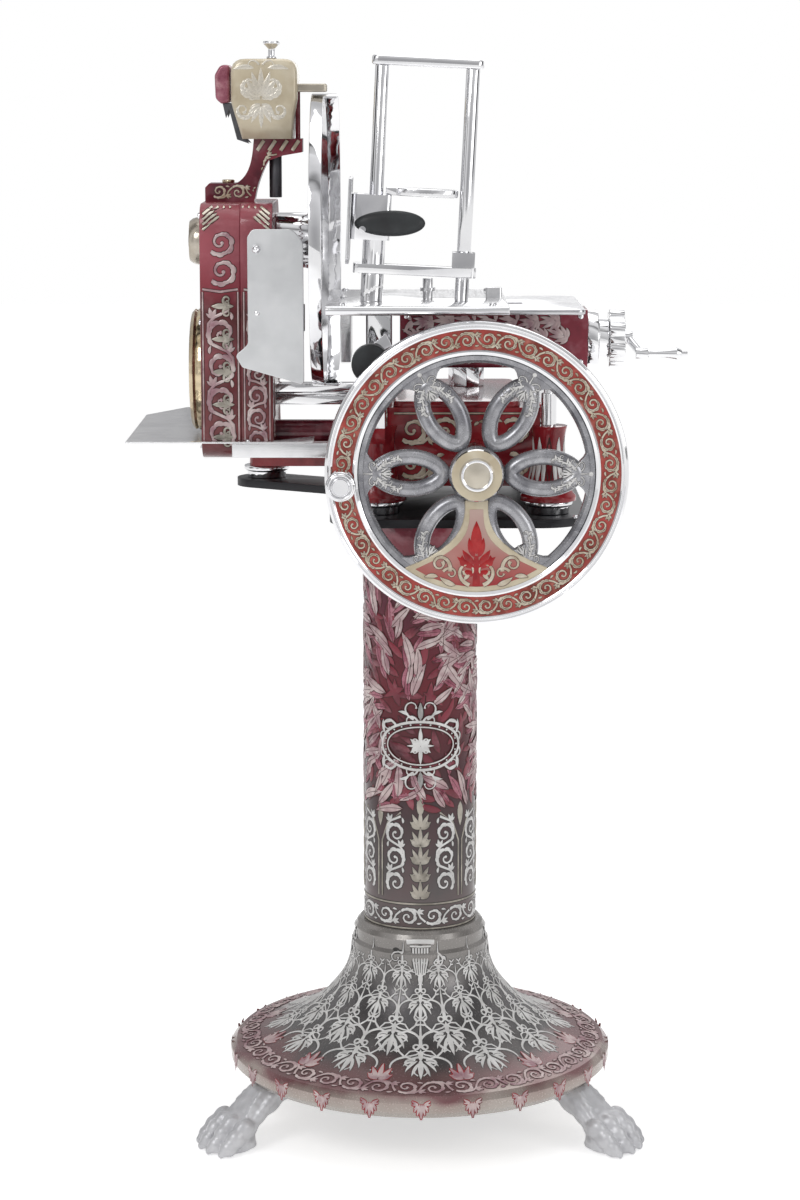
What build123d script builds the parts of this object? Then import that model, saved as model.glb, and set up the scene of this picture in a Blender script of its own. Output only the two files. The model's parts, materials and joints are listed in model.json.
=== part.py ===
"""Hand cranked flywheel meat slicer on a cast pedestal, in millimetres.

The origin is on the floor under the column. +X runs to the operator's right, +Y runs away from
the operator, who stands at the flywheel, and +Z is up.
"""
from build123d import *
from math import atan2, cos, degrees, pi, radians, sin
import os

# ---------------------------------------------------------------------------------------------
# Driving dimensions
# ---------------------------------------------------------------------------------------------
FIT = 0.05                 # radial clearance of a shaft in its bore
PASS = 0.3                 # gap between pieces that turn or slide past each other
CASTING_WALL = 8.0         # wall of the iron castings
SHEET = 3.0                # thickness of the sheet steel pieces

# Pedestal
FOOT_COUNT = 3
FIRST_FOOT_ANGLE = -30.0   # degrees from +X
FOOT_HEIGHT = 73.0         # floor to the underside of the base disc
FOOT_REACH = 306.0         # pedestal axis to the toes
FOOT_LENGTH = 62.0         # toes to heel on the floor
LEG_DEPTH = 46.0           # radial depth of a leg under the disc
FOOT_WIDTH = 78.0          # width across the toes
SHIN_WIDTH = 50.0          # width of the leg under the disc
DISC_RADIUS = 237.0
DISC_HEIGHT = 27.0         # side wall of the base disc
DISC_WALL = 15.0
FLARE_HEIGHT = 115.0       # from the disc up to the collar
NECK_RADIUS = 85.0         # radius of the flare where the collar sits
COLLAR_HEIGHT = 41.0
COLUMN_RADIUS = 69.0
COLUMN_WALL = 7.0
COLUMN_SOCKET = 8.0        # depth of the column in the flare and of the capital in the column
COLUMN_LENGTH = 444.0      # shown length between the collar and the capital
CAPITAL_HEIGHT = 70.0
CAPITAL_RADIUS = 105.0
PLATE_THICKNESS = 10.0
PLATE_CORNER = 58.0
PLATE_ARM_RADIUS = 38.0

# Machine frame
BOLT_RADIUS = 5.0
BOLT_HEAD = 5.0            # height of a bolt head
BOLT_GRIP = 12.0           # depth of a bolt in its casting
CAPITAL_BOLTS = 4
FOOT_PAD_RADIUS = 25.0
FOOT_PAD_HEIGHT = 10.0
FOOT_CUP_RADIUS = 29.0
FOOT_CUP_HEIGHT = 6.0
LEG_HEIGHT = 88.0
LEG_RADIUS = 33.0          # flange of a bell leg
LEG_TOP_RADIUS = 22.0
LEG_LEFT_X = -50.0
LEG_RIGHT_X = 150.0
LEG_FRONT_Y = -110.0
LEG_REAR_Y = 142.0
REAR_FOOT_X = -197.0
REAR_FOOT_Y = 215.0
BOX_LEFT_X = -40.0
BOX_RIGHT_X = 140.0
BOX_FRONT_Y = -110.0
BOX_REAR_Y = 150.0
BOX_HEIGHT = 93.0
BOX_LIFT = 32.0            # deck to the lower edge of the gear box
ARM_PLATE_THICKNESS = 16.0
ARM_PLATE_MARGIN = 35.0    # metal of the arm plate behind its foot
ARM_PLATE_BACK_X = -130.0  # right end of the arm plate's rear edge
ARM_PLATE_HALF = 30.0      # the arm plate reaches this far in front of the blade spindle
BED_THICKNESS = 7.0
BED_LEFT_X = -33.0
BED_RIGHT_X = 117.0
BED_REAR_Y = 165.0
NUT_X = 57.0
NUT_Y = 83.0
NUT_RADIUS = 22.0
NUT_HEIGHT = 27.0
CROSSBAR_HEIGHT = 25.0
CROSSBAR_PROUD = 7.0       # top of the crossbar above the bed
CROSSBAR_DEPTH = 30.0
SUPPORT_BAR_HEIGHT = 17.0
SUPPORT_BAR_DEPTH = 16.0
SUPPORT_BAR_LEFT_X = -225.0

# Flywheel
WHEEL_RADIUS = 173.5
WHEEL_X = 62.5
WHEEL_LIFT = 61.5          # deck to the flywheel axle
WHEEL_FRONT_Y = -231.0
RIM_WIDTH = 38.5           # radial width of the rim
RIM_THICKNESS = 26.0
HUB_RADIUS = 30.0
HUB_STEP = 6.0             # the hub stands this far in front of the rim
HUB_CAP_THICKNESS = 4.0
AXLE_RADIUS = 12.0
BOSS_RADIUS = 26.0
BOSS_FRONT_Y = -190.0
HANDLE_THROW = 154.0
HANDLE_ANGLE = 182.0
HANDLE_RADIUS = 17.0
HANDLE_LENGTH = 62.0
HANDLE_PIN_RADIUS = 6.0
HANDLE_LUG_RADIUS = 19.0
PETALS = 6
PETAL_WIDTH = 52.0
PETAL_HOLE_LENGTH = 48.0
PETAL_HOLE_WIDTH = 16.0
WEIGHT_REACH = 84.0        # half width of the counterweight at the rim
WEIGHT_NECK = 13.0         # half width of the counterweight at the hub

# Gear train
CROSS_SHAFT_RADIUS = 7.0
CROSS_SHAFT_RISE = 19.0    # cross shaft above the flywheel axle
CROWN_RADIUS = 46.0
CROWN_TEETH = 45
PINION_RADIUS = 15.0
PINION_TEETH = 15
PINION_WIDTH = 16.0
CASE_PINION_RADIUS = 18.0
CASE_PINION_TEETH = 18
IDLER_RADIUS = 48.0
IDLER_TEETH = 48
IDLER_AXLE_RADIUS = 9.0
GEAR_WIDTH = 10.0
LARGE_SPROCKET_RADIUS = 60.0
LARGE_SPROCKET_TEETH = 48
SMALL_SPROCKET_RADIUS = 20.0
SMALL_SPROCKET_TEETH = 16
SPROCKET_WIDTH = 8.0
TOOTH_GAP = 0.4            # tips of meshing gears stop this far apart
TOOTH_DEPTH = 3.0
CHAIN_THICKNESS = 5.0
HOUSING_TUBE_RADIUS = 13.5

# Blade and its chain case
BLADE_RADIUS = 171.0
BLADE_Y = 40.0
BLADE_PLANE_X = -116.0     # the cutting edge lies in this plane
BLADE_DISH = 13.0          # depth of the dished blade
GUARD_GAP = 2.0
GUARD_WALL = 3.0
GUARD_RIGHT_X = -100.0
SPINDLE_RADIUS = 12.0
SPINDLE_HOUSING_RADIUS = 34.0
CASE_RIGHT_X = -176.0
CASE_JOINT_X = -214.0
CASE_LEFT_X = -262.0
CASE_DEPTH = 200.0
CASE_CORNER = 30.0
CASE_WALL = 6.0
CASE_HEAD = 48.0           # spindle to the top of the case
CASE_BOTTOM_RISE = 56.0    # deck to the bottom of the case
UPPER_COVER_RADIUS = 29.0
LOWER_COVER_RADIUS = 75.0
LOWER_COVER_RISE = 156.0   # deck to the centre of the lower cover
COVER_THICKNESS = 20.0

# Carriage
ROD_RADIUS = 10.0
ROD_RISE = 160.0           # deck to the guide rods
ROD_FRONT_Y = -141.0
ROD_REAR_Y = 150.0
POST_RADIUS_BELOW = 9.0    # body of a guide rod post
POST_NECK_RADIUS = 6.0     # neck of a guide rod post, inside the slot of the slipper
SLIPPER_LENGTH = 60.0
SLIPPER_WIDTH = 32.0
SLIPPER_SLOT = 16.0
SLIPPER_DROP = 15.0        # guide rod axis to the underside of a slipper
BEAM_LEFT_X = -25.0
BEAM_RIGHT_X = 197.0
BEAM_FRONT_Y = -73.0
BEAM_DEPTH = 66.0
BEAM_HEIGHT = 68.5
SCREW_RISE = 201.0
SCREW_RADIUS = 8.0
SCREW_LEFT_X = -20.0
NUT_BLOCK_WIDTH = 22.0
NUT_BLOCK_LENGTH = 30.0
SLOT_GAP = 1.0             # gap on each side of the nut in its slot
SLOT_LEFT_X = -5.0
LOWER_PLATE_RISE = 236.5   # deck to the underside of the table
LOWER_PLATE_LEFT_X = -98.0
LOWER_PLATE_RIGHT_X = 190.0
LOWER_PLATE_FRONT_Y = -149.0
LOWER_PLATE_REAR_Y = 80.0
LOWER_PLATE_THICKNESS = 6.0
SIDE_PLATE_THICKNESS = 12.0
SIDE_PLATE_HEIGHT = 62.0
UPPER_PLATE_LEFT_X = -110.0
UPPER_PLATE_RIGHT_X = 100.0
UPPER_PLATE_FRONT_Y = -190.0
UPPER_PLATE_REAR_Y = 92.0
UPPER_PLATE_THICKNESS = 7.0
RAIL_RADIUS = 5.5
FEED_TRAVEL = 85.0
BEARING_RADIUS = 33.0
BEARING_WIDTH = 14.0
DRUM_RADIUS = 24.0
DRUM_WIDTH = 13.0
STAR_RADIUS = 35.0
STAR_WIDTH = 18.0
STAR_LOBES = 7
CRANK_HUB_RADIUS = 9.0
CRANK_HUB_LENGTH = 10.0
CRANK_ROD_RADIUS = 5.0
CRANK_BOSS_RADIUS = 7.0
CRANK_OUT = 14.0           # the crank arm runs this far to the right
CRANK_FORWARD = 34.0       # and this far to the front
CRANK_DROP = 16.0          # and this far down
GRIP_PIN_RADIUS = 3.0
GRIP_RADIUS = 8.0
GRIP_LENGTH = 40.0

# Meat clamp
POST_RADIUS = 8.0
POST_LEAN = 2.8            # degrees, tops towards +X
POST_SPACING = 105.0
POST_LEFT_X = -58.5
POST_Y = -110.0
POST_LENGTH = 272.0
BUFFER_RADIUS = 13.0
BUFFER_HEIGHT = 33.0
TOP_BAR_HEIGHT = 11.0
TOP_BAR_DEPTH = 16.0
CLAMP_WALL = 10.0          # metal round a post in the clamp
BRIDGE_THICKNESS = 11.0
BRIDGE_DEPTH = 26.0
CARRIER_DEPTH = 36.0
CARRIER_BOTTOM = 28.0      # bridge to the carrier block
CARRIER_HEIGHT = 52.0
TOOTHED_HEIGHT = 92.0
TOOTHED_DEPTH = 90.0
TOOTHED_SHEET = 4.0
TOOTH_COUNT = 9
TOOTH_LENGTH = 6.0
PRESS_LENGTH = 76.0
PRESS_WIDTH = 40.0
PRESS_THICKNESS = 9.0
LEVER_LENGTH = 82.0
LEVER_THICKNESS = 14.0
LEVER_PIN_RADIUS = 4.0

# Sharpener, deflector, tray and dial
ARM_FRONT_Y = 10.0
ARM_WIDTH = 40.0
ARM_FOOT_HEIGHT = 22.0
HOOD_DROP = 48.0           # top of the blade down to the seat of the hood
ARM_HEAD_HEIGHT = 16.0
ARM_HEAD_LEFT_X = -200.0
ARM_HEAD_RIGHT_X = -142.0
OIL_CAP_RADIUS = 7.5
OIL_CAP_HEIGHT = 4.0
HOOD_FRONT_Y = -10.0
HOOD_DEPTH = 84.0
HOOD_WALL = 3.0
HOOD_LEFT_X = -246.0
HOOD_RIGHT_X = -147.0
HOOD_WAIST_LEFT_X = -222.0
HOOD_WAIST_RIGHT_X = -153.0
HOOD_WAIST_RISE = 40.0     # seat to the step in the hood
HOOD_HEIGHT = 94.0
HOOD_ARM_RIGHT_X = -112.0
HOOD_ARM_HEIGHT = 10.0
HOOD_ARM_DEPTH = 24.0
LIFT_ROD_X = -147.5
LIFT_ROD_Y = 22.0
LIFT_ROD_RADIUS = 3.0
KNOB_X = -178.5
KNOB_STEM_RADIUS = 4.0
KNOB_RADIUS = 10.0
KNOB_HEIGHT = 21.0
STONE_RADIUS = 15.0
STONE_WIDTH = 12.0
STONE_X = -203.0
STONE_SPINDLE_RADIUS = 4.0
PUSH_ROD_X = -175.0
PUSH_ROD_RADIUS = 7.5
PUSH_ROD_LENGTH = 46.0
PUSH_ROD_SEAT = 13.0       # depth of the blind bore for the push rod
PUSH_ROD_TRAVEL = 8.0
DEFLECTOR_Y = -89.0
DEFLECTOR_LEFT_X = -205.0
DEFLECTOR_RIGHT_X = -138.0
DEFLECTOR_BOTTOM_RISE = 149.0
DEFLECTOR_TOP_RISE = 332.0
HINGE_X = -144.0
HINGE_Y = -78.5
HINGE_RADIUS = 7.0
HINGE_PIN_RADIUS = 3.0
HINGE_RISE = 196.0         # deck to the lower end of the hinge
HINGE_HEIGHT = 64.0
TRAY_RISE = 78.0
TRAY_THICKNESS = 2.0
TRAY_LEFT_X = -352.0
TRAY_RIGHT_X = -128.0
TRAY_REAR_Y = 310.0
TRAY_CHAMFER = 46.0
TRAY_CHAMFER_DEPTH = 91.0
TRAY_GUSSET = 46.0
DIAL_RADIUS = 22.5
DIAL_WIDTH = 24.0
DIAL_X = -58.5
DIAL_RISE = 181.0
DIAL_BRACKET_WIDTH = 16.0
DIAL_BRACKET_THICKNESS = 5.0
DIAL_SPINDLE_RADIUS = 4.0

# ---------------------------------------------------------------------------------------------
# Levels and places worked out from them
# ---------------------------------------------------------------------------------------------
DISC_TOP = FOOT_HEIGHT + DISC_HEIGHT
COLLAR_BOTTOM = DISC_TOP + FLARE_HEIGHT
COLLAR_TOP = COLLAR_BOTTOM + COLLAR_HEIGHT
CAPITAL_BOTTOM = COLLAR_TOP + COLUMN_LENGTH
PLATE_BOTTOM = CAPITAL_BOTTOM + CAPITAL_HEIGHT
DECK = PLATE_BOTTOM + PLATE_THICKNESS

LEG_BOTTOM = DECK + FOOT_PAD_HEIGHT + FOOT_CUP_HEIGHT
LEG_TOP = LEG_BOTTOM + LEG_HEIGHT
BOX_BOTTOM = DECK + BOX_LIFT
BOX_TOP = BOX_BOTTOM + BOX_HEIGHT
BED_TOP = BOX_TOP + BED_THICKNESS
WHEEL_Z = DECK + WHEEL_LIFT
WHEEL_BACK_Y = WHEEL_FRONT_Y + RIM_THICKNESS
RIM_INNER = WHEEL_RADIUS - RIM_WIDTH
HUB_FRONT_Y = WHEEL_FRONT_Y - HUB_STEP
CROSS_Z = WHEEL_Z + CROSS_SHAFT_RISE
IDLER_Z = CROSS_Z + CASE_PINION_RADIUS + IDLER_RADIUS + TOOTH_GAP
CROWN_FACE_Y = BLADE_Y - PINION_RADIUS - TOOTH_GAP
CROSSBAR_TOP = BED_TOP + CROSSBAR_PROUD
BLADE_Z = CROSSBAR_TOP + GUARD_GAP + BLADE_RADIUS
CASE_TOP = BLADE_Z + CASE_HEAD
CASE_BOTTOM = DECK + CASE_BOTTOM_RISE
CASE_FRONT_Y = BLADE_Y - CASE_DEPTH / 2
CASE_REAR_Y = BLADE_Y + CASE_DEPTH / 2
ARM_PLATE_Z = CASE_BOTTOM - ARM_PLATE_THICKNESS
GUARD_RADIUS = BLADE_RADIUS + GUARD_GAP + GUARD_WALL
GUARD_LEFT_X = BLADE_PLANE_X - BLADE_DISH - GUARD_GAP
ROD_Z = DECK + ROD_RISE
SLIPPER_BOTTOM = ROD_Z - SLIPPER_DROP
SCREW_Z = DECK + SCREW_RISE
LOWER_PLATE_Z = DECK + LOWER_PLATE_RISE
UPPER_PLATE_Z = LOWER_PLATE_Z + LOWER_PLATE_THICKNESS
TABLE_Z = UPPER_PLATE_Z + UPPER_PLATE_THICKNESS
BEAM_BOTTOM = LOWER_PLATE_Z - BEAM_HEIGHT
BEAM_REAR_Y = BEAM_FRONT_Y + BEAM_DEPTH
SCREW_Y = BEAM_FRONT_Y + BEAM_DEPTH / 2
SLOT_WIDTH = NUT_BLOCK_WIDTH + 2 * SLOT_GAP
SLOT_LENGTH = NUT_BLOCK_LENGTH + FEED_TRAVEL - 2 * SLOT_LEFT_X
SLOT_X = SLOT_LEFT_X + SLOT_LENGTH / 2
HANDWHEEL_X = BEAM_RIGHT_X + BEARING_WIDTH + DRUM_WIDTH + PASS
CRANK_X = HANDWHEEL_X + STAR_WIDTH
TRAY_Z = DECK + TRAY_RISE
HOOD_SEAT = BLADE_Z + BLADE_RADIUS - HOOD_DROP
HOOD_TOP = HOOD_SEAT + HOOD_HEIGHT
MACHINE_LEGS = [(LEG_LEFT_X, LEG_FRONT_Y), (LEG_RIGHT_X, LEG_FRONT_Y), (LEG_RIGHT_X, LEG_REAR_Y)]
MACHINE_FEET = MACHINE_LEGS + [(REAR_FOOT_X, REAR_FOOT_Y)]
ROD_POSTS = MACHINE_LEGS + [(LEG_LEFT_X, LEG_REAR_Y)]
CAPITAL_BOLT_CIRCLE = CAPITAL_RADIUS - 4 * BOLT_RADIUS


def at_x(x):
    """Plane across X at x: sketch axes are Y and Z, and an extrusion grows towards +X."""
    return Plane.YZ.offset(x)


def at_y(y):
    """Plane across Y at y: sketch axes are X and Z, and an extrusion grows towards -Y."""
    return Plane.XZ.offset(-y)


def at_z(z):
    """Plane across Z at z: sketch axes are X and Y, and an extrusion grows towards +Z."""
    return Plane.XY.offset(z)


def wheel_plane(y):
    """Plane across Y at y with its origin on the flywheel axis; extrusions grow towards -Y."""
    return Plane(origin=(WHEEL_X, y, WHEEL_Z), x_dir=(1, 0, 0), z_dir=(0, -1, 0))


def shaft_plane(x, z):
    """Plane across X at x with its origin on a shaft of the case; extrusions grow to +X."""
    return Plane(origin=(x, BLADE_Y, z), x_dir=(0, 1, 0), z_dir=(1, 0, 0))


def screw_plane(x):
    """Plane across X at x with its origin on the feed screw; extrusions grow to +X."""
    return Plane(origin=(x, SCREW_Y, SCREW_Z), x_dir=(0, 1, 0), z_dir=(1, 0, 0))


def lean_plane(height):
    """Plane across the leaning clamp posts, height up from the table at the left post."""
    lean = Vector(sin(radians(POST_LEAN)), 0, cos(radians(POST_LEAN)))
    foot = Vector(POST_LEFT_X, POST_Y, TABLE_Z)
    return Plane(origin=foot + lean * height, x_dir=(lean.Z, 0, -lean.X), z_dir=lean)


def turned(plane, radius, length, bore=0.0):
    """A plain round piece on the plane's axis, with a bore where one is given."""
    with BuildPart() as piece:
        with BuildSketch(plane):
            Circle(radius)
            if bore:
                Circle(bore, mode=Mode.SUBTRACT)
        extrude(amount=length)
    return piece


def toothed_wheel(plane, tip, teeth, width, bore=0.0):
    """A wheel with straight teeth of this tip radius, bored for its shaft."""
    root = tip - TOOTH_DEPTH
    with BuildPart() as piece:
        with BuildSketch(plane):
            Circle(root)
            with PolarLocations(root, teeth):
                Rectangle(2 * TOOTH_DEPTH * cos(pi / teeth), pi * root / teeth)
            Circle(tip, mode=Mode.INTERSECT)
            if bore:
                Circle(bore, mode=Mode.SUBTRACT)
        extrude(amount=width)
    return piece


PIECES = {}

# ---------------------------------------------------------------------------------------------
# Pedestal
# ---------------------------------------------------------------------------------------------
# A lion's paw: its side view cut by its plan, with three toes.
LEG_OUTER = DISC_RADIUS - 12
LEG_INNER = LEG_OUTER - LEG_DEPTH
HEEL = FOOT_REACH - FOOT_LENGTH
TOE_RADIUS = FOOT_WIDTH / 6
INSTEP = FOOT_HEIGHT - 21
with BuildPart() as paw_foot:
    with BuildSketch(Plane.XZ):
        with BuildLine():
            Line((LEG_INNER, FOOT_HEIGHT), (LEG_OUTER, FOOT_HEIGHT))
            Spline((LEG_OUTER, FOOT_HEIGHT), (FOOT_REACH - 36, INSTEP), (FOOT_REACH - 14, INSTEP / 1.5),
                   (FOOT_REACH, INSTEP / 5))
            Polyline((FOOT_REACH, INSTEP / 5), (FOOT_REACH, 0), (HEEL, 0))
            ThreePointArc((HEEL, 0), (HEEL - 24, INSTEP / 1.5), (LEG_INNER, FOOT_HEIGHT))
        make_face()
    extrude(amount=FOOT_WIDTH, both=True)
    with BuildSketch(Plane.XY):
        with BuildLine():
            Polyline((LEG_INNER - 1, -SHIN_WIDTH / 2), (HEEL - 8, -SHIN_WIDTH / 2),
                     (HEEL + TOE_RADIUS, -FOOT_WIDTH / 2), (FOOT_REACH - TOE_RADIUS, -FOOT_WIDTH / 2),
                     (FOOT_REACH - TOE_RADIUS, FOOT_WIDTH / 2), (HEEL + TOE_RADIUS, FOOT_WIDTH / 2),
                     (HEEL - 8, SHIN_WIDTH / 2), (LEG_INNER - 1, SHIN_WIDTH / 2), close=True)
        make_face()
        with Locations((FOOT_REACH - TOE_RADIUS, 0)):
            with GridLocations(0, 2 * TOE_RADIUS, 1, 3):
                Circle(TOE_RADIUS)
    extrude(amount=FOOT_HEIGHT, mode=Mode.INTERSECT)

with BuildPart() as paw_feet:
    with PolarLocations(0, FOOT_COUNT, start_angle=FIRST_FOOT_ANGLE):
        add(paw_foot.part)
PIECES["paw_feet"] = paw_feet

# The disc, its flare and the collar are one hollow casting, open below.
RING_RADIUS = LEG_INNER - 32
SHELF_RADIUS = COLUMN_RADIUS - 12
SHELF_Z = COLLAR_BOTTOM - COLUMN_SOCKET
with BuildPart() as pedestal_base:
    with BuildSketch(Plane.XZ):
        with BuildLine():
            Polyline((RING_RADIUS, FOOT_HEIGHT), (DISC_RADIUS - 8, FOOT_HEIGHT),
                     (DISC_RADIUS, FOOT_HEIGHT + 8), (DISC_RADIUS, DISC_TOP - 7),
                     (DISC_RADIUS - 7, DISC_TOP))
            Spline((DISC_RADIUS - 7, DISC_TOP), (NECK_RADIUS + 105, DISC_TOP + 11),
                   (NECK_RADIUS + 65, DISC_TOP + 29), (NECK_RADIUS + 37, DISC_TOP + 50),
                   (NECK_RADIUS + 18, DISC_TOP + 72), (NECK_RADIUS + 6, DISC_TOP + 93),
                   (NECK_RADIUS, COLLAR_BOTTOM))
            Polyline((NECK_RADIUS, COLLAR_BOTTOM), (NECK_RADIUS, COLLAR_BOTTOM + 14),
                     (NECK_RADIUS - 4, COLLAR_BOTTOM + 18), (NECK_RADIUS - 4, COLLAR_TOP - 10),
                     (NECK_RADIUS - 7, COLLAR_TOP - 4), (COLUMN_RADIUS + 5, COLLAR_TOP),
                     (COLUMN_RADIUS + FIT, COLLAR_TOP), (COLUMN_RADIUS + FIT, SHELF_Z),
                     (SHELF_RADIUS, SHELF_Z), (SHELF_RADIUS, SHELF_Z - 12),
                     (NECK_RADIUS - 4, DISC_TOP + 82), (NECK_RADIUS + 22, DISC_TOP + 44),
                     (NECK_RADIUS + 62, DISC_TOP + 16), (DISC_RADIUS - 30, DISC_TOP - 8),
                     (DISC_RADIUS - DISC_WALL, DISC_TOP - 10),
                     (DISC_RADIUS - DISC_WALL, FOOT_HEIGHT + 9),
                     (RING_RADIUS, FOOT_HEIGHT + 9), (RING_RADIUS, FOOT_HEIGHT))
        make_face()
    revolve(axis=Axis.Z)
PIECES["pedestal_base"] = pedestal_base

PIECES["pedestal_column"] = turned(at_z(SHELF_Z), COLUMN_RADIUS, CAPITAL_BOTTOM - SHELF_Z,
                                   COLUMN_RADIUS - COLUMN_WALL)

PLUG_RADIUS = COLUMN_RADIUS - COLUMN_WALL - FIT
with BuildPart() as column_capital:
    with BuildSketch(Plane.XZ):
        with BuildLine():
            Polyline((0, PLATE_BOTTOM), (CAPITAL_RADIUS, PLATE_BOTTOM),
                     (CAPITAL_RADIUS, PLATE_BOTTOM - 6))
            ThreePointArc((CAPITAL_RADIUS, PLATE_BOTTOM - 6),
                          (COLUMN_RADIUS + 12, CAPITAL_BOTTOM + CAPITAL_HEIGHT / 2.2),
                          (COLUMN_RADIUS + 4, CAPITAL_BOTTOM))
            Polyline((COLUMN_RADIUS + 4, CAPITAL_BOTTOM), (PLUG_RADIUS, CAPITAL_BOTTOM),
                     (PLUG_RADIUS, CAPITAL_BOTTOM - COLUMN_SOCKET),
                     (0, CAPITAL_BOTTOM - COLUMN_SOCKET), (0, PLATE_BOTTOM))
        make_face()
    revolve(axis=Axis.Z)
    with BuildSketch(at_z(PLATE_BOTTOM)):
        with PolarLocations(CAPITAL_BOLT_CIRCLE, CAPITAL_BOLTS, start_angle=45):
            Circle(BOLT_RADIUS + FIT)
    extrude(amount=-BOLT_GRIP, mode=Mode.SUBTRACT)
PIECES["column_capital"] = column_capital

PLATE_LEFT_X = LEG_LEFT_X - PLATE_CORNER
PLATE_RIGHT_X = LEG_RIGHT_X + PLATE_CORNER - 12
PLATE_FRONT_Y = LEG_FRONT_Y - PLATE_CORNER
PLATE_REAR_Y = LEG_REAR_Y + PLATE_CORNER
PLATE_ARM_X = LEG_LEFT_X + PLATE_ARM_RADIUS
PLATE_ARM_Y = LEG_REAR_Y - PLATE_ARM_RADIUS
PLATE_ARM_RUN = Vector(REAR_FOOT_X - PLATE_ARM_X, REAR_FOOT_Y - PLATE_ARM_Y)
PLATE_ARM_ANGLE = degrees(atan2(PLATE_ARM_RUN.Y, PLATE_ARM_RUN.X))
with BuildPart() as pedestal_top_plate:
    with BuildSketch(at_z(PLATE_BOTTOM)):
        with Locations(((PLATE_LEFT_X + PLATE_RIGHT_X) / 2, (PLATE_FRONT_Y + PLATE_REAR_Y) / 2)):
            RectangleRounded(PLATE_RIGHT_X - PLATE_LEFT_X, PLATE_REAR_Y - PLATE_FRONT_Y,
                             PLATE_CORNER)
        with Locations((REAR_FOOT_X, REAR_FOOT_Y)):
            Circle(PLATE_ARM_RADIUS)
        with Locations(((PLATE_ARM_X + REAR_FOOT_X) / 2, (PLATE_ARM_Y + REAR_FOOT_Y) / 2)):
            Rectangle(PLATE_ARM_RUN.length, 2 * PLATE_ARM_RADIUS, rotation=PLATE_ARM_ANGLE)
        with Locations(*MACHINE_FEET):
            Circle(BOLT_RADIUS + FIT, mode=Mode.SUBTRACT)
        with PolarLocations(CAPITAL_BOLT_CIRCLE, CAPITAL_BOLTS, start_angle=45):
            Circle(BOLT_RADIUS + FIT, mode=Mode.SUBTRACT)
    extrude(amount=PLATE_THICKNESS)
PIECES["pedestal_top_plate"] = pedestal_top_plate

# Bolts down into the capital, bolts up into the machine's feet, and the nut on the bed.
with BuildPart() as frame_bolts:
    with BuildSketch(at_z(PLATE_BOTTOM - BOLT_GRIP)):
        with PolarLocations(CAPITAL_BOLT_CIRCLE, CAPITAL_BOLTS, start_angle=45):
            Circle(BOLT_RADIUS)
    extrude(amount=PLATE_THICKNESS + BOLT_GRIP)
    with BuildSketch(at_z(DECK)):
        with PolarLocations(CAPITAL_BOLT_CIRCLE, CAPITAL_BOLTS, start_angle=45):
            RegularPolygon(1.8 * BOLT_RADIUS, 6)
    extrude(amount=BOLT_HEAD)
    with BuildSketch(at_z(PLATE_BOTTOM)):
        with Locations(*MACHINE_FEET):
            Circle(BOLT_RADIUS)
    extrude(amount=LEG_BOTTOM - PLATE_BOTTOM + BOLT_GRIP)
    with BuildSketch(at_z(PLATE_BOTTOM)):
        with Locations(*MACHINE_FEET):
            RegularPolygon(1.8 * BOLT_RADIUS, 6)
    extrude(amount=-BOLT_HEAD)
    with BuildSketch(at_z(BED_TOP)):
        with Locations((NUT_X, NUT_Y)):
            RegularPolygon(NUT_RADIUS, 8)
    extrude(amount=NUT_HEIGHT)
PIECES["frame_bolts"] = frame_bolts

# ---------------------------------------------------------------------------------------------
# Machine frame
# ---------------------------------------------------------------------------------------------
with BuildPart() as machine_feet:
    with BuildSketch(at_z(DECK)):
        with Locations(*MACHINE_FEET):
            Circle(FOOT_PAD_RADIUS)
    extrude(amount=FOOT_PAD_HEIGHT)
    with BuildSketch(at_z(DECK + FOOT_PAD_HEIGHT)):
        with Locations(*MACHINE_FEET):
            Circle(FOOT_CUP_RADIUS)
    extrude(amount=FOOT_CUP_HEIGHT)
    with BuildSketch(at_z(DECK)):
        with Locations(*MACHINE_FEET):
            Circle(BOLT_RADIUS + FIT)
    extrude(amount=FOOT_PAD_HEIGHT + FOOT_CUP_HEIGHT, mode=Mode.SUBTRACT)
PIECES["machine_feet"] = machine_feet

# The gear box has two chambers with a web between them, that carries the flywheel axle.
WEB_REAR_Y = CROWN_FACE_Y - 26
WEB_FRONT_Y = WEB_REAR_Y - 2 * CASTING_WALL
BOX_INNER_X = (BOX_LEFT_X + BOX_RIGHT_X) / 2
BOX_INNER_WIDTH = BOX_RIGHT_X - BOX_LEFT_X - 2 * CASTING_WALL
BOX_CHAMBERS = [(BOX_FRONT_Y + CASTING_WALL, WEB_FRONT_Y), (WEB_REAR_Y, BOX_REAR_Y - CASTING_WALL)]
DIAL_LUG_HEIGHT = 18.0
DIAL_BRACKET_Y = ROD_FRONT_Y - DIAL_BRACKET_THICKNESS
with BuildPart() as machine_leg:
    with BuildSketch(Plane.XZ):
        with BuildLine():
            Polyline((0, 0), (LEG_RADIUS, 0), (LEG_RADIUS, 5), (LEG_RADIUS - 4, 10))
            Spline((LEG_RADIUS - 4, 10), (LEG_TOP_RADIUS, 0.4 * LEG_HEIGHT),
                   (LEG_TOP_RADIUS - 3, 0.65 * LEG_HEIGHT), (LEG_TOP_RADIUS, LEG_HEIGHT))
            Polyline((LEG_TOP_RADIUS, LEG_HEIGHT), (0, LEG_HEIGHT), (0, 0))
        make_face()
    revolve(axis=Axis.Z)

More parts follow.
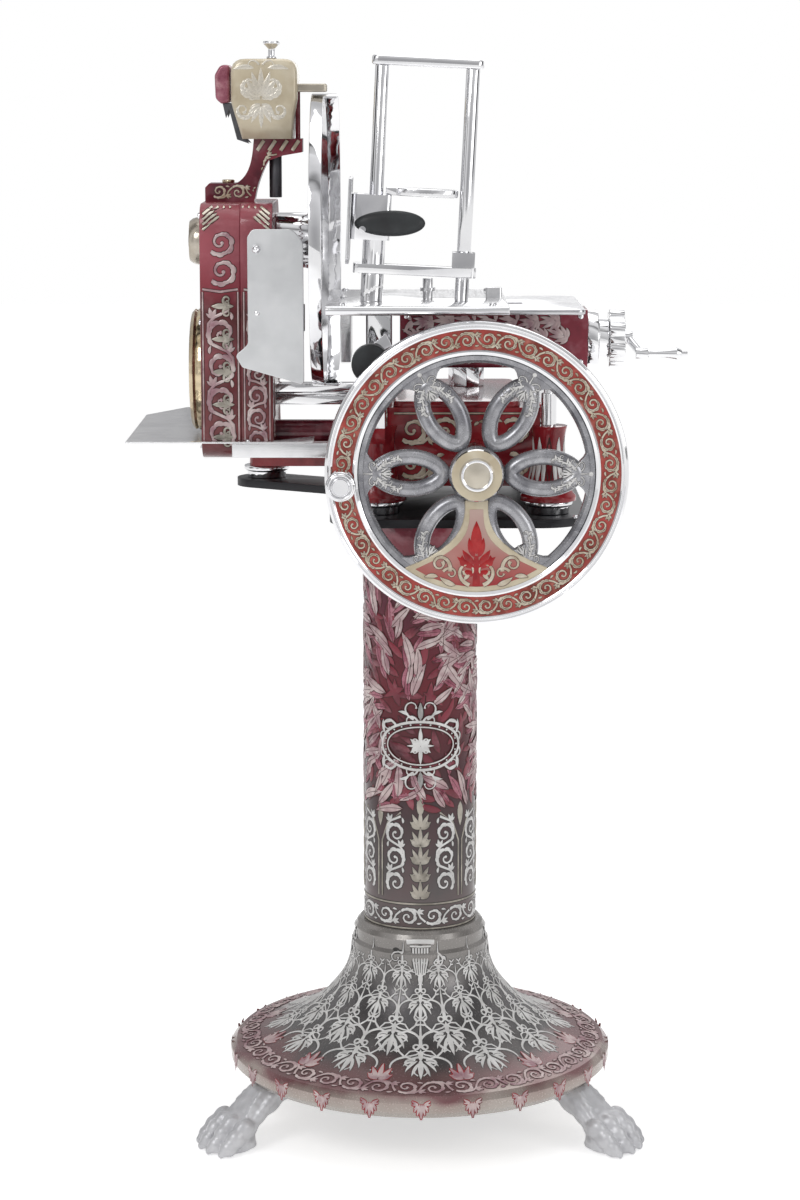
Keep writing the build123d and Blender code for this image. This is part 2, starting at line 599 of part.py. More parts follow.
with BuildPart() as base_casting:
    with BuildSketch(at_z(BOX_BOTTOM)):
        with Locations((BOX_INNER_X, (BOX_FRONT_Y + BOX_REAR_Y) / 2)):
            Rectangle(BOX_RIGHT_X - BOX_LEFT_X, BOX_REAR_Y - BOX_FRONT_Y)
    extrude(amount=BOX_HEIGHT)
    with Locations(*[(x, y, LEG_BOTTOM) for x, y in MACHINE_LEGS]):
        add(machine_leg.part)
    with BuildSketch(at_z(ARM_PLATE_Z)):
        with BuildLine():
            Polyline((BOX_LEFT_X, BLADE_Y - ARM_PLATE_HALF), (BOX_LEFT_X, BOX_REAR_Y),
                     (ARM_PLATE_BACK_X, REAR_FOOT_Y + ARM_PLATE_MARGIN),
                     (REAR_FOOT_X - 28, REAR_FOOT_Y + ARM_PLATE_MARGIN),
                     (REAR_FOOT_X - 28, CASE_REAR_Y + 12), (REAR_FOOT_X - 8, CASE_REAR_Y),
                     (REAR_FOOT_X - 8, BLADE_Y - ARM_PLATE_HALF), close=True)
        make_face()
    extrude(amount=ARM_PLATE_THICKNESS)
    with BuildSketch(at_z(LEG_BOTTOM)):
        with Locations((REAR_FOOT_X, REAR_FOOT_Y)):
            Circle(LEG_TOP_RADIUS)
    extrude(amount=ARM_PLATE_Z - LEG_BOTTOM)
    with BuildSketch(at_z(ARM_PLATE_Z)):
        with Locations((LEG_LEFT_X, LEG_REAR_Y)):
            Circle(LEG_TOP_RADIUS)
    extrude(amount=LEG_TOP - ARM_PLATE_Z)
    with BuildSketch(wheel_plane(BOX_FRONT_Y)):
        Circle(BOSS_RADIUS)
    extrude(amount=BOX_FRONT_Y - BOSS_FRONT_Y)
    with BuildSketch(at_z(LEG_TOP)):
        with Locations((DIAL_X + DIAL_BRACKET_WIDTH / 2, (LEG_FRONT_Y + DIAL_BRACKET_Y) / 2)):
            Rectangle(DIAL_BRACKET_WIDTH, LEG_FRONT_Y - DIAL_BRACKET_Y)
    extrude(amount=-DIAL_LUG_HEIGHT)
    for front, rear in BOX_CHAMBERS:
        with BuildSketch(at_z(BOX_BOTTOM)):
            with Locations((BOX_INNER_X, (front + rear) / 2)):
                Rectangle(BOX_INNER_WIDTH, rear - front)
        extrude(amount=BOX_HEIGHT - CASTING_WALL, mode=Mode.SUBTRACT)
    with BuildSketch(wheel_plane(WEB_REAR_Y)):
        Circle(AXLE_RADIUS + FIT)
    extrude(amount=WEB_REAR_Y - BOSS_FRONT_Y, mode=Mode.SUBTRACT)
    with BuildSketch(shaft_plane(BOX_LEFT_X, CROSS_Z)):
        Circle(CROSS_SHAFT_RADIUS + FIT)
    extrude(amount=BOX_RIGHT_X - BOX_LEFT_X, mode=Mode.SUBTRACT)
    with BuildSketch(at_z(LEG_BOTTOM)):
        with Locations(*MACHINE_FEET):
            Circle(BOLT_RADIUS + FIT)
    extrude(amount=BOLT_GRIP, mode=Mode.SUBTRACT)
PIECES["base_casting"] = base_casting

with BuildPart() as bed_plate:
    with BuildSketch(at_z(BOX_TOP)):
        with Locations(((BED_LEFT_X + BED_RIGHT_X) / 2, (BOX_FRONT_Y + BED_REAR_Y) / 2)):
            RectangleRounded(BED_RIGHT_X - BED_LEFT_X, BED_REAR_Y - BOX_FRONT_Y, 14)
    extrude(amount=BED_THICKNESS)
PIECES["bed_plate"] = bed_plate

# The crossbar ties the box to the case and carries the blade guard in a curved seat.
with BuildPart() as bed_crossbar:
    with BuildSketch(at_x(CASE_RIGHT_X)):
        with Locations((BLADE_Y, CROSSBAR_TOP - CROSSBAR_HEIGHT / 2)):
            Rectangle(CROSSBAR_DEPTH, CROSSBAR_HEIGHT)
        with Locations((BLADE_Y - CROSSBAR_DEPTH / 2, CROSSBAR_TOP - CROSSBAR_HEIGHT / 2)):
            Circle(3, mode=Mode.SUBTRACT)
    extrude(amount=BED_LEFT_X - CASE_RIGHT_X)
    with BuildSketch(at_x(BOX_LEFT_X)):
        with Locations((BLADE_Y, BOX_TOP - CROSSBAR_HEIGHT)):
            Rectangle(CROSSBAR_DEPTH, 2 * CROSSBAR_HEIGHT)
    extrude(amount=BED_LEFT_X - BOX_LEFT_X, mode=Mode.SUBTRACT)
    with BuildSketch(shaft_plane(GUARD_LEFT_X, BLADE_Z)):
        Circle(GUARD_RADIUS)
    extrude(amount=GUARD_RIGHT_X - GUARD_LEFT_X, mode=Mode.SUBTRACT)
PIECES["bed_crossbar"] = bed_crossbar

with BuildPart() as case_support_bar:
    with BuildSketch(at_z(TRAY_Z)):
        with Locations(((SUPPORT_BAR_LEFT_X + BOX_LEFT_X) / 2, CASE_FRONT_Y - SUPPORT_BAR_DEPTH / 2)):
            Rectangle(BOX_LEFT_X - SUPPORT_BAR_LEFT_X, SUPPORT_BAR_DEPTH)
    extrude(amount=-SUPPORT_BAR_HEIGHT)
PIECES["case_support_bar"] = case_support_bar

with BuildPart() as guide_rods:
    with BuildSketch(at_y(ROD_REAR_Y)):
        with Locations((LEG_LEFT_X, ROD_Z), (LEG_RIGHT_X, ROD_Z)):
            Circle(ROD_RADIUS)
    extrude(amount=ROD_REAR_Y - ROD_FRONT_Y)
PIECES["guide_rods"] = guide_rods

with BuildPart() as guide_rod_posts:
    with BuildSketch(at_z(LEG_TOP)):
        with Locations(*ROD_POSTS):
            Circle(POST_RADIUS_BELOW)
    extrude(amount=SLIPPER_BOTTOM - SHEET - LEG_TOP)
    with BuildSketch(at_z(SLIPPER_BOTTOM - SHEET)):
        with Locations(*ROD_POSTS):
            Circle(POST_NECK_RADIUS)
    extrude(amount=ROD_Z - SLIPPER_BOTTOM + SHEET)
    with BuildSketch(at_y(ROD_REAR_Y)):
        with Locations((LEG_LEFT_X, ROD_Z), (LEG_RIGHT_X, ROD_Z)):
            Circle(ROD_RADIUS)
    extrude(amount=ROD_REAR_Y - ROD_FRONT_Y, mode=Mode.SUBTRACT)
PIECES["guide_rod_posts"] = guide_rod_posts

# ---------------------------------------------------------------------------------------------
# Flywheel
# ---------------------------------------------------------------------------------------------
PETAL_BACK_Y = WHEEL_BACK_Y - SHEET
PETAL_THICKNESS = RIM_THICKNESS - 2 * SHEET
PETAL_MIDDLE = (HUB_RADIUS + RIM_INNER) / 2
PETAL_LENGTH = RIM_INNER - HUB_RADIUS + 24
WEIGHT_TOP = RIM_INNER - 26
HANDLE_PLACE = Vector(HANDLE_THROW, 0).rotate(Axis.Z, HANDLE_ANGLE)
with BuildPart() as flywheel:
    with BuildSketch(wheel_plane(WHEEL_BACK_Y)):
        Circle(WHEEL_RADIUS)
        Circle(RIM_INNER, mode=Mode.SUBTRACT)
    extrude(amount=RIM_THICKNESS)
    with BuildSketch(wheel_plane(PETAL_BACK_Y)):
        with PolarLocations(PETAL_MIDDLE, PETALS):
            Ellipse(PETAL_LENGTH / 2, PETAL_WIDTH / 2)
        with PolarLocations(PETAL_MIDDLE - 9, PETALS):
            Ellipse(PETAL_HOLE_LENGTH / 2, PETAL_HOLE_WIDTH / 2, mode=Mode.SUBTRACT)
    extrude(amount=PETAL_THICKNESS)
    with BuildSketch(wheel_plane(PETAL_BACK_Y)):
        with BuildLine():
            Line((-WEIGHT_NECK, -HUB_RADIUS / 2), (-WEIGHT_NECK, -HUB_RADIUS - 10))
            ThreePointArc((-WEIGHT_NECK, -HUB_RADIUS - 10), (-2 * WEIGHT_NECK, -76),
                          (-WEIGHT_REACH, -WEIGHT_TOP))
            ThreePointArc((-WEIGHT_REACH, -WEIGHT_TOP), (0, -RIM_INNER - 3),
                          (WEIGHT_REACH, -WEIGHT_TOP))
            ThreePointArc((WEIGHT_REACH, -WEIGHT_TOP), (2 * WEIGHT_NECK, -76),
                          (WEIGHT_NECK, -HUB_RADIUS - 10))
            Polyline((WEIGHT_NECK, -HUB_RADIUS - 10), (WEIGHT_NECK, -HUB_RADIUS / 2),
                     (-WEIGHT_NECK, -HUB_RADIUS / 2))
        make_face()
    extrude(amount=PETAL_THICKNESS)
    with BuildSketch(wheel_plane(BOSS_FRONT_Y - PASS)):
        Circle(HUB_RADIUS)
    extrude(amount=BOSS_FRONT_Y - PASS - HUB_FRONT_Y)
    with BuildSketch(wheel_plane(WHEEL_FRONT_Y)):
        with Locations(HANDLE_PLACE):
            Circle(HANDLE_LUG_RADIUS)
    extrude(amount=HUB_STEP)
    with BuildSketch(wheel_plane(BOSS_FRONT_Y)):
        Circle(AXLE_RADIUS + FIT)
        with Locations(HANDLE_PLACE):
            Circle(HANDLE_PIN_RADIUS + FIT)
    extrude(amount=BOSS_FRONT_Y - HUB_FRONT_Y, mode=Mode.SUBTRACT)
PIECES["flywheel"] = flywheel

with BuildPart() as flywheel_hub_cap:
    with BuildSketch(wheel_plane(HUB_FRONT_Y)):
        Circle(HUB_RADIUS)
    extrude(amount=HUB_CAP_THICKNESS)
    with BuildSketch(wheel_plane(HUB_FRONT_Y - HUB_CAP_THICKNESS)):
        Circle(1.5 * AXLE_RADIUS)
    extrude(amount=HUB_CAP_THICKNESS)
PIECES["flywheel_hub_cap"] = flywheel_hub_cap

PIECES["flywheel_axle"] = turned(wheel_plane(CROWN_FACE_Y - TOOTH_DEPTH), AXLE_RADIUS,
                                 CROWN_FACE_Y - TOOTH_DEPTH - HUB_FRONT_Y)

# The crown gear has its teeth on its rear face, under the pinion.
CROWN_TOOTH_LENGTH = 12.0
CROWN_PITCH = CROWN_RADIUS - CROWN_TOOTH_LENGTH / 2
with BuildPart() as crown_gear:
    with BuildSketch(wheel_plane(CROWN_FACE_Y - TOOTH_DEPTH)):
        Circle(CROWN_RADIUS)
    extrude(amount=GEAR_WIDTH)
    with BuildSketch(wheel_plane(CROWN_FACE_Y)):
        with PolarLocations(CROWN_PITCH, CROWN_TEETH):
            Rectangle(CROWN_TOOTH_LENGTH, pi * (CROWN_RADIUS - CROWN_TOOTH_LENGTH) / CROWN_TEETH)
        Circle(CROWN_RADIUS, mode=Mode.INTERSECT)
    extrude(amount=TOOTH_DEPTH)
    with BuildSketch(wheel_plane(CROWN_FACE_Y - TOOTH_DEPTH - GEAR_WIDTH)):
        Circle(1.7 * AXLE_RADIUS)
    extrude(amount=CROWN_FACE_Y - TOOTH_DEPTH - GEAR_WIDTH - WEB_REAR_Y - PASS)
    with BuildSketch(wheel_plane(CROWN_FACE_Y)):
        Circle(AXLE_RADIUS + FIT)
    extrude(amount=CROWN_FACE_Y - WEB_REAR_Y, mode=Mode.SUBTRACT)
PIECES["crown_gear"] = crown_gear

HANDLE_BACK_Y = WHEEL_FRONT_Y - HUB_STEP - PASS
HANDLE_FRONT_Y = HANDLE_BACK_Y - HANDLE_LENGTH
HANDLE_X = WHEEL_X + HANDLE_PLACE.X
HANDLE_Z = WHEEL_Z + HANDLE_PLACE.Y
HANDLE_AXIS = Axis((HANDLE_X, 0, HANDLE_Z), (0, -1, 0))
with BuildPart() as handle_pin:
    with BuildSketch(wheel_plane(WHEEL_BACK_Y)):
        with Locations(HANDLE_PLACE):
            Circle(HANDLE_PIN_RADIUS)
    extrude(amount=WHEEL_BACK_Y - HANDLE_FRONT_Y + PASS)
    with BuildSketch(wheel_plane(HANDLE_FRONT_Y - PASS)):
        with Locations(HANDLE_PLACE):
            Circle(1.5 * HANDLE_PIN_RADIUS)
    extrude(amount=HANDLE_PIN_RADIUS / 2)
PIECES["handle_pin"] = handle_pin

# A waisted spool that turns on its pin.
with BuildPart() as flywheel_handle:
    with BuildSketch(at_x(HANDLE_X)):
        with BuildLine():
            Polyline((HANDLE_BACK_Y, HANDLE_Z + HANDLE_PIN_RADIUS + FIT),
                     (HANDLE_BACK_Y, HANDLE_Z + HANDLE_RADIUS - 4))
            Spline((HANDLE_BACK_Y, HANDLE_Z + HANDLE_RADIUS - 4),
                   (HANDLE_BACK_Y - HANDLE_LENGTH / 2, HANDLE_Z + HANDLE_RADIUS - 6),
                   (HANDLE_FRONT_Y + 8, HANDLE_Z + HANDLE_RADIUS))
            Polyline((HANDLE_FRONT_Y + 8, HANDLE_Z + HANDLE_RADIUS),
                     (HANDLE_FRONT_Y + 2, HANDLE_Z + HANDLE_RADIUS),
                     (HANDLE_FRONT_Y, HANDLE_Z + HANDLE_RADIUS - 3),
                     (HANDLE_FRONT_Y, HANDLE_Z + HANDLE_PIN_RADIUS + FIT),
                     (HANDLE_BACK_Y, HANDLE_Z + HANDLE_PIN_RADIUS + FIT))
        make_face()
    revolve(axis=HANDLE_AXIS)
PIECES["flywheel_handle"] = flywheel_handle

# ---------------------------------------------------------------------------------------------
# Gear train
# ---------------------------------------------------------------------------------------------
GEAR_X = CASE_RIGHT_X - 21
SPROCKET_X = GEAR_X - 31
PINION_X = WHEEL_X - 40 - PINION_WIDTH / 2
CROSS_SHAFT_END = BOX_RIGHT_X - CASTING_WALL / 2
PIECES["cross_shaft"] = turned(shaft_plane(GEAR_X, CROSS_Z), CROSS_SHAFT_RADIUS,
                               CROSS_SHAFT_END - GEAR_X)

bevel_pinion = toothed_wheel(shaft_plane(PINION_X, CROSS_Z), PINION_RADIUS, PINION_TEETH,
                             PINION_WIDTH, CROSS_SHAFT_RADIUS + FIT)
case_pinion = toothed_wheel(shaft_plane(GEAR_X, CROSS_Z), CASE_PINION_RADIUS, CASE_PINION_TEETH,
                            GEAR_WIDTH, CROSS_SHAFT_RADIUS + FIT)
with BuildPart() as shaft_pinions:
    add(bevel_pinion.part)
    add(case_pinion.part)
PIECES["shaft_pinions"] = shaft_pinions

PIECES["drive_shaft_housing"] = turned(shaft_plane(CASE_RIGHT_X, CROSS_Z), HOUSING_TUBE_RADIUS,
                                       BOX_LEFT_X - CASE_RIGHT_X, CROSS_SHAFT_RADIUS + FIT)

# The idler gear and the large sprocket turn together on a stub axle cast on the case.
large_sprocket = toothed_wheel(shaft_plane(SPROCKET_X, IDLER_Z), LARGE_SPROCKET_RADIUS,
                               LARGE_SPROCKET_TEETH, SPROCKET_WIDTH, IDLER_AXLE_RADIUS + FIT)
idler_wheel = toothed_wheel(shaft_plane(GEAR_X, IDLER_Z), IDLER_RADIUS, IDLER_TEETH, GEAR_WIDTH,
                            IDLER_AXLE_RADIUS + FIT)
with BuildPart() as idler_gear:
    add(large_sprocket.part)
    add(idler_wheel.part)
    with BuildSketch(shaft_plane(SPROCKET_X, IDLER_Z)):
        Circle(2 * IDLER_AXLE_RADIUS)
        Circle(IDLER_AXLE_RADIUS + FIT, mode=Mode.SUBTRACT)
    extrude(amount=GEAR_X + GEAR_WIDTH - SPROCKET_X)
PIECES["idler_gear"] = idler_gear

small_sprocket = toothed_wheel(shaft_plane(SPROCKET_X, BLADE_Z), SMALL_SPROCKET_RADIUS,
                               SMALL_SPROCKET_TEETH, SPROCKET_WIDTH)
SPINDLE_LEFT_X = CASE_LEFT_X + CASE_WALL / 2
CLAMP_PLATE_X = BLADE_PLANE_X - BLADE_DISH + 4
SPINDLE_RIGHT_X = CLAMP_PLATE_X + 6
with BuildPart() as blade_spindle:
    add(small_sprocket.part)
    with BuildSketch(shaft_plane(SPINDLE_LEFT_X, BLADE_Z)):
        Circle(SPINDLE_RADIUS)
    extrude(amount=SPINDLE_RIGHT_X - SPINDLE_LEFT_X)
PIECES["blade_spindle"] = blade_spindle

CHAIN_PITCH_LINES = [(CHAIN_THICKNESS + PASS, Mode.ADD), (PASS, Mode.SUBTRACT)]
with BuildPart() as drive_chain:
    for stand_off, mode in CHAIN_PITCH_LINES:
        with BuildSketch(shaft_plane(SPROCKET_X, IDLER_Z)):
            Circle(LARGE_SPROCKET_RADIUS + stand_off)
            with Locations((0, BLADE_Z - IDLER_Z)):
                Circle(SMALL_SPROCKET_RADIUS + stand_off)
            make_hull()
        extrude(amount=SPROCKET_WIDTH, mode=mode)
PIECES["drive_chain"] = drive_chain

# ---------------------------------------------------------------------------------------------
# Chain case and blade
# ---------------------------------------------------------------------------------------------
CASE_MIDDLE_Z = (CASE_TOP + CASE_BOTTOM) / 2
CASE_SIZE_Z = CASE_TOP - CASE_BOTTOM
CASE_HALVES = {"chain_case": (CASE_RIGHT_X, CASE_JOINT_X, CASE_RIGHT_X - CASE_WALL),
               "chain_case_cover": (CASE_LEFT_X, CASE_JOINT_X, CASE_LEFT_X + CASE_WALL)}


def case_half(outside, joint, inside):
    """Half of the chain case: a rounded tray from its outside face to the joint."""
    inward = 1 if joint > outside else -1
    with BuildPart() as half:
        with BuildSketch(shaft_plane(outside, CASE_MIDDLE_Z)):
            RectangleRounded(CASE_DEPTH, CASE_SIZE_Z, CASE_CORNER)
        extrude(amount=joint - outside)
        with BuildSketch(shaft_plane(inside, CASE_MIDDLE_Z)):
            RectangleRounded(CASE_DEPTH - 2 * CASE_WALL, CASE_SIZE_Z - 2 * CASE_WALL,
                             CASE_CORNER - CASE_WALL)
        extrude(amount=joint - inside, mode=Mode.SUBTRACT)
        with BuildSketch(shaft_plane(outside + inward * CASE_WALL / 2, BLADE_Z)):
            Circle(SPINDLE_RADIUS + FIT)
        extrude(amount=inward * CASE_WALL / 2, mode=Mode.SUBTRACT)
    return half


right_half = case_half(*CASE_HALVES["chain_case"])
IDLER_AXLE_END = CASE_LEFT_X + CASE_WALL + PASS
with BuildPart() as chain_case:
    add(right_half.part)
    with BuildSketch(shaft_plane(CASE_RIGHT_X, BLADE_Z)):
        Circle(SPINDLE_RADIUS + FIT)
    extrude(amount=-CASE_WALL, mode=Mode.SUBTRACT)
    with BuildSketch(shaft_plane(CASE_RIGHT_X, CROSS_Z)):
        Circle(CROSS_SHAFT_RADIUS + FIT)
    extrude(amount=-CASE_WALL, mode=Mode.SUBTRACT)
    with BuildSketch(shaft_plane(CASE_RIGHT_X - CASE_WALL, IDLER_Z)):
        Circle(IDLER_AXLE_RADIUS)
    extrude(amount=IDLER_AXLE_END - CASE_RIGHT_X + CASE_WALL)
PIECES["chain_case"] = chain_case
PIECES["chain_case_cover"] = case_half(*CASE_HALVES["chain_case_cover"])

with BuildPart() as round_covers:
    for radius, height in ((UPPER_COVER_RADIUS, BLADE_Z), (LOWER_COVER_RADIUS, DECK + LOWER_COVER_RISE)):
        with BuildSketch(shaft_plane(CASE_LEFT_X, height)):
            Circle(radius)
        extrude(amount=-0.5 * COVER_THICKNESS)
        with BuildSketch(shaft_plane(CASE_LEFT_X - 0.5 * COVER_THICKNESS, height)):
            Circle(radius - 4)
        extrude(amount=-0.5 * COVER_THICKNESS, taper=35)
PIECES["round_covers"] = round_covers

PIECES["spindle_housing"] = turned(shaft_plane(CASE_RIGHT_X, BLADE_Z), SPINDLE_HOUSING_RADIUS,
                                   GUARD_LEFT_X - GUARD_GAP - CASE_RIGHT_X, SPINDLE_RADIUS + FIT)

BLADE_BACK_X = BLADE_PLANE_X - BLADE_DISH
BLADE_BORE = SPINDLE_RADIUS + FIT
BLADE_SECTION = [(BLADE_BACK_X, BLADE_BORE), (BLADE_BACK_X + 4, BLADE_BORE),
                 (BLADE_BACK_X + 4, 0.75 * BLADE_RADIUS), (BLADE_PLANE_X, BLADE_RADIUS),
                 (BLADE_PLANE_X - 1.5, BLADE_RADIUS), (BLADE_BACK_X, 0.79 * BLADE_RADIUS)]
with BuildPart() as blade:
    with BuildSketch(at_y(BLADE_Y)):
        with BuildLine():
            Polyline(*[(x, BLADE_Z + r) for x, r in BLADE_SECTION], close=True)
        make_face()
    revolve(axis=Axis((0, BLADE_Y, BLADE_Z), (1, 0, 0)))
PIECES["blade"] = blade

PIECES["blade_clamp_plate"] = turned(shaft_plane(CLAMP_PLATE_X, BLADE_Z), BLADE_RADIUS / 3, 5,
                                     SPINDLE_RADIUS + FIT)

# A thin ring near the operator, and a wider band round the far half of the blade.
with BuildPart() as blade_guard:
    with BuildSketch(shaft_plane(GUARD_LEFT_X, BLADE_Z)):
        Circle(GUARD_RADIUS)
        Circle(GUARD_RADIUS - GUARD_WALL, mode=Mode.SUBTRACT)
    extrude(amount=BLADE_PLANE_X - GUARD_LEFT_X)
    with BuildSketch(shaft_plane(BLADE_PLANE_X, BLADE_Z)):
        Circle(GUARD_RADIUS)
        Circle(GUARD_RADIUS - GUARD_WALL, mode=Mode.SUBTRACT)
        with Locations((-GUARD_RADIUS, 0)):
            Rectangle(2 * GUARD_RADIUS - 60, 2 * GUARD_RADIUS, mode=Mode.SUBTRACT)
    extrude(amount=GUARD_RIGHT_X - BLADE_PLANE_X)
PIECES["blade_guard"] = blade_guard

# ---------------------------------------------------------------------------------------------
# Tray and deflector
# ---------------------------------------------------------------------------------------------
TRAY_FRONT_Y = CASE_FRONT_Y - SUPPORT_BAR_DEPTH
TRAY_CASE_Y = CASE_FRONT_Y - PASS
with BuildPart() as receiving_tray:
    with BuildSketch(at_z(TRAY_Z)):
        with BuildLine():
            Polyline((TRAY_LEFT_X, TRAY_FRONT_Y), (TRAY_RIGHT_X, TRAY_FRONT_Y),
                     (TRAY_RIGHT_X, TRAY_CASE_Y + TRAY_GUSSET),
                     (TRAY_RIGHT_X - TRAY_GUSSET, TRAY_CASE_Y),
                     (CASE_LEFT_X - PASS, TRAY_CASE_Y), (CASE_LEFT_X - PASS, TRAY_REAR_Y),
                     (TRAY_LEFT_X + TRAY_CHAMFER, TRAY_REAR_Y),
                     (TRAY_LEFT_X, TRAY_REAR_Y - TRAY_CHAMFER_DEPTH), close=True)
        make_face()
    extrude(amount=TRAY_THICKNESS)
PIECES["receiving_tray"] = receiving_tray

# The deflector is a sheet on a vertical pin; its knuckles sit above and below the fixed one.
HINGE_Z = DECK + HINGE_RISE
KNUCKLE = HINGE_HEIGHT / 4
DEFLECTOR_BOTTOM = DECK + DEFLECTOR_BOTTOM_RISE
DEFLECTOR_TOP = DECK + DEFLECTOR_TOP_RISE
with BuildPart() as deflector_plate:
    with BuildSketch(at_y(DEFLECTOR_Y + SHEET)):
        with BuildLine():
            Polyline((DEFLECTOR_LEFT_X, DEFLECTOR_TOP), (DEFLECTOR_LEFT_X, DEFLECTOR_BOTTOM + 62),
                     (DEFLECTOR_LEFT_X - 14, DEFLECTOR_BOTTOM + 50),
                     (DEFLECTOR_LEFT_X - 14, DEFLECTOR_BOTTOM + 36),
                     (DEFLECTOR_LEFT_X, DEFLECTOR_BOTTOM + 30), (DEFLECTOR_RIGHT_X, DEFLECTOR_BOTTOM),
                     (DEFLECTOR_RIGHT_X, DEFLECTOR_TOP - 26))
            RadiusArc((DEFLECTOR_RIGHT_X, DEFLECTOR_TOP - 26), (DEFLECTOR_RIGHT_X - 26, DEFLECTOR_TOP),
                      -26)
            Line((DEFLECTOR_RIGHT_X - 26, DEFLECTOR_TOP), (DEFLECTOR_LEFT_X, DEFLECTOR_TOP))
        make_face()
    extrude(amount=SHEET)
    for low in (HINGE_Z, HINGE_Z + HINGE_HEIGHT - KNUCKLE + PASS):
        with BuildSketch(at_z(low)):
            with Locations((HINGE_X, HINGE_Y)):
                Circle(HINGE_RADIUS)
            with Locations((HINGE_X, (DEFLECTOR_Y + SHEET + HINGE_Y) / 2)):
                Rectangle(HINGE_RADIUS, HINGE_Y - DEFLECTOR_Y - SHEET)
        extrude(amount=KNUCKLE - PASS)
    with BuildSketch(at_z(HINGE_Z)):
        with Locations((HINGE_X, HINGE_Y)):
            Circle(HINGE_PIN_RADIUS + FIT)
    extrude(amount=HINGE_HEIGHT, mode=Mode.SUBTRACT)
PIECES["deflector_plate"] = deflector_plate

with BuildPart() as deflector_hinge:
    with BuildSketch(at_z(HINGE_Z + KNUCKLE)):
        with Locations((HINGE_X, HINGE_Y)):
            Circle(HINGE_RADIUS)
        with Locations(((CASE_RIGHT_X - 14 + HINGE_X) / 2, (CASE_FRONT_Y + HINGE_Y) / 2)):
            Rectangle(HINGE_X - CASE_RIGHT_X + 14, CASE_FRONT_Y - HINGE_Y)
    extrude(amount=HINGE_HEIGHT - 2 * KNUCKLE)
    with BuildSketch(at_z(HINGE_Z)):
        with Locations((HINGE_X, HINGE_Y)):
            Circle(HINGE_PIN_RADIUS)
    extrude(amount=HINGE_HEIGHT)
PIECES["deflector_hinge"] = deflector_hinge

# ---------------------------------------------------------------------------------------------
# Sharpener
# ---------------------------------------------------------------------------------------------
ARM_REAR_Y = ARM_FRONT_Y + ARM_WIDTH
ARM_FOOT_TOP = CASE_TOP + ARM_FOOT_HEIGHT
ARM_HEAD_BOTTOM = HOOD_SEAT - ARM_HEAD_HEIGHT
HOOD_ARM_Z = BLADE_Z + GUARD_RADIUS + 2
with BuildPart() as sharpener_arm:
    with BuildSketch(at_y(ARM_REAR_Y)):
        with BuildLine():
            Polyline((ARM_HEAD_LEFT_X, CASE_TOP), (CASE_LEFT_X + 3, CASE_TOP),
                     (CASE_LEFT_X + 3, ARM_FOOT_TOP - 5), (CASE_LEFT_X + 8, ARM_FOOT_TOP),
                     (ARM_HEAD_LEFT_X - 22, ARM_FOOT_TOP))
            Spline((ARM_HEAD_LEFT_X - 22, ARM_FOOT_TOP), (ARM_HEAD_LEFT_X - 12, ARM_FOOT_TOP + 8),
                   (ARM_HEAD_LEFT_X - 4, ARM_FOOT_TOP + 25), (ARM_HEAD_LEFT_X, HOOD_SEAT))
            Polyline((ARM_HEAD_LEFT_X, HOOD_SEAT), (ARM_HEAD_RIGHT_X, HOOD_SEAT),
                     (ARM_HEAD_RIGHT_X, ARM_HEAD_BOTTOM), (PUSH_ROD_X + 10, ARM_HEAD_BOTTOM - 4),
                     (PUSH_ROD_X - 8, ARM_HEAD_BOTTOM - 10))
            Spline((PUSH_ROD_X - 8, ARM_HEAD_BOTTOM - 10), (ARM_HEAD_LEFT_X + 8, ARM_FOOT_TOP + 8),
                   (ARM_HEAD_LEFT_X, CASE_TOP))
        make_face()
    extrude(amount=ARM_WIDTH)
    with BuildSketch(at_z(HOOD_SEAT)):
        with Locations((LIFT_ROD_X, LIFT_ROD_Y)):
            Circle(LIFT_ROD_RADIUS)
    extrude(amount=HOOD_ARM_Z + HOOD_ARM_HEIGHT / 2 - HOOD_SEAT)
    with BuildSketch(at_z(HOOD_SEAT - SHEET)):
        with Locations((PUSH_ROD_X, ARM_FRONT_Y + ARM_WIDTH / 2)):
            Circle(PUSH_ROD_RADIUS + FIT)
    extrude(amount=-(HOOD_SEAT - CASE_TOP), mode=Mode.SUBTRACT)
PIECES["sharpener_arm"] = sharpener_arm

OIL_CAP_X = ARM_HEAD_LEFT_X - 32
with BuildPart() as oil_cap:
    with BuildSketch(at_z(ARM_FOOT_TOP)):
        with Locations((OIL_CAP_X, ARM_FRONT_Y + ARM_WIDTH / 2)):
            RegularPolygon(OIL_CAP_RADIUS, 12)
    extrude(amount=OIL_CAP_HEIGHT)
PIECES["oil_cap"] = oil_cap

# The push rod runs up a bore of the arm to just under the hood.
PUSH_ROD_TOP = HOOD_SEAT - SHEET - PUSH_ROD_TRAVEL - PASS
PIECES["sharpener_push_rod"] = turned(
    Plane(origin=(PUSH_ROD_X, ARM_FRONT_Y + ARM_WIDTH / 2, PUSH_ROD_TOP)), PUSH_ROD_RADIUS,
    -PUSH_ROD_LENGTH - PUSH_ROD_SEAT)

# The hood is a waisted box, open below, with an arm that reaches over the blade guard.
HOOD_REAR_Y = HOOD_FRONT_Y + HOOD_DEPTH
HOOD_STEP_Z = HOOD_SEAT + HOOD_WAIST_RISE


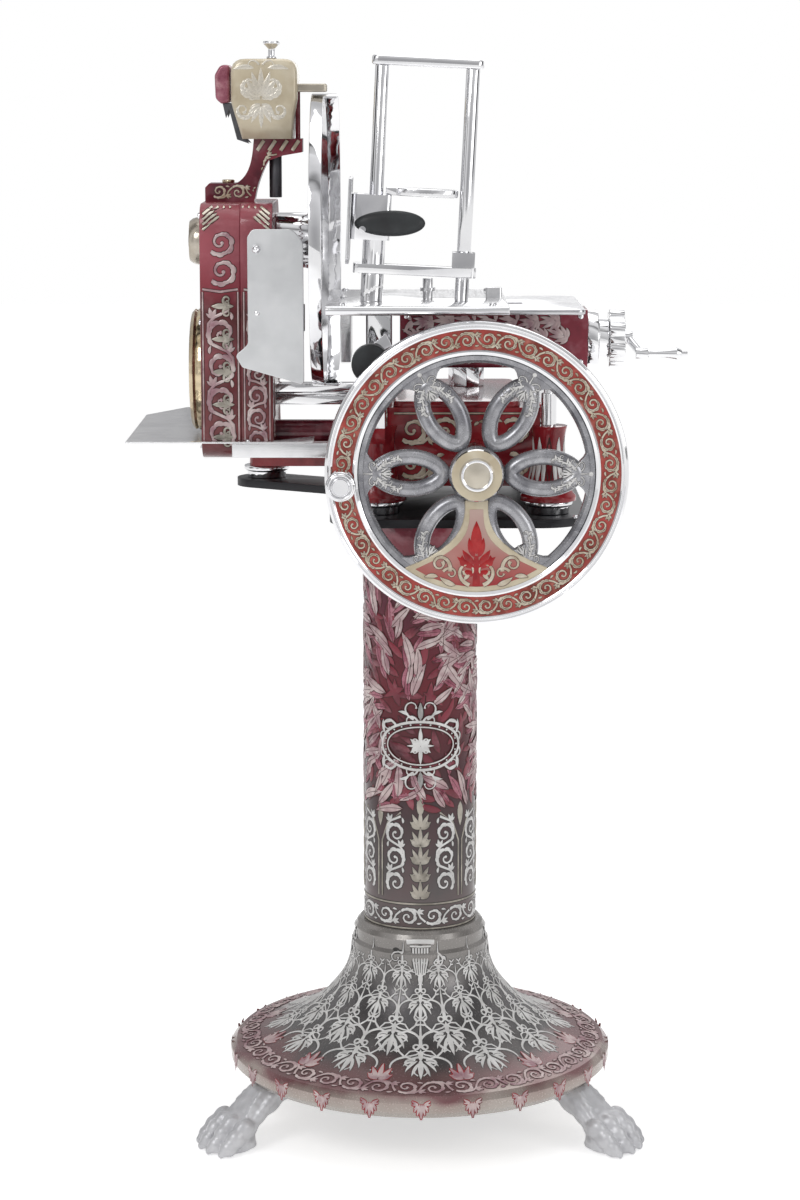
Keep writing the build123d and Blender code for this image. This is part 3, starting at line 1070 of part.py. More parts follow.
def hood_outline(inset, bottom):
    """Points of the hood's front view, drawn in by the inset, down to this bottom."""
    return [(HOOD_WAIST_LEFT_X + inset, bottom), (HOOD_WAIST_LEFT_X + inset, HOOD_STEP_Z + inset),
            (HOOD_LEFT_X + inset, HOOD_STEP_Z + inset + 8), (HOOD_LEFT_X + inset, HOOD_TOP - 20),
            (HOOD_LEFT_X + 16 + inset, HOOD_TOP - inset), (HOOD_RIGHT_X - 8 - inset, HOOD_TOP - inset),
            (HOOD_RIGHT_X - inset, HOOD_TOP - 12), (HOOD_RIGHT_X - inset, HOOD_ARM_Z + inset),
            (HOOD_WAIST_RIGHT_X - inset, HOOD_ARM_Z + inset), (HOOD_WAIST_RIGHT_X - inset, bottom)]


with BuildPart() as sharpener_hood:
    with BuildSketch(at_y(HOOD_REAR_Y)):
        with BuildLine():
            Polyline(*hood_outline(0, HOOD_SEAT), close=True)
        make_face()
    extrude(amount=HOOD_DEPTH)
    with BuildSketch(at_y(HOOD_REAR_Y - HOOD_WALL)):
        with BuildLine():
            Polyline(*hood_outline(HOOD_WALL, HOOD_SEAT), close=True)
        make_face()
    extrude(amount=HOOD_DEPTH - 2 * HOOD_WALL, mode=Mode.SUBTRACT)
    with BuildSketch(at_z(HOOD_ARM_Z)):
        with Locations(((HOOD_WAIST_RIGHT_X + HOOD_ARM_RIGHT_X) / 2, LIFT_ROD_Y)):
            Rectangle(HOOD_ARM_RIGHT_X - HOOD_WAIST_RIGHT_X, HOOD_ARM_DEPTH)
    extrude(amount=HOOD_ARM_HEIGHT)
    with BuildSketch(at_z(HOOD_ARM_Z)):
        with Locations((LIFT_ROD_X, LIFT_ROD_Y)):
            Circle(LIFT_ROD_RADIUS + FIT)
    extrude(amount=HOOD_ARM_HEIGHT / 2, mode=Mode.SUBTRACT)
    with BuildSketch(at_z(HOOD_TOP)):
        with Locations((KNOB_X, LIFT_ROD_Y)):
            Circle(KNOB_STEM_RADIUS + FIT)
    extrude(amount=-HOOD_WALL, mode=Mode.SUBTRACT)
PIECES["sharpener_hood"] = sharpener_hood

with BuildPart() as sharpener_knob:
    with BuildSketch(at_z(HOOD_TOP - KNOB_HEIGHT)):
        with Locations((KNOB_X, LIFT_ROD_Y)):
            Circle(KNOB_STEM_RADIUS)
    extrude(amount=2 * KNOB_HEIGHT - 8)
    with BuildSketch(at_z(HOOD_TOP)):
        with Locations((KNOB_X, LIFT_ROD_Y)):
            Circle(KNOB_STEM_RADIUS + 2)
    extrude(amount=3)
    with BuildSketch(at_z(HOOD_TOP + KNOB_HEIGHT - 9)):
        with Locations((KNOB_X, LIFT_ROD_Y)):
            Circle(KNOB_STEM_RADIUS)
    with BuildSketch(at_z(HOOD_TOP + KNOB_HEIGHT - 3)):
        with Locations((KNOB_X, LIFT_ROD_Y)):
            Circle(KNOB_RADIUS)
    loft()
    with BuildSketch(at_z(HOOD_TOP + KNOB_HEIGHT - 3)):
        with Locations((KNOB_X, LIFT_ROD_Y)):
            Circle(KNOB_RADIUS)
    extrude(amount=3)
PIECES["sharpener_knob"] = sharpener_knob

# Two stones on one spindle between the front and the rear wall of the hood.
STONE_Z = HOOD_SEAT + STONE_RADIUS + 5
STONE_FRONTS = [HOOD_FRONT_Y + HOOD_WALL + 8, HOOD_REAR_Y - HOOD_WALL - 8 - STONE_WIDTH]


def stone_plane(y):
    """Plane across Y at y with its origin on the spindle of the stones."""
    return Plane(origin=(STONE_X, y, STONE_Z), x_dir=(1, 0, 0), z_dir=(0, -1, 0))


with BuildPart() as grinding_stones:
    for front in STONE_FRONTS:
        with BuildSketch(stone_plane(front + STONE_WIDTH)):
            Circle(STONE_RADIUS)
        extrude(amount=STONE_WIDTH)
    with BuildSketch(stone_plane(HOOD_REAR_Y - HOOD_WALL - PASS)):
        Circle(STONE_SPINDLE_RADIUS)
    extrude(amount=HOOD_DEPTH - 2 * HOOD_WALL - 2 * PASS)
PIECES["grinding_stones"] = grinding_stones

# ---------------------------------------------------------------------------------------------
# Carriage
# ---------------------------------------------------------------------------------------------
NUT_BLOCK_BOTTOM = SCREW_Z - SCREW_RADIUS - 7
with BuildPart() as carriage_beam:
    with BuildSketch(screw_plane(BEAM_LEFT_X)):
        with Locations((0, (LOWER_PLATE_Z + BEAM_BOTTOM) / 2 - SCREW_Z)):
            RectangleRounded(BEAM_DEPTH, BEAM_HEIGHT, 4)
        with Locations((0, LOWER_PLATE_Z - 3 - SCREW_Z)):
            Rectangle(BEAM_DEPTH, 6)
    extrude(amount=BEAM_RIGHT_X - BEAM_LEFT_X)
    with BuildSketch(at_z(LOWER_PLATE_Z)):
        with Locations((SLOT_X, SCREW_Y)):
            Rectangle(SLOT_LENGTH, SLOT_WIDTH)
    extrude(amount=NUT_BLOCK_BOTTOM - SLOT_GAP - LOWER_PLATE_Z, mode=Mode.SUBTRACT)
    with BuildSketch(screw_plane(SCREW_LEFT_X - PASS)):
        Circle(SCREW_RADIUS + FIT)
    extrude(amount=BEAM_RIGHT_X - SCREW_LEFT_X + PASS, mode=Mode.SUBTRACT)
    with BuildSketch(at_y(BEAM_REAR_Y)):
        with Locations((LEG_RIGHT_X, ROD_Z)):
            Circle(ROD_RADIUS + 2)
    extrude(amount=BEAM_DEPTH, mode=Mode.SUBTRACT)
PIECES["carriage_beam"] = carriage_beam

# Slippers hang from the table and ride on the guide rods; their slots pass the rod posts.
SLIPPER_X = (LEG_LEFT_X, LEG_RIGHT_X)
with BuildPart() as carriage_slippers:
    with BuildSketch(at_z(SLIPPER_BOTTOM)):
        with Locations(*[(x, BEAM_REAR_Y + SLIPPER_LENGTH / 2) for x in SLIPPER_X]):
            Rectangle(SLIPPER_WIDTH, SLIPPER_LENGTH)
    extrude(amount=LOWER_PLATE_Z - SLIPPER_BOTTOM)
    with BuildSketch(at_z(SLIPPER_BOTTOM)):
        with Locations(*[(x, BEAM_REAR_Y + SLIPPER_LENGTH / 2) for x in SLIPPER_X]):
            Rectangle(SLIPPER_SLOT, SLIPPER_LENGTH)
    extrude(amount=SLIPPER_DROP, mode=Mode.SUBTRACT)
    with BuildSketch(at_y(BEAM_REAR_Y + SLIPPER_LENGTH)):
        with Locations(*[(x, ROD_Z) for x in SLIPPER_X]):
            Circle(ROD_RADIUS + FIT)
    extrude(amount=SLIPPER_LENGTH, mode=Mode.SUBTRACT)
PIECES["carriage_slippers"] = carriage_slippers

with BuildPart() as lower_table_plate:
    with BuildSketch(at_z(LOWER_PLATE_Z)):
        with Locations(((LOWER_PLATE_LEFT_X + LOWER_PLATE_RIGHT_X) / 2,
                        (LOWER_PLATE_FRONT_Y + LOWER_PLATE_REAR_Y) / 2)):
            RectangleRounded(LOWER_PLATE_RIGHT_X - LOWER_PLATE_LEFT_X,
                             LOWER_PLATE_REAR_Y - LOWER_PLATE_FRONT_Y, 10)
        with Locations((SLOT_X, SCREW_Y)):
            Rectangle(SLOT_LENGTH, SLOT_WIDTH, mode=Mode.SUBTRACT)
    extrude(amount=LOWER_PLATE_THICKNESS)
    with BuildSketch(at_z(LOWER_PLATE_Z)):
        with Locations((LOWER_PLATE_LEFT_X + 3 + SIDE_PLATE_THICKNESS / 2, SCREW_Y + 27)):
            Rectangle(SIDE_PLATE_THICKNESS, 2 * SLIPPER_LENGTH)
    extrude(amount=-SIDE_PLATE_HEIGHT)
PIECES["lower_table_plate"] = lower_table_plate

with BuildPart() as screw_bearing:
    with BuildSketch(screw_plane(BEAM_RIGHT_X)):
        Circle(BEARING_RADIUS)
    extrude(amount=BEARING_WIDTH)
    with BuildSketch(screw_plane(BEAM_RIGHT_X + BEARING_WIDTH)):
        Circle(DRUM_RADIUS)
    extrude(amount=DRUM_WIDTH)
    with BuildSketch(screw_plane(BEAM_RIGHT_X)):
        Circle(SCREW_RADIUS + FIT)
    extrude(amount=BEARING_WIDTH + DRUM_WIDTH, mode=Mode.SUBTRACT)
PIECES["screw_bearing"] = screw_bearing

PIECES["feed_screw"] = turned(screw_plane(SCREW_LEFT_X), SCREW_RADIUS, CRANK_X - SCREW_LEFT_X)

with BuildPart() as feed_handwheel:
    with BuildSketch(screw_plane(HANDWHEEL_X)):
        Circle(STAR_RADIUS - 5)
        with PolarLocations(STAR_RADIUS - 9, STAR_LOBES):
            Circle(9)
        Circle(SCREW_RADIUS + FIT, mode=Mode.SUBTRACT)
    extrude(amount=STAR_WIDTH)
PIECES["feed_handwheel"] = feed_handwheel

CRANK_START = Vector(CRANK_X + CRANK_HUB_LENGTH / 2, SCREW_Y, SCREW_Z)
CRANK_RUN = Vector(CRANK_OUT, -CRANK_FORWARD, -CRANK_DROP)
CRANK_END = CRANK_START + CRANK_RUN
with BuildPart() as feed_crank_arm:
    with BuildSketch(screw_plane(CRANK_X)):
        Circle(CRANK_HUB_RADIUS)
    extrude(amount=CRANK_HUB_LENGTH)
    with BuildSketch(Plane(origin=CRANK_START, z_dir=CRANK_RUN)):
        Circle(CRANK_ROD_RADIUS)
    extrude(amount=CRANK_RUN.length)
    with BuildSketch(at_x(CRANK_END.X - CRANK_BOSS_RADIUS)):
        with Locations((CRANK_END.Y, CRANK_END.Z)):
            Circle(CRANK_BOSS_RADIUS)
    extrude(amount=2 * CRANK_BOSS_RADIUS)
    with BuildSketch(at_x(CRANK_END.X)):
        with Locations((CRANK_END.Y, CRANK_END.Z)):
            Circle(GRIP_PIN_RADIUS)
    extrude(amount=GRIP_LENGTH + 2 * CRANK_BOSS_RADIUS)
PIECES["feed_crank_arm"] = feed_crank_arm

GRIP_START_X = CRANK_END.X + CRANK_BOSS_RADIUS + PASS
with BuildPart() as feed_grip:
    with BuildSketch(at_y(CRANK_END.Y)):
        with BuildLine():
            Polyline((GRIP_START_X, CRANK_END.Z + GRIP_PIN_RADIUS + FIT),
                     (GRIP_START_X, CRANK_END.Z + GRIP_RADIUS - 3))
            Spline((GRIP_START_X, CRANK_END.Z + GRIP_RADIUS - 3),
                   (GRIP_START_X + GRIP_LENGTH / 2, CRANK_END.Z + GRIP_RADIUS - 2.5),
                   (GRIP_START_X + GRIP_LENGTH - 6, CRANK_END.Z + GRIP_RADIUS))
            Polyline((GRIP_START_X + GRIP_LENGTH - 6, CRANK_END.Z + GRIP_RADIUS),
                     (GRIP_START_X + GRIP_LENGTH, CRANK_END.Z + GRIP_RADIUS - 3),
                     (GRIP_START_X + GRIP_LENGTH, CRANK_END.Z + GRIP_PIN_RADIUS + FIT),
                     (GRIP_START_X, CRANK_END.Z + GRIP_PIN_RADIUS + FIT))
        make_face()
    revolve(axis=Axis((0, CRANK_END.Y, CRANK_END.Z), (1, 0, 0)))
PIECES["feed_grip"] = feed_grip

# ---------------------------------------------------------------------------------------------
# Meat table and clamp
# ---------------------------------------------------------------------------------------------
TABLE_STUD_X = 8.0
TABLE_STUD_Y = -63.0
TABLE_LUG_X = 86.0
with BuildPart() as upper_table_plate:
    with BuildSketch(at_z(UPPER_PLATE_Z)):
        with Locations(((UPPER_PLATE_LEFT_X + UPPER_PLATE_RIGHT_X) / 2,
                        (UPPER_PLATE_FRONT_Y + UPPER_PLATE_REAR_Y) / 2)):
            Rectangle(UPPER_PLATE_RIGHT_X - UPPER_PLATE_LEFT_X,
                      UPPER_PLATE_REAR_Y - UPPER_PLATE_FRONT_Y)
    extrude(amount=UPPER_PLATE_THICKNESS)
    with BuildSketch(at_z(TABLE_Z)):
        with Locations((TABLE_STUD_X, TABLE_STUD_Y)):
            Circle(6)
    extrude(amount=24)
    with BuildSketch(at_z(TABLE_Z + 9)):
        with Locations((TABLE_STUD_X, TABLE_STUD_Y)):
            Circle(9)
    extrude(amount=4)
    with BuildSketch(at_z(TABLE_Z)):
        with Locations((TABLE_LUG_X, TABLE_STUD_Y)):
            RectangleRounded(19, 12, 3)
    extrude(amount=13)
PIECES["upper_table_plate"] = upper_table_plate

with BuildPart() as front_rail:
    with BuildSketch(at_x(UPPER_PLATE_LEFT_X)):
        with Locations((UPPER_PLATE_FRONT_Y - RAIL_RADIUS / 2, UPPER_PLATE_Z + 2)):
            Circle(RAIL_RADIUS)
        with Locations((UPPER_PLATE_FRONT_Y + RAIL_RADIUS, UPPER_PLATE_Z + 2)):
            Rectangle(2 * RAIL_RADIUS, 2 * RAIL_RADIUS, mode=Mode.SUBTRACT)
    extrude(amount=UPPER_PLATE_RIGHT_X - UPPER_PLATE_LEFT_X)
PIECES["front_rail"] = front_rail

with BuildPart() as table_nut:
    with BuildSketch(at_z(UPPER_PLATE_Z)):
        with Locations((NUT_BLOCK_LENGTH / 2, SCREW_Y)):
            Rectangle(NUT_BLOCK_LENGTH, NUT_BLOCK_WIDTH)
    extrude(amount=NUT_BLOCK_BOTTOM - UPPER_PLATE_Z)
    with BuildSketch(screw_plane(0)):
        Circle(SCREW_RADIUS + FIT)
    extrude(amount=NUT_BLOCK_LENGTH, mode=Mode.SUBTRACT)
PIECES["table_nut"] = table_nut

POST_U = (0.0, POST_SPACING)
with BuildPart() as clamp_posts:
    with BuildSketch(lean_plane(-SHEET)):
        with Locations(*[(u, 0) for u in POST_U]):
            Circle(POST_RADIUS)
    extrude(amount=POST_LENGTH + SHEET)
    with BuildSketch(lean_plane(-SHEET)):
        Circle(BUFFER_RADIUS)
    extrude(amount=BUFFER_HEIGHT + SHEET)
    split(bisect_by=at_z(TABLE_Z), keep=Keep.TOP)
PIECES["clamp_posts"] = clamp_posts

with BuildPart() as post_top_bar:
    with BuildSketch(lean_plane(POST_LENGTH)):
        with Locations((POST_SPACING / 2, 0)):
            RectangleRounded(POST_SPACING + 2 * CLAMP_WALL + 4, TOP_BAR_DEPTH, TOP_BAR_DEPTH / 2.1)
    extrude(amount=TOP_BAR_HEIGHT)
PIECES["post_top_bar"] = post_top_bar

CARRIER_U = (-POST_RADIUS - CLAMP_WALL - 10, POST_RADIUS + CLAMP_WALL)
CARRIER_LOW = BUFFER_HEIGHT + BRIDGE_THICKNESS + CARRIER_BOTTOM
END_BLOCK_HEIGHT = 18.0
LEVER_U = CARRIER_U[0] + 14
LEVER_H = CARRIER_LOW + 12
LEVER_FRONT_Y = POST_Y - CARRIER_DEPTH / 2 - PASS
LEVER_ORIGIN = lean_plane(LEVER_H).from_local_coords(Vector(LEVER_U, 0, 0))


def lever_plane(y):
    """Plane across Y at y with its origin on the lever's pin, x along the clamp's bridge."""
    lean = lean_plane(0)
    return Plane(origin=(LEVER_ORIGIN.X, y, LEVER_ORIGIN.Z), x_dir=lean.x_dir, z_dir=(0, -1, 0))


with BuildPart() as clamp_bridge:
    with BuildSketch(lean_plane(BUFFER_HEIGHT)):
        with Locations((POST_SPACING / 2 - 4, 0)):
            RectangleRounded(POST_SPACING + 2 * (POST_RADIUS + CLAMP_WALL) + 2, BRIDGE_DEPTH, 6)
    extrude(amount=BRIDGE_THICKNESS)
    with BuildSketch(lean_plane(BUFFER_HEIGHT + BRIDGE_THICKNESS)):
        Circle(POST_RADIUS + 5)
        with Locations((POST_SPACING, 0)):
            Rectangle(26, BRIDGE_DEPTH)
    extrude(amount=END_BLOCK_HEIGHT)
    with BuildSketch(lean_plane(BUFFER_HEIGHT + BRIDGE_THICKNESS + END_BLOCK_HEIGHT)):
        Circle(POST_RADIUS + 5)
    extrude(amount=CARRIER_BOTTOM - END_BLOCK_HEIGHT)
    with BuildSketch(lean_plane(CARRIER_LOW)):
        with Locations(((CARRIER_U[0] + CARRIER_U[1]) / 2, 0)):
            RectangleRounded(CARRIER_U[1] - CARRIER_U[0], CARRIER_DEPTH, 6)
    extrude(amount=CARRIER_HEIGHT)
    with BuildSketch(lean_plane(BUFFER_HEIGHT)):
        with Locations(*[(u, 0) for u in POST_U]):
            Circle(POST_RADIUS + FIT)
    extrude(amount=CARRIER_LOW + CARRIER_HEIGHT, mode=Mode.SUBTRACT)
    with BuildSketch(lever_plane(LEVER_FRONT_Y + PASS)):
        Circle(LEVER_PIN_RADIUS)
    extrude(amount=LEVER_THICKNESS + PASS)
PIECES["clamp_bridge"] = clamp_bridge

# The holding plate hangs on the carrier; a row of teeth along its lower edge bites the meat.
TOOTHED_BOTTOM = BUFFER_HEIGHT + BRIDGE_THICKNESS + TOOTH_LENGTH
TOOTHED_CORNER = lean_plane(TOOTHED_BOTTOM).from_local_coords(
    Vector(CARRIER_U[0] - TOOTHED_SHEET, 0, 0))
TOOTH_WIDTH = TOOTHED_DEPTH / TOOTH_COUNT
with BuildPart() as toothed_plate:
    with BuildSketch(Plane(origin=TOOTHED_CORNER, x_dir=(0, 1, 0), z_dir=lean_plane(0).x_dir)):
        with Locations((0, TOOTHED_HEIGHT / 2)):
            Rectangle(TOOTHED_DEPTH, TOOTHED_HEIGHT)
        with GridLocations(TOOTH_WIDTH, 0, TOOTH_COUNT, 1):
            Polygon((-TOOTH_WIDTH / 2, 0), (0, -TOOTH_LENGTH), (TOOTH_WIDTH / 2, 0), align=None)
    extrude(amount=TOOTHED_SHEET)
PIECES["toothed_plate"] = toothed_plate

CARRIER_TOP = CARRIER_LOW + CARRIER_HEIGHT
PRESS_LEFT_U = POST_RADIUS + 3
with BuildPart() as press_handle:
    with BuildSketch(lean_plane(CARRIER_TOP)):
        with Locations((PRESS_LEFT_U + 8 + PRESS_LENGTH / 2, 0)):
            Ellipse(PRESS_LENGTH / 2, PRESS_WIDTH / 2)
        with Locations((PRESS_LEFT_U + 8, 0)):
            Rectangle(16, PRESS_WIDTH / 2)
    extrude(amount=PRESS_THICKNESS)
PIECES["press_handle"] = press_handle

# A crescent lever on a pin in front of the carrier.
with BuildPart() as clamp_lever:
    with BuildSketch(lever_plane(LEVER_FRONT_Y)):
        with BuildLine():
            ThreePointArc((-9, -6), (LEVER_LENGTH / 2 - 12, 24), (LEVER_LENGTH - 9, -4))
            ThreePointArc((LEVER_LENGTH - 9, -4), (LEVER_LENGTH / 2 - 12, -1), (-9, -6))
        make_face()
        Circle(LEVER_PIN_RADIUS + 5)
        Circle(LEVER_PIN_RADIUS + FIT, mode=Mode.SUBTRACT)
    extrude(amount=LEVER_THICKNESS)
PIECES["clamp_lever"] = clamp_lever

# ---------------------------------------------------------------------------------------------
# Thickness dial
# ---------------------------------------------------------------------------------------------
DIAL_Z = DECK + DIAL_RISE
with BuildPart() as thickness_dial_bracket:
    with BuildSketch(at_y(ROD_FRONT_Y)):
        with BuildLine():
            Polyline((DIAL_X, LEG_TOP), (DIAL_X + DIAL_BRACKET_WIDTH, LEG_TOP),
                     (DIAL_X + DIAL_BRACKET_WIDTH, ROD_Z), (DIAL_X + 30, DIAL_Z + 8),
                     (DIAL_X + 17, DIAL_Z + 34), (DIAL_X + 3, DIAL_Z + 22), (DIAL_X - 12, DIAL_Z + 8),
                     (DIAL_X - 12, DIAL_Z - 12), (DIAL_X, DIAL_Z - 18), close=True)
        make_face()
        with Locations((DIAL_X, DIAL_Z)):
            Circle(DIAL_SPINDLE_RADIUS + FIT, mode=Mode.SUBTRACT)
    extrude(amount=DIAL_BRACKET_THICKNESS)
PIECES["thickness_dial_bracket"] = thickness_dial_bracket

with BuildPart() as thickness_dial:
    with BuildSketch(at_y(DIAL_BRACKET_Y - PASS)):
        with Locations((DIAL_X, DIAL_Z)):
            Circle(DIAL_RADIUS)
    extrude(amount=DIAL_WIDTH)
    with BuildSketch(at_y(DIAL_BRACKET_Y - PASS)):
        with Locations((DIAL_X, DIAL_Z)):
            Circle(DIAL_SPINDLE_RADIUS)
    extrude(amount=-DIAL_BRACKET_THICKNESS)
PIECES["thickness_dial"] = thickness_dial

# ---------------------------------------------------------------------------------------------
# Files
# ---------------------------------------------------------------------------------------------
os.makedirs("parts", exist_ok=True)
for name, piece in PIECES.items():
    piece.part.label = name
    export_step(piece.part, f"parts/{name}.step")
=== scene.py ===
"""Looks of the hand crank meat slicer: finishes, carved ornament and turned detail.

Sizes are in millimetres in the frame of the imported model, and become metres when a piece is made.
"""

import json
import logging
from dataclasses import dataclass
from enum import Enum
from math import atan2, cos, hypot, pi, radians, sin, sqrt, tan
from typing import Callable, Sequence

import bmesh
import bpy
from mathutils import Matrix, Vector
from mathutils.bvhtree import BVHTree
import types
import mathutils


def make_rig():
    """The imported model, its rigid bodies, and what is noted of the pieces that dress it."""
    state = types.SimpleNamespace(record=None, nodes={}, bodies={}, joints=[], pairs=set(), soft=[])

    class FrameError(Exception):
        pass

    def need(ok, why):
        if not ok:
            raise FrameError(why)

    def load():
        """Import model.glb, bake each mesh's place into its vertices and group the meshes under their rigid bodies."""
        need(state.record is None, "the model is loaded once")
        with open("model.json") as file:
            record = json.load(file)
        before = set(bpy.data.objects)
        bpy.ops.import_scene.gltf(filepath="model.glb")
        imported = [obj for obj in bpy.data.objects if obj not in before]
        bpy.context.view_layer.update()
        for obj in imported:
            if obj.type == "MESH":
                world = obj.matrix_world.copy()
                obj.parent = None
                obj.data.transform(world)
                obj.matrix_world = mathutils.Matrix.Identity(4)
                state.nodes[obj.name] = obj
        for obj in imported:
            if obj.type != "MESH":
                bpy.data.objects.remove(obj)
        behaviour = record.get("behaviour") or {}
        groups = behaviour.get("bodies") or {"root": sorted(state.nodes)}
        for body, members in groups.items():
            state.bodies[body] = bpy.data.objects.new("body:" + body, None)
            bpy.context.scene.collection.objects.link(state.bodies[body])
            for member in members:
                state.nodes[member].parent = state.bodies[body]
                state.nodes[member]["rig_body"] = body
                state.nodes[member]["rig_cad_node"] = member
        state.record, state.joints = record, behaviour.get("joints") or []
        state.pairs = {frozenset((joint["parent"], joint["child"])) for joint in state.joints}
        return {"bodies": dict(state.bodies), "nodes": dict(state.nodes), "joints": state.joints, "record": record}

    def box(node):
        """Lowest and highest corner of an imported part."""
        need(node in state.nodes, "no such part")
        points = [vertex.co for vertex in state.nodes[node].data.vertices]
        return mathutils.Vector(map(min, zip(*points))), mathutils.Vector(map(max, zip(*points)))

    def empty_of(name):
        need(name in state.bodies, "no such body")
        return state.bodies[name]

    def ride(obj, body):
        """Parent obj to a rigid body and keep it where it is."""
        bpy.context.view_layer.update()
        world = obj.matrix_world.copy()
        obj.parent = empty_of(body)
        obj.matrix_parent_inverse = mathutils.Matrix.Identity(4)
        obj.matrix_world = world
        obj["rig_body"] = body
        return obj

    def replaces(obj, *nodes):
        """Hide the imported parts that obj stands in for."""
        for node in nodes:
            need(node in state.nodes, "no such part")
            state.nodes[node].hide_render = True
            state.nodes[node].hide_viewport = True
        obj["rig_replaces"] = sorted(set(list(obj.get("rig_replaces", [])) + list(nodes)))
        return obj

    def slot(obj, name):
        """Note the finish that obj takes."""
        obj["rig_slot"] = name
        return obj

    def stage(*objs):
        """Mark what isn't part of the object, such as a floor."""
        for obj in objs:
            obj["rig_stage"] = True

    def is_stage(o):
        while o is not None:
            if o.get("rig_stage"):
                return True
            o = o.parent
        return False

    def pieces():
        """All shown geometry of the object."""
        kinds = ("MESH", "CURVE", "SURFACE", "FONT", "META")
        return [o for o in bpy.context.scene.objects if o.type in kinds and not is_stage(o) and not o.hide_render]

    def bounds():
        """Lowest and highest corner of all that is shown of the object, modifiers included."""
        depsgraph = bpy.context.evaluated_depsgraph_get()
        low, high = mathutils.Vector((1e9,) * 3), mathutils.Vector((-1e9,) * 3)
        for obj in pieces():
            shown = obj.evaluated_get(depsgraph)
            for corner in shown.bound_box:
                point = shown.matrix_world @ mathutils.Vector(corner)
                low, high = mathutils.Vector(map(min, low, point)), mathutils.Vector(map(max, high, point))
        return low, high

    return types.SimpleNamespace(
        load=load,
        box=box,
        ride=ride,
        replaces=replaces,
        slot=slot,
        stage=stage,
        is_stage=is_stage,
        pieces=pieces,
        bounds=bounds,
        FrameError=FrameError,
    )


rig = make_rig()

log = logging.getLogger("slicer")
MM = 0.001
Point = tuple[float, float]
Colour = tuple[float, float, float]
Placer = Callable[[float, float], tuple[Vector, Vector]]


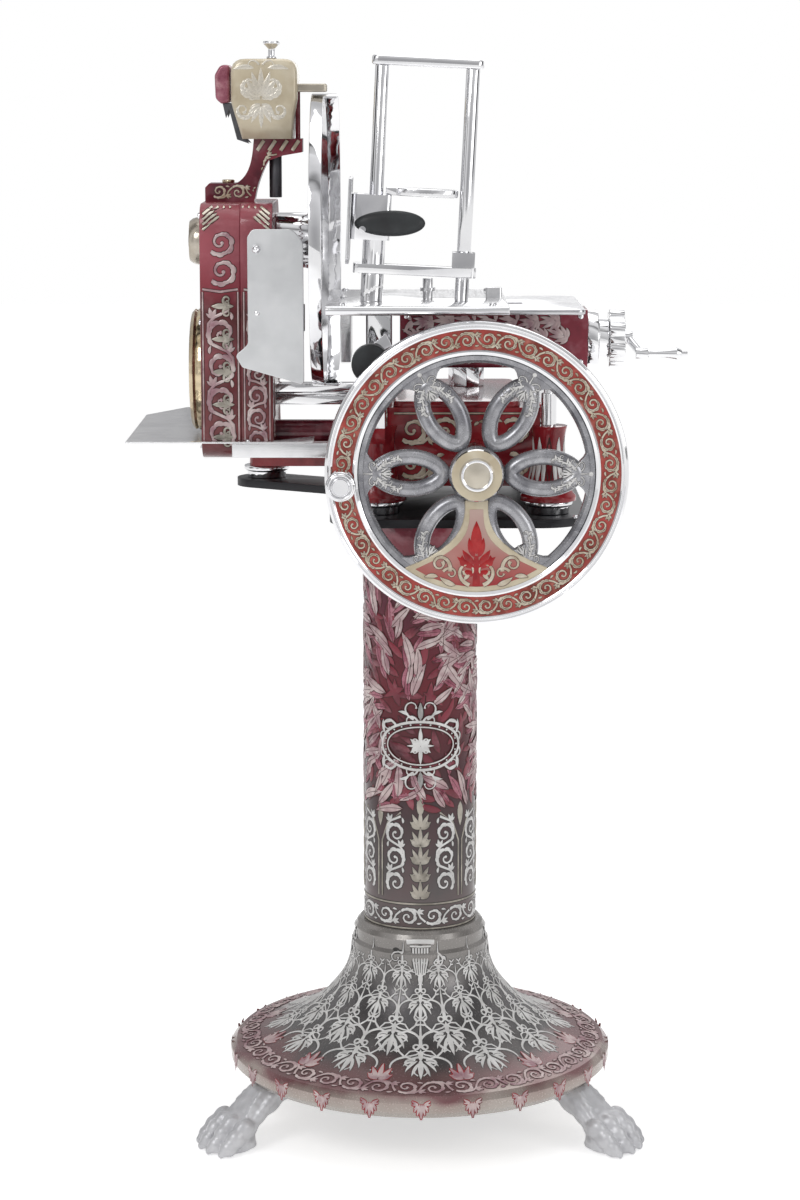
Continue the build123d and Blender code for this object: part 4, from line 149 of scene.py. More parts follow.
# ------------------------------------------------------------------------------------------------
# Shader node groups
# ------------------------------------------------------------------------------------------------
class Effects:
    """Node groups that several finishes use; each is built once."""

    made: dict[str, bpy.types.NodeTree] = {}

    @classmethod
    def _start(cls, name: str, inputs: Sequence[tuple[str, str, object]],
               outputs: Sequence[tuple[str, str]]) -> bpy.types.NodeTree:
        """Makes an empty group with its sockets.

        Args:
            name: name of the group.
            inputs: name, socket type and default of each input.
            outputs: name and socket type of each output.

        Returns:
            The new node tree.
        """
        tree = bpy.data.node_groups.new(name, "ShaderNodeTree")
        for label, kind, value in inputs:
            socket = tree.interface.new_socket(label, in_out="INPUT", socket_type=kind)
            socket.default_value = value
        for label, kind in outputs:
            tree.interface.new_socket(label, in_out="OUTPUT", socket_type=kind)
        cls.made[name] = tree
        return tree

    @classmethod
    def wash(cls) -> bpy.types.NodeTree:
        """Hand laid paint: a ground colour, a deeper wash and a paler bloom in soft clouds."""
        if "paint_wash" in cls.made:
            return cls.made["paint_wash"]
        tree = cls._start("paint_wash",
                          [("Ground", "NodeSocketColor", (0.5, 0.1, 0.1, 1)),
                           ("Deep", "NodeSocketColor", (0.2, 0.02, 0.02, 1)),
                           ("Bloom", "NodeSocketColor", (0.7, 0.3, 0.3, 1)),
                           ("Scale", "NodeSocketFloat", 30.0),
                           ("Bloom Share", "NodeSocketFloat", 0.35)],
                          [("Colour", "NodeSocketColor"), ("Mask", "NodeSocketFloat")])
        nodes, link = tree.nodes, tree.links.new
        enter, leave = nodes.new("NodeGroupInput"), nodes.new("NodeGroupOutput")
        place = nodes.new("ShaderNodeTexCoord")
        cloud, fine = nodes.new("ShaderNodeTexNoise"), nodes.new("ShaderNodeTexNoise")
        cloud.inputs["Detail"].default_value = 3.0
        fine.inputs["Detail"].default_value = 5.0
        double = nodes.new("ShaderNodeMath")
        double.operation = "MULTIPLY"
        double.inputs[1].default_value = 2.7
        spread, lift = nodes.new("ShaderNodeMapRange"), nodes.new("ShaderNodeMapRange")
        spread.inputs["From Min"].default_value = 0.38
        spread.inputs["From Max"].default_value = 0.66
        lift.inputs["From Min"].default_value = 0.5
        lift.inputs["From Max"].default_value = 0.72
        share = nodes.new("ShaderNodeMath")
        share.operation = "MULTIPLY"
        first, second = nodes.new("ShaderNodeMix"), nodes.new("ShaderNodeMix")
        first.data_type = second.data_type = "RGBA"
        link(place.outputs["Object"], cloud.inputs["Vector"])
        link(place.outputs["Object"], fine.inputs["Vector"])
        link(enter.outputs["Scale"], cloud.inputs["Scale"])
        link(enter.outputs["Scale"], double.inputs[0])
        link(double.outputs[0], fine.inputs["Scale"])
        link(cloud.outputs["Fac"], spread.inputs["Value"])
        link(fine.outputs["Fac"], lift.inputs["Value"])
        link(lift.outputs["Result"], share.inputs[0])
        link(enter.outputs["Bloom Share"], share.inputs[1])
        link(spread.outputs["Result"], first.inputs["Factor"])
        link(enter.outputs["Ground"], first.inputs["A"])
        link(enter.outputs["Deep"], first.inputs["B"])
        link(share.outputs[0], second.inputs["Factor"])
        link(first.outputs["Result"], second.inputs["A"])
        link(enter.outputs["Bloom"], second.inputs["B"])
        link(second.outputs["Result"], leave.inputs["Colour"])
        link(spread.outputs["Result"], leave.inputs["Mask"])
        return tree

    @classmethod
    def grain(cls) -> bpy.types.NodeTree:
        """Fine marks, stretched along one direction: a value between two limits and a height."""
        if "fine_grain" in cls.made:
            return cls.made["fine_grain"]
        tree = cls._start("fine_grain",
                          [("Smooth", "NodeSocketFloat", 0.1), ("Rough", "NodeSocketFloat", 0.2),
                           ("Scale", "NodeSocketFloat", 60.0),
                           ("Stretch", "NodeSocketVector", (1.0, 1.0, 1.0))],
                          [("Value", "NodeSocketFloat"), ("Height", "NodeSocketFloat")])
        nodes, link = tree.nodes, tree.links.new
        enter, leave = nodes.new("NodeGroupInput"), nodes.new("NodeGroupOutput")
        place = nodes.new("ShaderNodeTexCoord")
        pull = nodes.new("ShaderNodeVectorMath")
        pull.operation = "MULTIPLY"
        noise, limits = nodes.new("ShaderNodeTexNoise"), nodes.new("ShaderNodeMapRange")
        noise.inputs["Detail"].default_value = 4.0
        link(place.outputs["Object"], pull.inputs[0])
        link(enter.outputs["Stretch"], pull.inputs[1])
        link(pull.outputs["Vector"], noise.inputs["Vector"])
        link(enter.outputs["Scale"], noise.inputs["Scale"])
        link(noise.outputs["Fac"], limits.inputs["Value"])
        link(enter.outputs["Smooth"], limits.inputs["To Min"])
        link(enter.outputs["Rough"], limits.inputs["To Max"])
        link(limits.outputs["Result"], leave.inputs["Value"])
        link(noise.outputs["Fac"], leave.inputs["Height"])
        return tree


class Grain(Enum):
    """Direction of the marks that a tool left on a metal."""

    EVEN = (1.0, 1.0, 1.0)
    ALONG_X = (0.04, 1.0, 1.0)
    ALONG_Y = (1.0, 0.04, 1.0)
    ALONG_Z = (1.0, 1.0, 0.04)


@dataclass(frozen=True)
class Finish:
    """A finish of the machine, as one procedural material.

    Attributes:
        name: name of the material.
        ground: main colour.
        deep: colour of the darker clouds.
        bloom: colour of the paler clouds.
        metal: 1 for bare metal, 0 for paint.
        smooth: least roughness.
        rough: most roughness.
        coat: weight of the clear coat.
        cloud: scale of the colour clouds, per metre.
        bloom_share: how strongly the paler clouds show.
        grain: direction of the tool marks.
        marks: scale of the tool marks, per metre.
        relief: strength of the marks' bump.
        bands: heights in metres and colours of a wash that changes up the piece, or empty.
    """

    name: str
    ground: Colour
    deep: Colour
    bloom: Colour
    metal: float = 0.0
    smooth: float = 0.12
    rough: float = 0.22
    coat: float = 0.0
    cloud: float = 18.0
    bloom_share: float = 0.35
    grain: Grain = Grain.EVEN
    marks: float = 70.0
    relief: float = 0.05
    bands: tuple[tuple[float, Colour], ...] = ()

    def material(self) -> bpy.types.Material:
        """Makes the material, or finds it where it is made already.

        Returns:
            The material.
        """
        known = bpy.data.materials.get(self.name)
        if known:
            return known
        material = bpy.data.materials.new(self.name)
        material.use_nodes = True
        nodes, link = material.node_tree.nodes, material.node_tree.links.new
        shader = nodes["Principled BSDF"]
        shader.inputs["Metallic"].default_value = self.metal
        shader.inputs["Specular IOR Level"].default_value = 0.5 if self.metal > 0.5 else 0.24
        shader.inputs["Coat Weight"].default_value = 0.5 * self.coat
        shader.inputs["Coat Roughness"].default_value = 0.05
        wash = nodes.new("ShaderNodeGroup")
        wash.node_tree = Effects.wash()
        wash.inputs["Ground"].default_value = (*self.ground, 1)
        wash.inputs["Deep"].default_value = (*self.deep, 1)
        wash.inputs["Bloom"].default_value = (*self.bloom, 1)
        wash.inputs["Scale"].default_value = self.cloud
        wash.inputs["Bloom Share"].default_value = self.bloom_share
        colour = wash.outputs["Colour"]
        if self.bands:
            colour = self._banded(nodes, link, colour)
        link(colour, shader.inputs["Base Color"])
        grain = nodes.new("ShaderNodeGroup")
        grain.node_tree = Effects.grain()
        grain.inputs["Smooth"].default_value = self.smooth
        grain.inputs["Rough"].default_value = self.rough
        grain.inputs["Scale"].default_value = self.marks * 6
        grain.inputs["Stretch"].default_value = self.grain.value
        link(grain.outputs["Value"], shader.inputs["Roughness"])
        bump = nodes.new("ShaderNodeBump")
        bump.inputs["Strength"].default_value = self.relief
        bump.inputs["Distance"].default_value = 0.0004
        link(grain.outputs["Height"], bump.inputs["Height"])
        link(bump.outputs["Normal"], shader.inputs["Normal"])
        return material

    def _banded(self, nodes: bpy.types.Nodes, link: Callable[..., object],
                clouds: bpy.types.NodeSocket) -> bpy.types.NodeSocket:
        """Lays the bands of colour under the clouds.

        Args:
            nodes: nodes of the material.
            link: makes a link between two sockets.
            clouds: colour of the clouds.

        Returns:
            The colour of both together.
        """
        place, split = nodes.new("ShaderNodeTexCoord"), nodes.new("ShaderNodeSeparateXYZ")
        noise, shift = nodes.new("ShaderNodeTexNoise"), nodes.new("ShaderNodeMath")
        noise.inputs["Scale"].default_value = 14.0
        shift.operation = "MULTIPLY_ADD"
        shift.inputs[1].default_value = 0.05
        low, high = self.bands[0][0], self.bands[-1][0]
        span = nodes.new("ShaderNodeMapRange")
        span.inputs["From Min"].default_value = low + 0.025
        span.inputs["From Max"].default_value = high + 0.025
        ramp, mix = nodes.new("ShaderNodeValToRGB"), nodes.new("ShaderNodeMix")
        mix.data_type = "RGBA"
        mix.inputs["Factor"].default_value = 0.3
        stops = ramp.color_ramp.elements
        for number, (height, colour) in enumerate(self.bands):
            spot = (height - low) / (high - low)
            if number == 0:
                stop = stops[0]
            elif number == len(self.bands) - 1:
                stop = stops[len(stops) - 1]
            else:
                stop = stops.new(spot)
            stop.position = spot
            stop.color = (*colour, 1)
        link(place.outputs["Object"], split.inputs["Vector"])
        link(place.outputs["Object"], noise.inputs["Vector"])
        link(noise.outputs["Fac"], shift.inputs[0])
        link(split.outputs["Z"], shift.inputs[2])
        link(shift.outputs[0], span.inputs["Value"])
        link(span.outputs["Result"], ramp.inputs["Fac"])
        link(ramp.outputs["Color"], mix.inputs["A"])
        link(clouds, mix.inputs["B"])
        return mix.outputs["Result"]


CHROME = Finish("polished_chrome", (0.80, 0.80, 0.81), (0.70, 0.70, 0.72), (0.86, 0.86, 0.87),
                metal=1.0, smooth=0.04, rough=0.10, cloud=12.0, relief=0.02)
STEEL = Finish("ground_steel", (0.70, 0.70, 0.71), (0.56, 0.56, 0.58), (0.78, 0.78, 0.79),
               metal=1.0, smooth=0.14, rough=0.30, grain=Grain.ALONG_X, marks=120.0, relief=0.12)
BLADE_STEEL = Finish("blade_steel", (0.68, 0.68, 0.69), (0.52, 0.52, 0.54), (0.80, 0.80, 0.81),
                     metal=1.0, smooth=0.08, rough=0.20, marks=90.0, relief=0.06)
ALUMINIUM = Finish("satin_aluminium", (0.76, 0.77, 0.78), (0.66, 0.67, 0.68), (0.83, 0.83, 0.84),
                   metal=0.9, smooth=0.26, rough=0.38, grain=Grain.ALONG_Z, relief=0.08)
TABLE_METAL = Finish("table_aluminium", (0.82, 0.82, 0.83), (0.70, 0.70, 0.71), (0.88, 0.88, 0.88),
                     metal=0.8, smooth=0.12, rough=0.26, grain=Grain.ALONG_Y, relief=0.08)
SILVER_PAINT = Finish("satin_silver", (0.40, 0.40, 0.42), (0.20, 0.20, 0.22), (0.62, 0.62, 0.64),
                      metal=0.55, smooth=0.20, rough=0.32, coat=0.3, cloud=34.0, relief=0.04)
PAW_SILVER = Finish("paw_silver", (0.66, 0.66, 0.68), (0.52, 0.52, 0.54), (0.76, 0.76, 0.78),
                    metal=0.35, smooth=0.34, rough=0.46, cloud=30.0, marks=110.0, relief=0.08)
DARK_IRON = Finish("oiled_iron", (0.10, 0.10, 0.11), (0.05, 0.05, 0.05), (0.17, 0.17, 0.18),
                   metal=0.7, smooth=0.30, rough=0.50)
BRASS = Finish("polished_brass", (0.66, 0.55, 0.38), (0.42, 0.33, 0.20), (0.80, 0.72, 0.55),
               metal=1.0, smooth=0.12, rough=0.28)
BLACK = Finish("black_enamel", (0.012, 0.012, 0.013), (0.006, 0.006, 0.007), (0.03, 0.03, 0.032),
               smooth=0.10, rough=0.20, coat=0.6, relief=0.02)
CHARCOAL = Finish("charcoal_grip", (0.045, 0.05, 0.052), (0.03, 0.03, 0.032), (0.07, 0.075, 0.08),
                  smooth=0.30, rough=0.45, marks=140.0, relief=0.15)
CRIMSON = Finish("crimson_enamel", (0.36, 0.022, 0.030), (0.13, 0.008, 0.014), (0.52, 0.10, 0.10),
                 smooth=0.10, rough=0.20, coat=0.8, cloud=22.0)
MAROON = Finish("maroon_enamel", (0.26, 0.035, 0.055), (0.08, 0.012, 0.022), (0.42, 0.16, 0.19),
                smooth=0.14, rough=0.26, coat=0.6, cloud=20.0, bloom_share=0.5)
CORAL = Finish("coral_enamel", (0.44, 0.060, 0.050), (0.20, 0.030, 0.018), (0.62, 0.22, 0.17),
               smooth=0.14, rough=0.26, coat=0.6, cloud=26.0, bloom_share=0.6)
PANEL_RED = Finish("panel_red", (0.42, 0.020, 0.020), (0.26, 0.012, 0.014), (0.60, 0.28, 0.24),
                   smooth=0.14, rough=0.24, coat=0.6, cloud=16.0,
                   bands=((0.695, (0.34, 0.02, 0.03)), (0.715, (0.38, 0.035, 0.04)),
                          (0.735, (0.48, 0.18, 0.16)), (0.765, (0.55, 0.42, 0.37)),
                          (0.815, (0.60, 0.56, 0.50))))
CREAM = Finish("cream_pearl", (0.66, 0.58, 0.43), (0.52, 0.44, 0.31), (0.80, 0.74, 0.62),
               metal=0.12, smooth=0.18, rough=0.28, coat=0.5, cloud=24.0, relief=0.01)
CHAMPAGNE = Finish("champagne_metal", (0.60, 0.55, 0.46), (0.40, 0.36, 0.30), (0.74, 0.70, 0.63),
                   metal=0.6, smooth=0.16, rough=0.26, relief=0.02)
COLUMN_WASH = Finish("column_wash", (0.13, 0.014, 0.028), (0.03, 0.006, 0.010), (0.30, 0.10, 0.13),
                     smooth=0.16, rough=0.26, coat=0.35, cloud=16.0, bloom_share=0.2,
                     bands=((0.25, (0.07, 0.065, 0.06)), (0.29, (0.16, 0.155, 0.15)),
                            (0.34, (0.10, 0.095, 0.095)), (0.39, (0.06, 0.055, 0.055)),
                            (0.45, (0.05, 0.016, 0.02)), (0.56, (0.16, 0.010, 0.018)),
                            (0.64, (0.12, 0.014, 0.03)), (0.71, (0.07, 0.02, 0.04))))
BASE_WASH = Finish("base_wash", (0.20, 0.19, 0.185), (0.09, 0.085, 0.085), (0.34, 0.30, 0.29),
                   metal=0.35, smooth=0.20, rough=0.32, coat=0.5, cloud=12.0, bloom_share=0.5,
                   bands=((0.072, (0.60, 0.55, 0.50)), (0.092, (0.48, 0.38, 0.34)),
                          (0.101, (0.24, 0.08, 0.09)), (0.112, (0.20, 0.10, 0.10)),
                          (0.126, (0.09, 0.085, 0.085)), (0.18, (0.12, 0.115, 0.12)),
                          (0.21, (0.24, 0.23, 0.22)), (0.26, (0.34, 0.32, 0.30))))
CASE_WASH = Finish("case_wash", (0.26, 0.020, 0.035), (0.06, 0.010, 0.014), (0.48, 0.20, 0.22),
                   smooth=0.16, rough=0.28, coat=0.5, cloud=22.0, bloom_share=0.5,
                   bands=((0.83, (0.10, 0.03, 0.03)), (0.88, (0.22, 0.07, 0.07)),
                          (0.92, (0.10, 0.03, 0.03)), (0.96, (0.26, 0.08, 0.09)),
                          (1.01, (0.06, 0.022, 0.02)), (1.045, (0.30, 0.05, 0.07)),
                          (1.08, (0.44, 0.12, 0.15)), (1.15, (0.40, 0.12, 0.14))))
LEAFING = Finish("silver_leafing", (0.68, 0.60, 0.48), (0.46, 0.37, 0.27), (0.82, 0.77, 0.68),
                 metal=0.12, smooth=0.24, rough=0.36, cloud=60.0, bloom_share=0.6)
PINK_LEAF = Finish("pink_silver_leaf", (0.66, 0.53, 0.52), (0.36, 0.20, 0.23), (0.84, 0.76, 0.74),
                   metal=0.1, smooth=0.24, rough=0.36, cloud=34.0, bloom_share=0.6)
ROSE_LEAF = Finish("rose_leaf", (0.44, 0.17, 0.22), (0.20, 0.04, 0.07), (0.66, 0.40, 0.42),
                   metal=0.2, smooth=0.22, rough=0.34, cloud=34.0, bloom_share=0.6)
GREY_LEAF = Finish("grey_silver_leaf", (0.48, 0.44, 0.38), (0.22, 0.20, 0.17), (0.68, 0.64, 0.57),
                   metal=0.2, smooth=0.24, rough=0.36, cloud=34.0, bloom_share=0.6)
LACE = Finish("white_lace", (0.80, 0.79, 0.78), (0.62, 0.61, 0.60), (0.88, 0.88, 0.88),
              metal=0.1, smooth=0.30, rough=0.42, cloud=60.0)
# Dark red-brown: the painted shadow bands round the raised strokes, and also the dark midribs that some leaves and
# scrolls have.
SHADOW_AND_RIB_LINE = Finish("engraved_line", (0.075, 0.022, 0.020), (0.035, 0.012, 0.012),
                   (0.12, 0.05, 0.045), smooth=0.4, rough=0.6)
# Near black grey: the painted shadow bands round the lace and the grey relief strokes.
GREY_PAINTED_SHADOW = Finish("engraved_grey", (0.05, 0.048, 0.047), (0.03, 0.028, 0.028),
                   (0.10, 0.095, 0.09), smooth=0.4, rough=0.6)
RED_RELIEF = Finish("red_relief", (0.46, 0.016, 0.018), (0.28, 0.008, 0.012), (0.58, 0.07, 0.06),
                    smooth=0.14, rough=0.24, coat=0.7, cloud=50.0)
PEARL_RELIEF = Finish("pearl_relief", (0.72, 0.68, 0.60), (0.60, 0.55, 0.46), (0.80, 0.77, 0.71),
                      metal=0.3, smooth=0.22, rough=0.34, coat=0.3)
STONE = Finish("bonded_stone", (0.42, 0.40, 0.37), (0.30, 0.28, 0.26), (0.52, 0.50, 0.47),
               smooth=0.8, rough=0.95, marks=200.0, relief=0.5)


# ------------------------------------------------------------------------------------------------
# Making pieces
# ------------------------------------------------------------------------------------------------
@dataclass(frozen=True)
class Seat:
    """A local frame in millimetres: where a drawing or a turned piece sits.

    Attributes:
        origin: its origin.
        across: direction of the first axis.
        up: direction of the second axis.
    """

    origin: Vector
    across: Vector
    up: Vector

    @property
    def out(self) -> Vector:
        """Direction away from the seat."""
        return self.across.cross(self.up)

    def at(self, x: float, y: float, z: float = 0.0) -> Vector:
        """Point at these local coordinates."""
        return self.origin + self.across * x + self.up * y + self.out * z


def front_seat(x: float, y: float, z: float) -> Seat:
    """Seat that faces the operator, -Y."""
    return Seat(Vector((x, y, z)), Vector((1, 0, 0)), Vector((0, 0, 1)))


def left_seat(x: float, y: float, z: float) -> Seat:
    """Seat that faces -X."""
    return Seat(Vector((x, y, z)), Vector((0, -1, 0)), Vector((0, 0, 1)))


def right_seat(x: float, y: float, z: float) -> Seat:
    """Seat that faces +X."""
    return Seat(Vector((x, y, z)), Vector((0, 1, 0)), Vector((0, 0, 1)))


def rear_seat(x: float, y: float, z: float) -> Seat:
    """Seat that faces +Y."""
    return Seat(Vector((x, y, z)), Vector((-1, 0, 0)), Vector((0, 0, 1)))


def top_seat(x: float, y: float, z: float) -> Seat:
    """Seat that faces up."""
    return Seat(Vector((x, y, z)), Vector((1, 0, 0)), Vector((0, 1, 0)))


def rounded(corners: Sequence[tuple[float, float, float]], steps: int = 5) -> list[Point]:
    """An outline with rounded corners.

    Args:
        corners: x, y and radius of each corner.
        steps: runs round each corner.

    Returns:
        The outline's points.
    """
    outline, count = [], len(corners)
    for i, (x, y, radius) in enumerate(corners):
        here = Vector((x, y))
        before = (Vector(corners[i - 1][:2]) - here).normalized()
        after = (Vector(corners[(i + 1) % count][:2]) - here).normalized()
        if not radius:
            outline.append((x, y))
            continue
        half = before.angle(after) / 2
        start, end = here + before * (radius / tan(half)), here + after * (radius / tan(half))
        for k in range(steps + 1):
            t = k / steps
            point = start * (1 - t) ** 2 + here * (2 * t * (1 - t)) + end * t * t
            outline.append((point.x, point.y))
    return outline


def placed(name: str, data: bpy.types.ID) -> bpy.types.Object:
    """Makes an object of this data and puts it in the scene."""
    thing = bpy.data.objects.new(name, data)
    bpy.context.scene.collection.objects.link(thing)
    return thing


def settle(thing: bpy.types.Object) -> None:
    """Applies a piece's modifiers to its mesh."""
    bpy.context.view_layer.update()
    graph = bpy.context.evaluated_depsgraph_get()
    mesh = bpy.data.meshes.new_from_object(thing.evaluated_get(graph))
    thing.modifiers.clear()
    thing.data = mesh


def soften(thing: bpy.types.Object, width: float, limit: float) -> None:
    """Rounds the edges of a piece.

    Args:
        thing: the piece.
        width: width of its rounded edges, in millimetres.
        limit: edges with a sharper angle, in degrees, are rounded.
    """
    edge = thing.modifiers.new("edge", "BEVEL")
    edge.width = width * MM
    edge.segments = 3
    edge.limit_method = "ANGLE"
    edge.angle_limit = radians(limit)
    edge.harden_normals = True
    thing.data.shade_smooth()
    settle(thing)


class Piece:
    """Collects the faces of one piece, in millimetres, and makes its object."""

    def __init__(self, name: str) -> None:
        """Starts an empty piece of this name."""
        self.name = name
        self.points: list[Vector] = []
        self.faces: list[tuple[int, ...]] = []
        self.marks: list[int] = []

    def sheet(self, rows: Sequence[Sequence[Vector]], ring: bool = False, loop: bool = False,
              marks: Sequence[int] | int = 0) -> None:
        """Joins rows of points with faces.

        Args:
            rows: rows of equally many points.
            ring: each row closes on itself.
            loop: the last row joins the first.
            marks: number of the finish, for all faces or for each row.
        """
        start, count = len(self.points), len(rows[0])
        for row in rows:
            self.points.extend(row)
        for i in range(len(rows) if loop else len(rows) - 1):
            mark = marks if isinstance(marks, int) else marks[i]
            a, b = start + i * count, start + (i + 1) % len(rows) * count
            for j in range(count if ring else count - 1):
                k = (j + 1) % count
                self.faces.append((a + j, a + k, b + k, b + j))
                self.marks.append(mark)

    def fan(self, row: Sequence[Vector], mark: int = 0, flip: bool = False) -> None:
        """Closes a ring of points with one face."""
        start = len(self.points)
        self.points.extend(row)
        order = range(len(row) - 1, -1, -1) if flip else range(len(row))
        self.faces.append(tuple(start + i for i in order))
        self.marks.append(mark)

    def turned(self, seat: Seat, profile: Sequence[Point], steps: int = 48,
               marks: Sequence[int] | int = 0, lobes: tuple[int, float] = (0, 0.0)) -> None:
        """Turns a profile of (radius, height) about the seat's outward axis.

        Args:
            seat: its origin and axis.
            profile: radius and height of each point.
            steps: faces round the axis.
            marks: number of the finish, for all faces or for each step of the profile.
            lobes: count and depth of the waves round the axis.
        """
        rows = []
        for radius, height in profile:
            row = []
            for i in range(steps):
                turn = 2 * pi * i / steps
                reach = radius * (1 + lobes[1] * cos(lobes[0] * turn)) if lobes[0] else radius
                row.append(seat.at(reach * cos(turn), reach * sin(turn), height))
            rows.append(row)
        self.sheet(rows, ring=True, marks=marks)

    def tube(self, path: Sequence[Vector], radii: Sequence[float], steps: int = 14,
             closed: bool = False, mark: int = 0, flat: float = 1.0,
             side: Vector = Vector((0, 1, 0))) -> None:
        """Runs a round bar along a path.

        Args:
            path: points of its middle line.
            radii: radius at each point.
            steps: faces round the bar.
            closed: the path joins its start.
            mark: number of the finish.
            flat: thickness along side, as a share of the radius.
            side: direction that the bar's section keeps.
        """
        rows, count = [], len(path)
        for i, spot in enumerate(path):
            before = path[(i - 1) % count] if closed or i else path[0]
            after = path[(i + 1) % count] if closed or i < count - 1 else path[-1]
            along = (after - before).normalized()
            across = side.cross(along).normalized()
            up = along.cross(across)
            rows.append([spot + across * (radii[i] * cos(2 * pi * j / steps))
                         + up * (flat * radii[i] * sin(2 * pi * j / steps)) for j in range(steps)])
        self.sheet(rows, ring=True, loop=closed, marks=mark)
        if not closed:
            self.fan(rows[0], mark)
            self.fan(rows[-1], mark, flip=True)

    def slab(self, seat: Seat, outline: Sequence[Point], low: float, high: float,
             mark: int = 0) -> None:
        """A plate of this outline, from height low to high above the seat."""
        foot = [seat.at(x, y, low) for x, y in outline]
        head = [seat.at(x, y, high) for x, y in outline]
        self.sheet([foot, head], ring=True, marks=mark)
        self.fan(foot, mark, flip=True)
        self.fan(head, mark)

    def make(self, body: str, *finishes: Finish, slot: str | None = None,
             sharp: float = 40.0, bevel: float = 0.0, recalc: bool = True) -> bpy.types.Object:
        """Makes the object and sets it on a body of the frame.

        Args:
            body: body that the piece moves with.
            finishes: its finishes, by number.
            slot: material slot of the record, where the piece stands for one.
            sharp: edges with a sharper angle, in degrees, stay sharp.
            bevel: width of rounded edges, in millimetres.
            recalc: turns all faces outwards; open sheets leave this out.

        Returns:
            The object.
        """
        mesh = bpy.data.meshes.new(self.name)
        mesh.from_pydata([p * MM for p in self.points], [], self.faces)
        for finish in finishes:
            mesh.materials.append(finish.material())
        mesh.polygons.foreach_set("material_index", self.marks)
        if recalc:
            shape = bmesh.new()
            shape.from_mesh(mesh)
            bmesh.ops.remove_doubles(shape, verts=shape.verts, dist=1e-6)
            bmesh.ops.recalc_face_normals(shape, faces=shape.faces)
            shape.to_mesh(mesh)
            shape.free()
        thing = placed(self.name, mesh)
        if bevel:
            soften(thing, bevel, 35)
        else:
            thing.data.shade_smooth()
            thing.data.set_sharp_from_angle(angle=radians(sharp))
        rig.ride(thing, body)
        if slot:
            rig.slot(thing, slot)
        log.info("made %s: %d faces", self.name, len(thing.data.polygons))
        return thing


# ------------------------------------------------------------------------------------------------
# Ornament
# ------------------------------------------------------------------------------------------------
@dataclass(frozen=True)
class Stroke:
    """One stroke of an ornament: a path and its width at each point."""

    path: tuple[Point, ...]
    widths: tuple[float, ...]

    def laid(self, x: float = 0.0, y: float = 0.0, turn: float = 0.0, size: float = 1.0,
             flip: bool = False) -> "Stroke":
        """The stroke, mirrored, scaled, turned by degrees and moved."""
        side, c, s = (-1 if flip else 1), cos(radians(turn)), sin(radians(turn))
        path = tuple((x + size * (px * side * c - py * s), y + size * (px * side * s + py * c))
                     for px, py in self.path)
        return Stroke(path, tuple(w * size for w in self.widths))


Ornament = list[Stroke]


def laid(strokes: Ornament, **place: float) -> Ornament:
    """Every stroke of an ornament, laid as Stroke.laid says."""
    return [stroke.laid(**place) for stroke in strokes]


def sweep(start: Point, heading: float, length: float, bend: Point, width: float,
          swell: Callable[[float], float], steps: int = 9) -> Stroke:
    """A stroke whose bend changes evenly along it.

    Args:
        start: its first point.
        heading: its first direction, in degrees.
        length: its length.
        bend: degrees per unit of length, at its start and its end.
        width: its greatest width.
        swell: share of the width at each share of the length.
        steps: number of points less one.

    Returns:
        The stroke.
    """
    path, (x, y), turn = [start], start, radians(heading)
    for i in range(steps):
        share = (i + 0.5) / steps
        turn += radians(bend[0] + (bend[1] - bend[0]) * share) * length / steps
        x, y = x + cos(turn) * length / steps, y + sin(turn) * length / steps
        path.append((x, y))
    return Stroke(tuple(path), tuple(width * max(swell(i / steps), 0.05) for i in range(steps + 1)))


def leaf(start: Point, heading: float, length: float, width: float, bend: float = 0.0,
         steps: int = 6) -> Stroke:
    """A pointed leaf, widest before its middle; bend is the degrees it turns in all."""
    curve = bend / length
    return sweep(start, heading, length, (curve, curve), width,
                 lambda t: sin(pi * t ** 0.8) ** 0.85 if 0 < t < 1 else 0.0, steps)


def tendril(start: Point, heading: float, length: float, turn: float, width: float,
            steps: int = 12) -> Stroke:
    """A stem that thins and curls up, with a bud at its end; turn is its degrees in all."""
    return sweep(start, heading, length, (0.25 * turn / length, 1.75 * turn / length), width,
                 lambda t: 0.9 if t > 0.93 else 1.0 - 0.72 * t, steps)


def on_path(stroke: Stroke, share: float) -> tuple[Point, float]:
    """Point and heading, in degrees, at a share of a stroke's length."""
    i = min(int(share * (len(stroke.path) - 1)), len(stroke.path) - 2)
    (ax, ay), (bx, by) = stroke.path[i], stroke.path[i + 1]
    return (ax, ay), atan2(by - ay, bx - ax) * 180 / pi


def acanthus_scroll() -> Ornament:
    """A curling stem with leaf lobes on its outer side, about one unit high and wide."""
    stem = tendril((-0.62, -0.38), 6, 2.35, 395, 0.19, 18)
    strokes = [stem]
    for share, size in ((0.02, 0.40), (0.12, 0.48), (0.22, 0.50), (0.32, 0.44), (0.42, 0.36),
                        (0.52, 0.28), (0.62, 0.20)):
        spot, heading = on_path(stem, share)
        strokes.append(leaf(spot, heading - 34, size, 0.50 * size, 62))
    for share, size in ((0.10, 0.34), (0.24, 0.28), (0.40, 0.20)):
        spot, heading = on_path(stem, share)
        strokes.append(leaf(spot, heading + 40, size, 0.46 * size, -70))
    return strokes


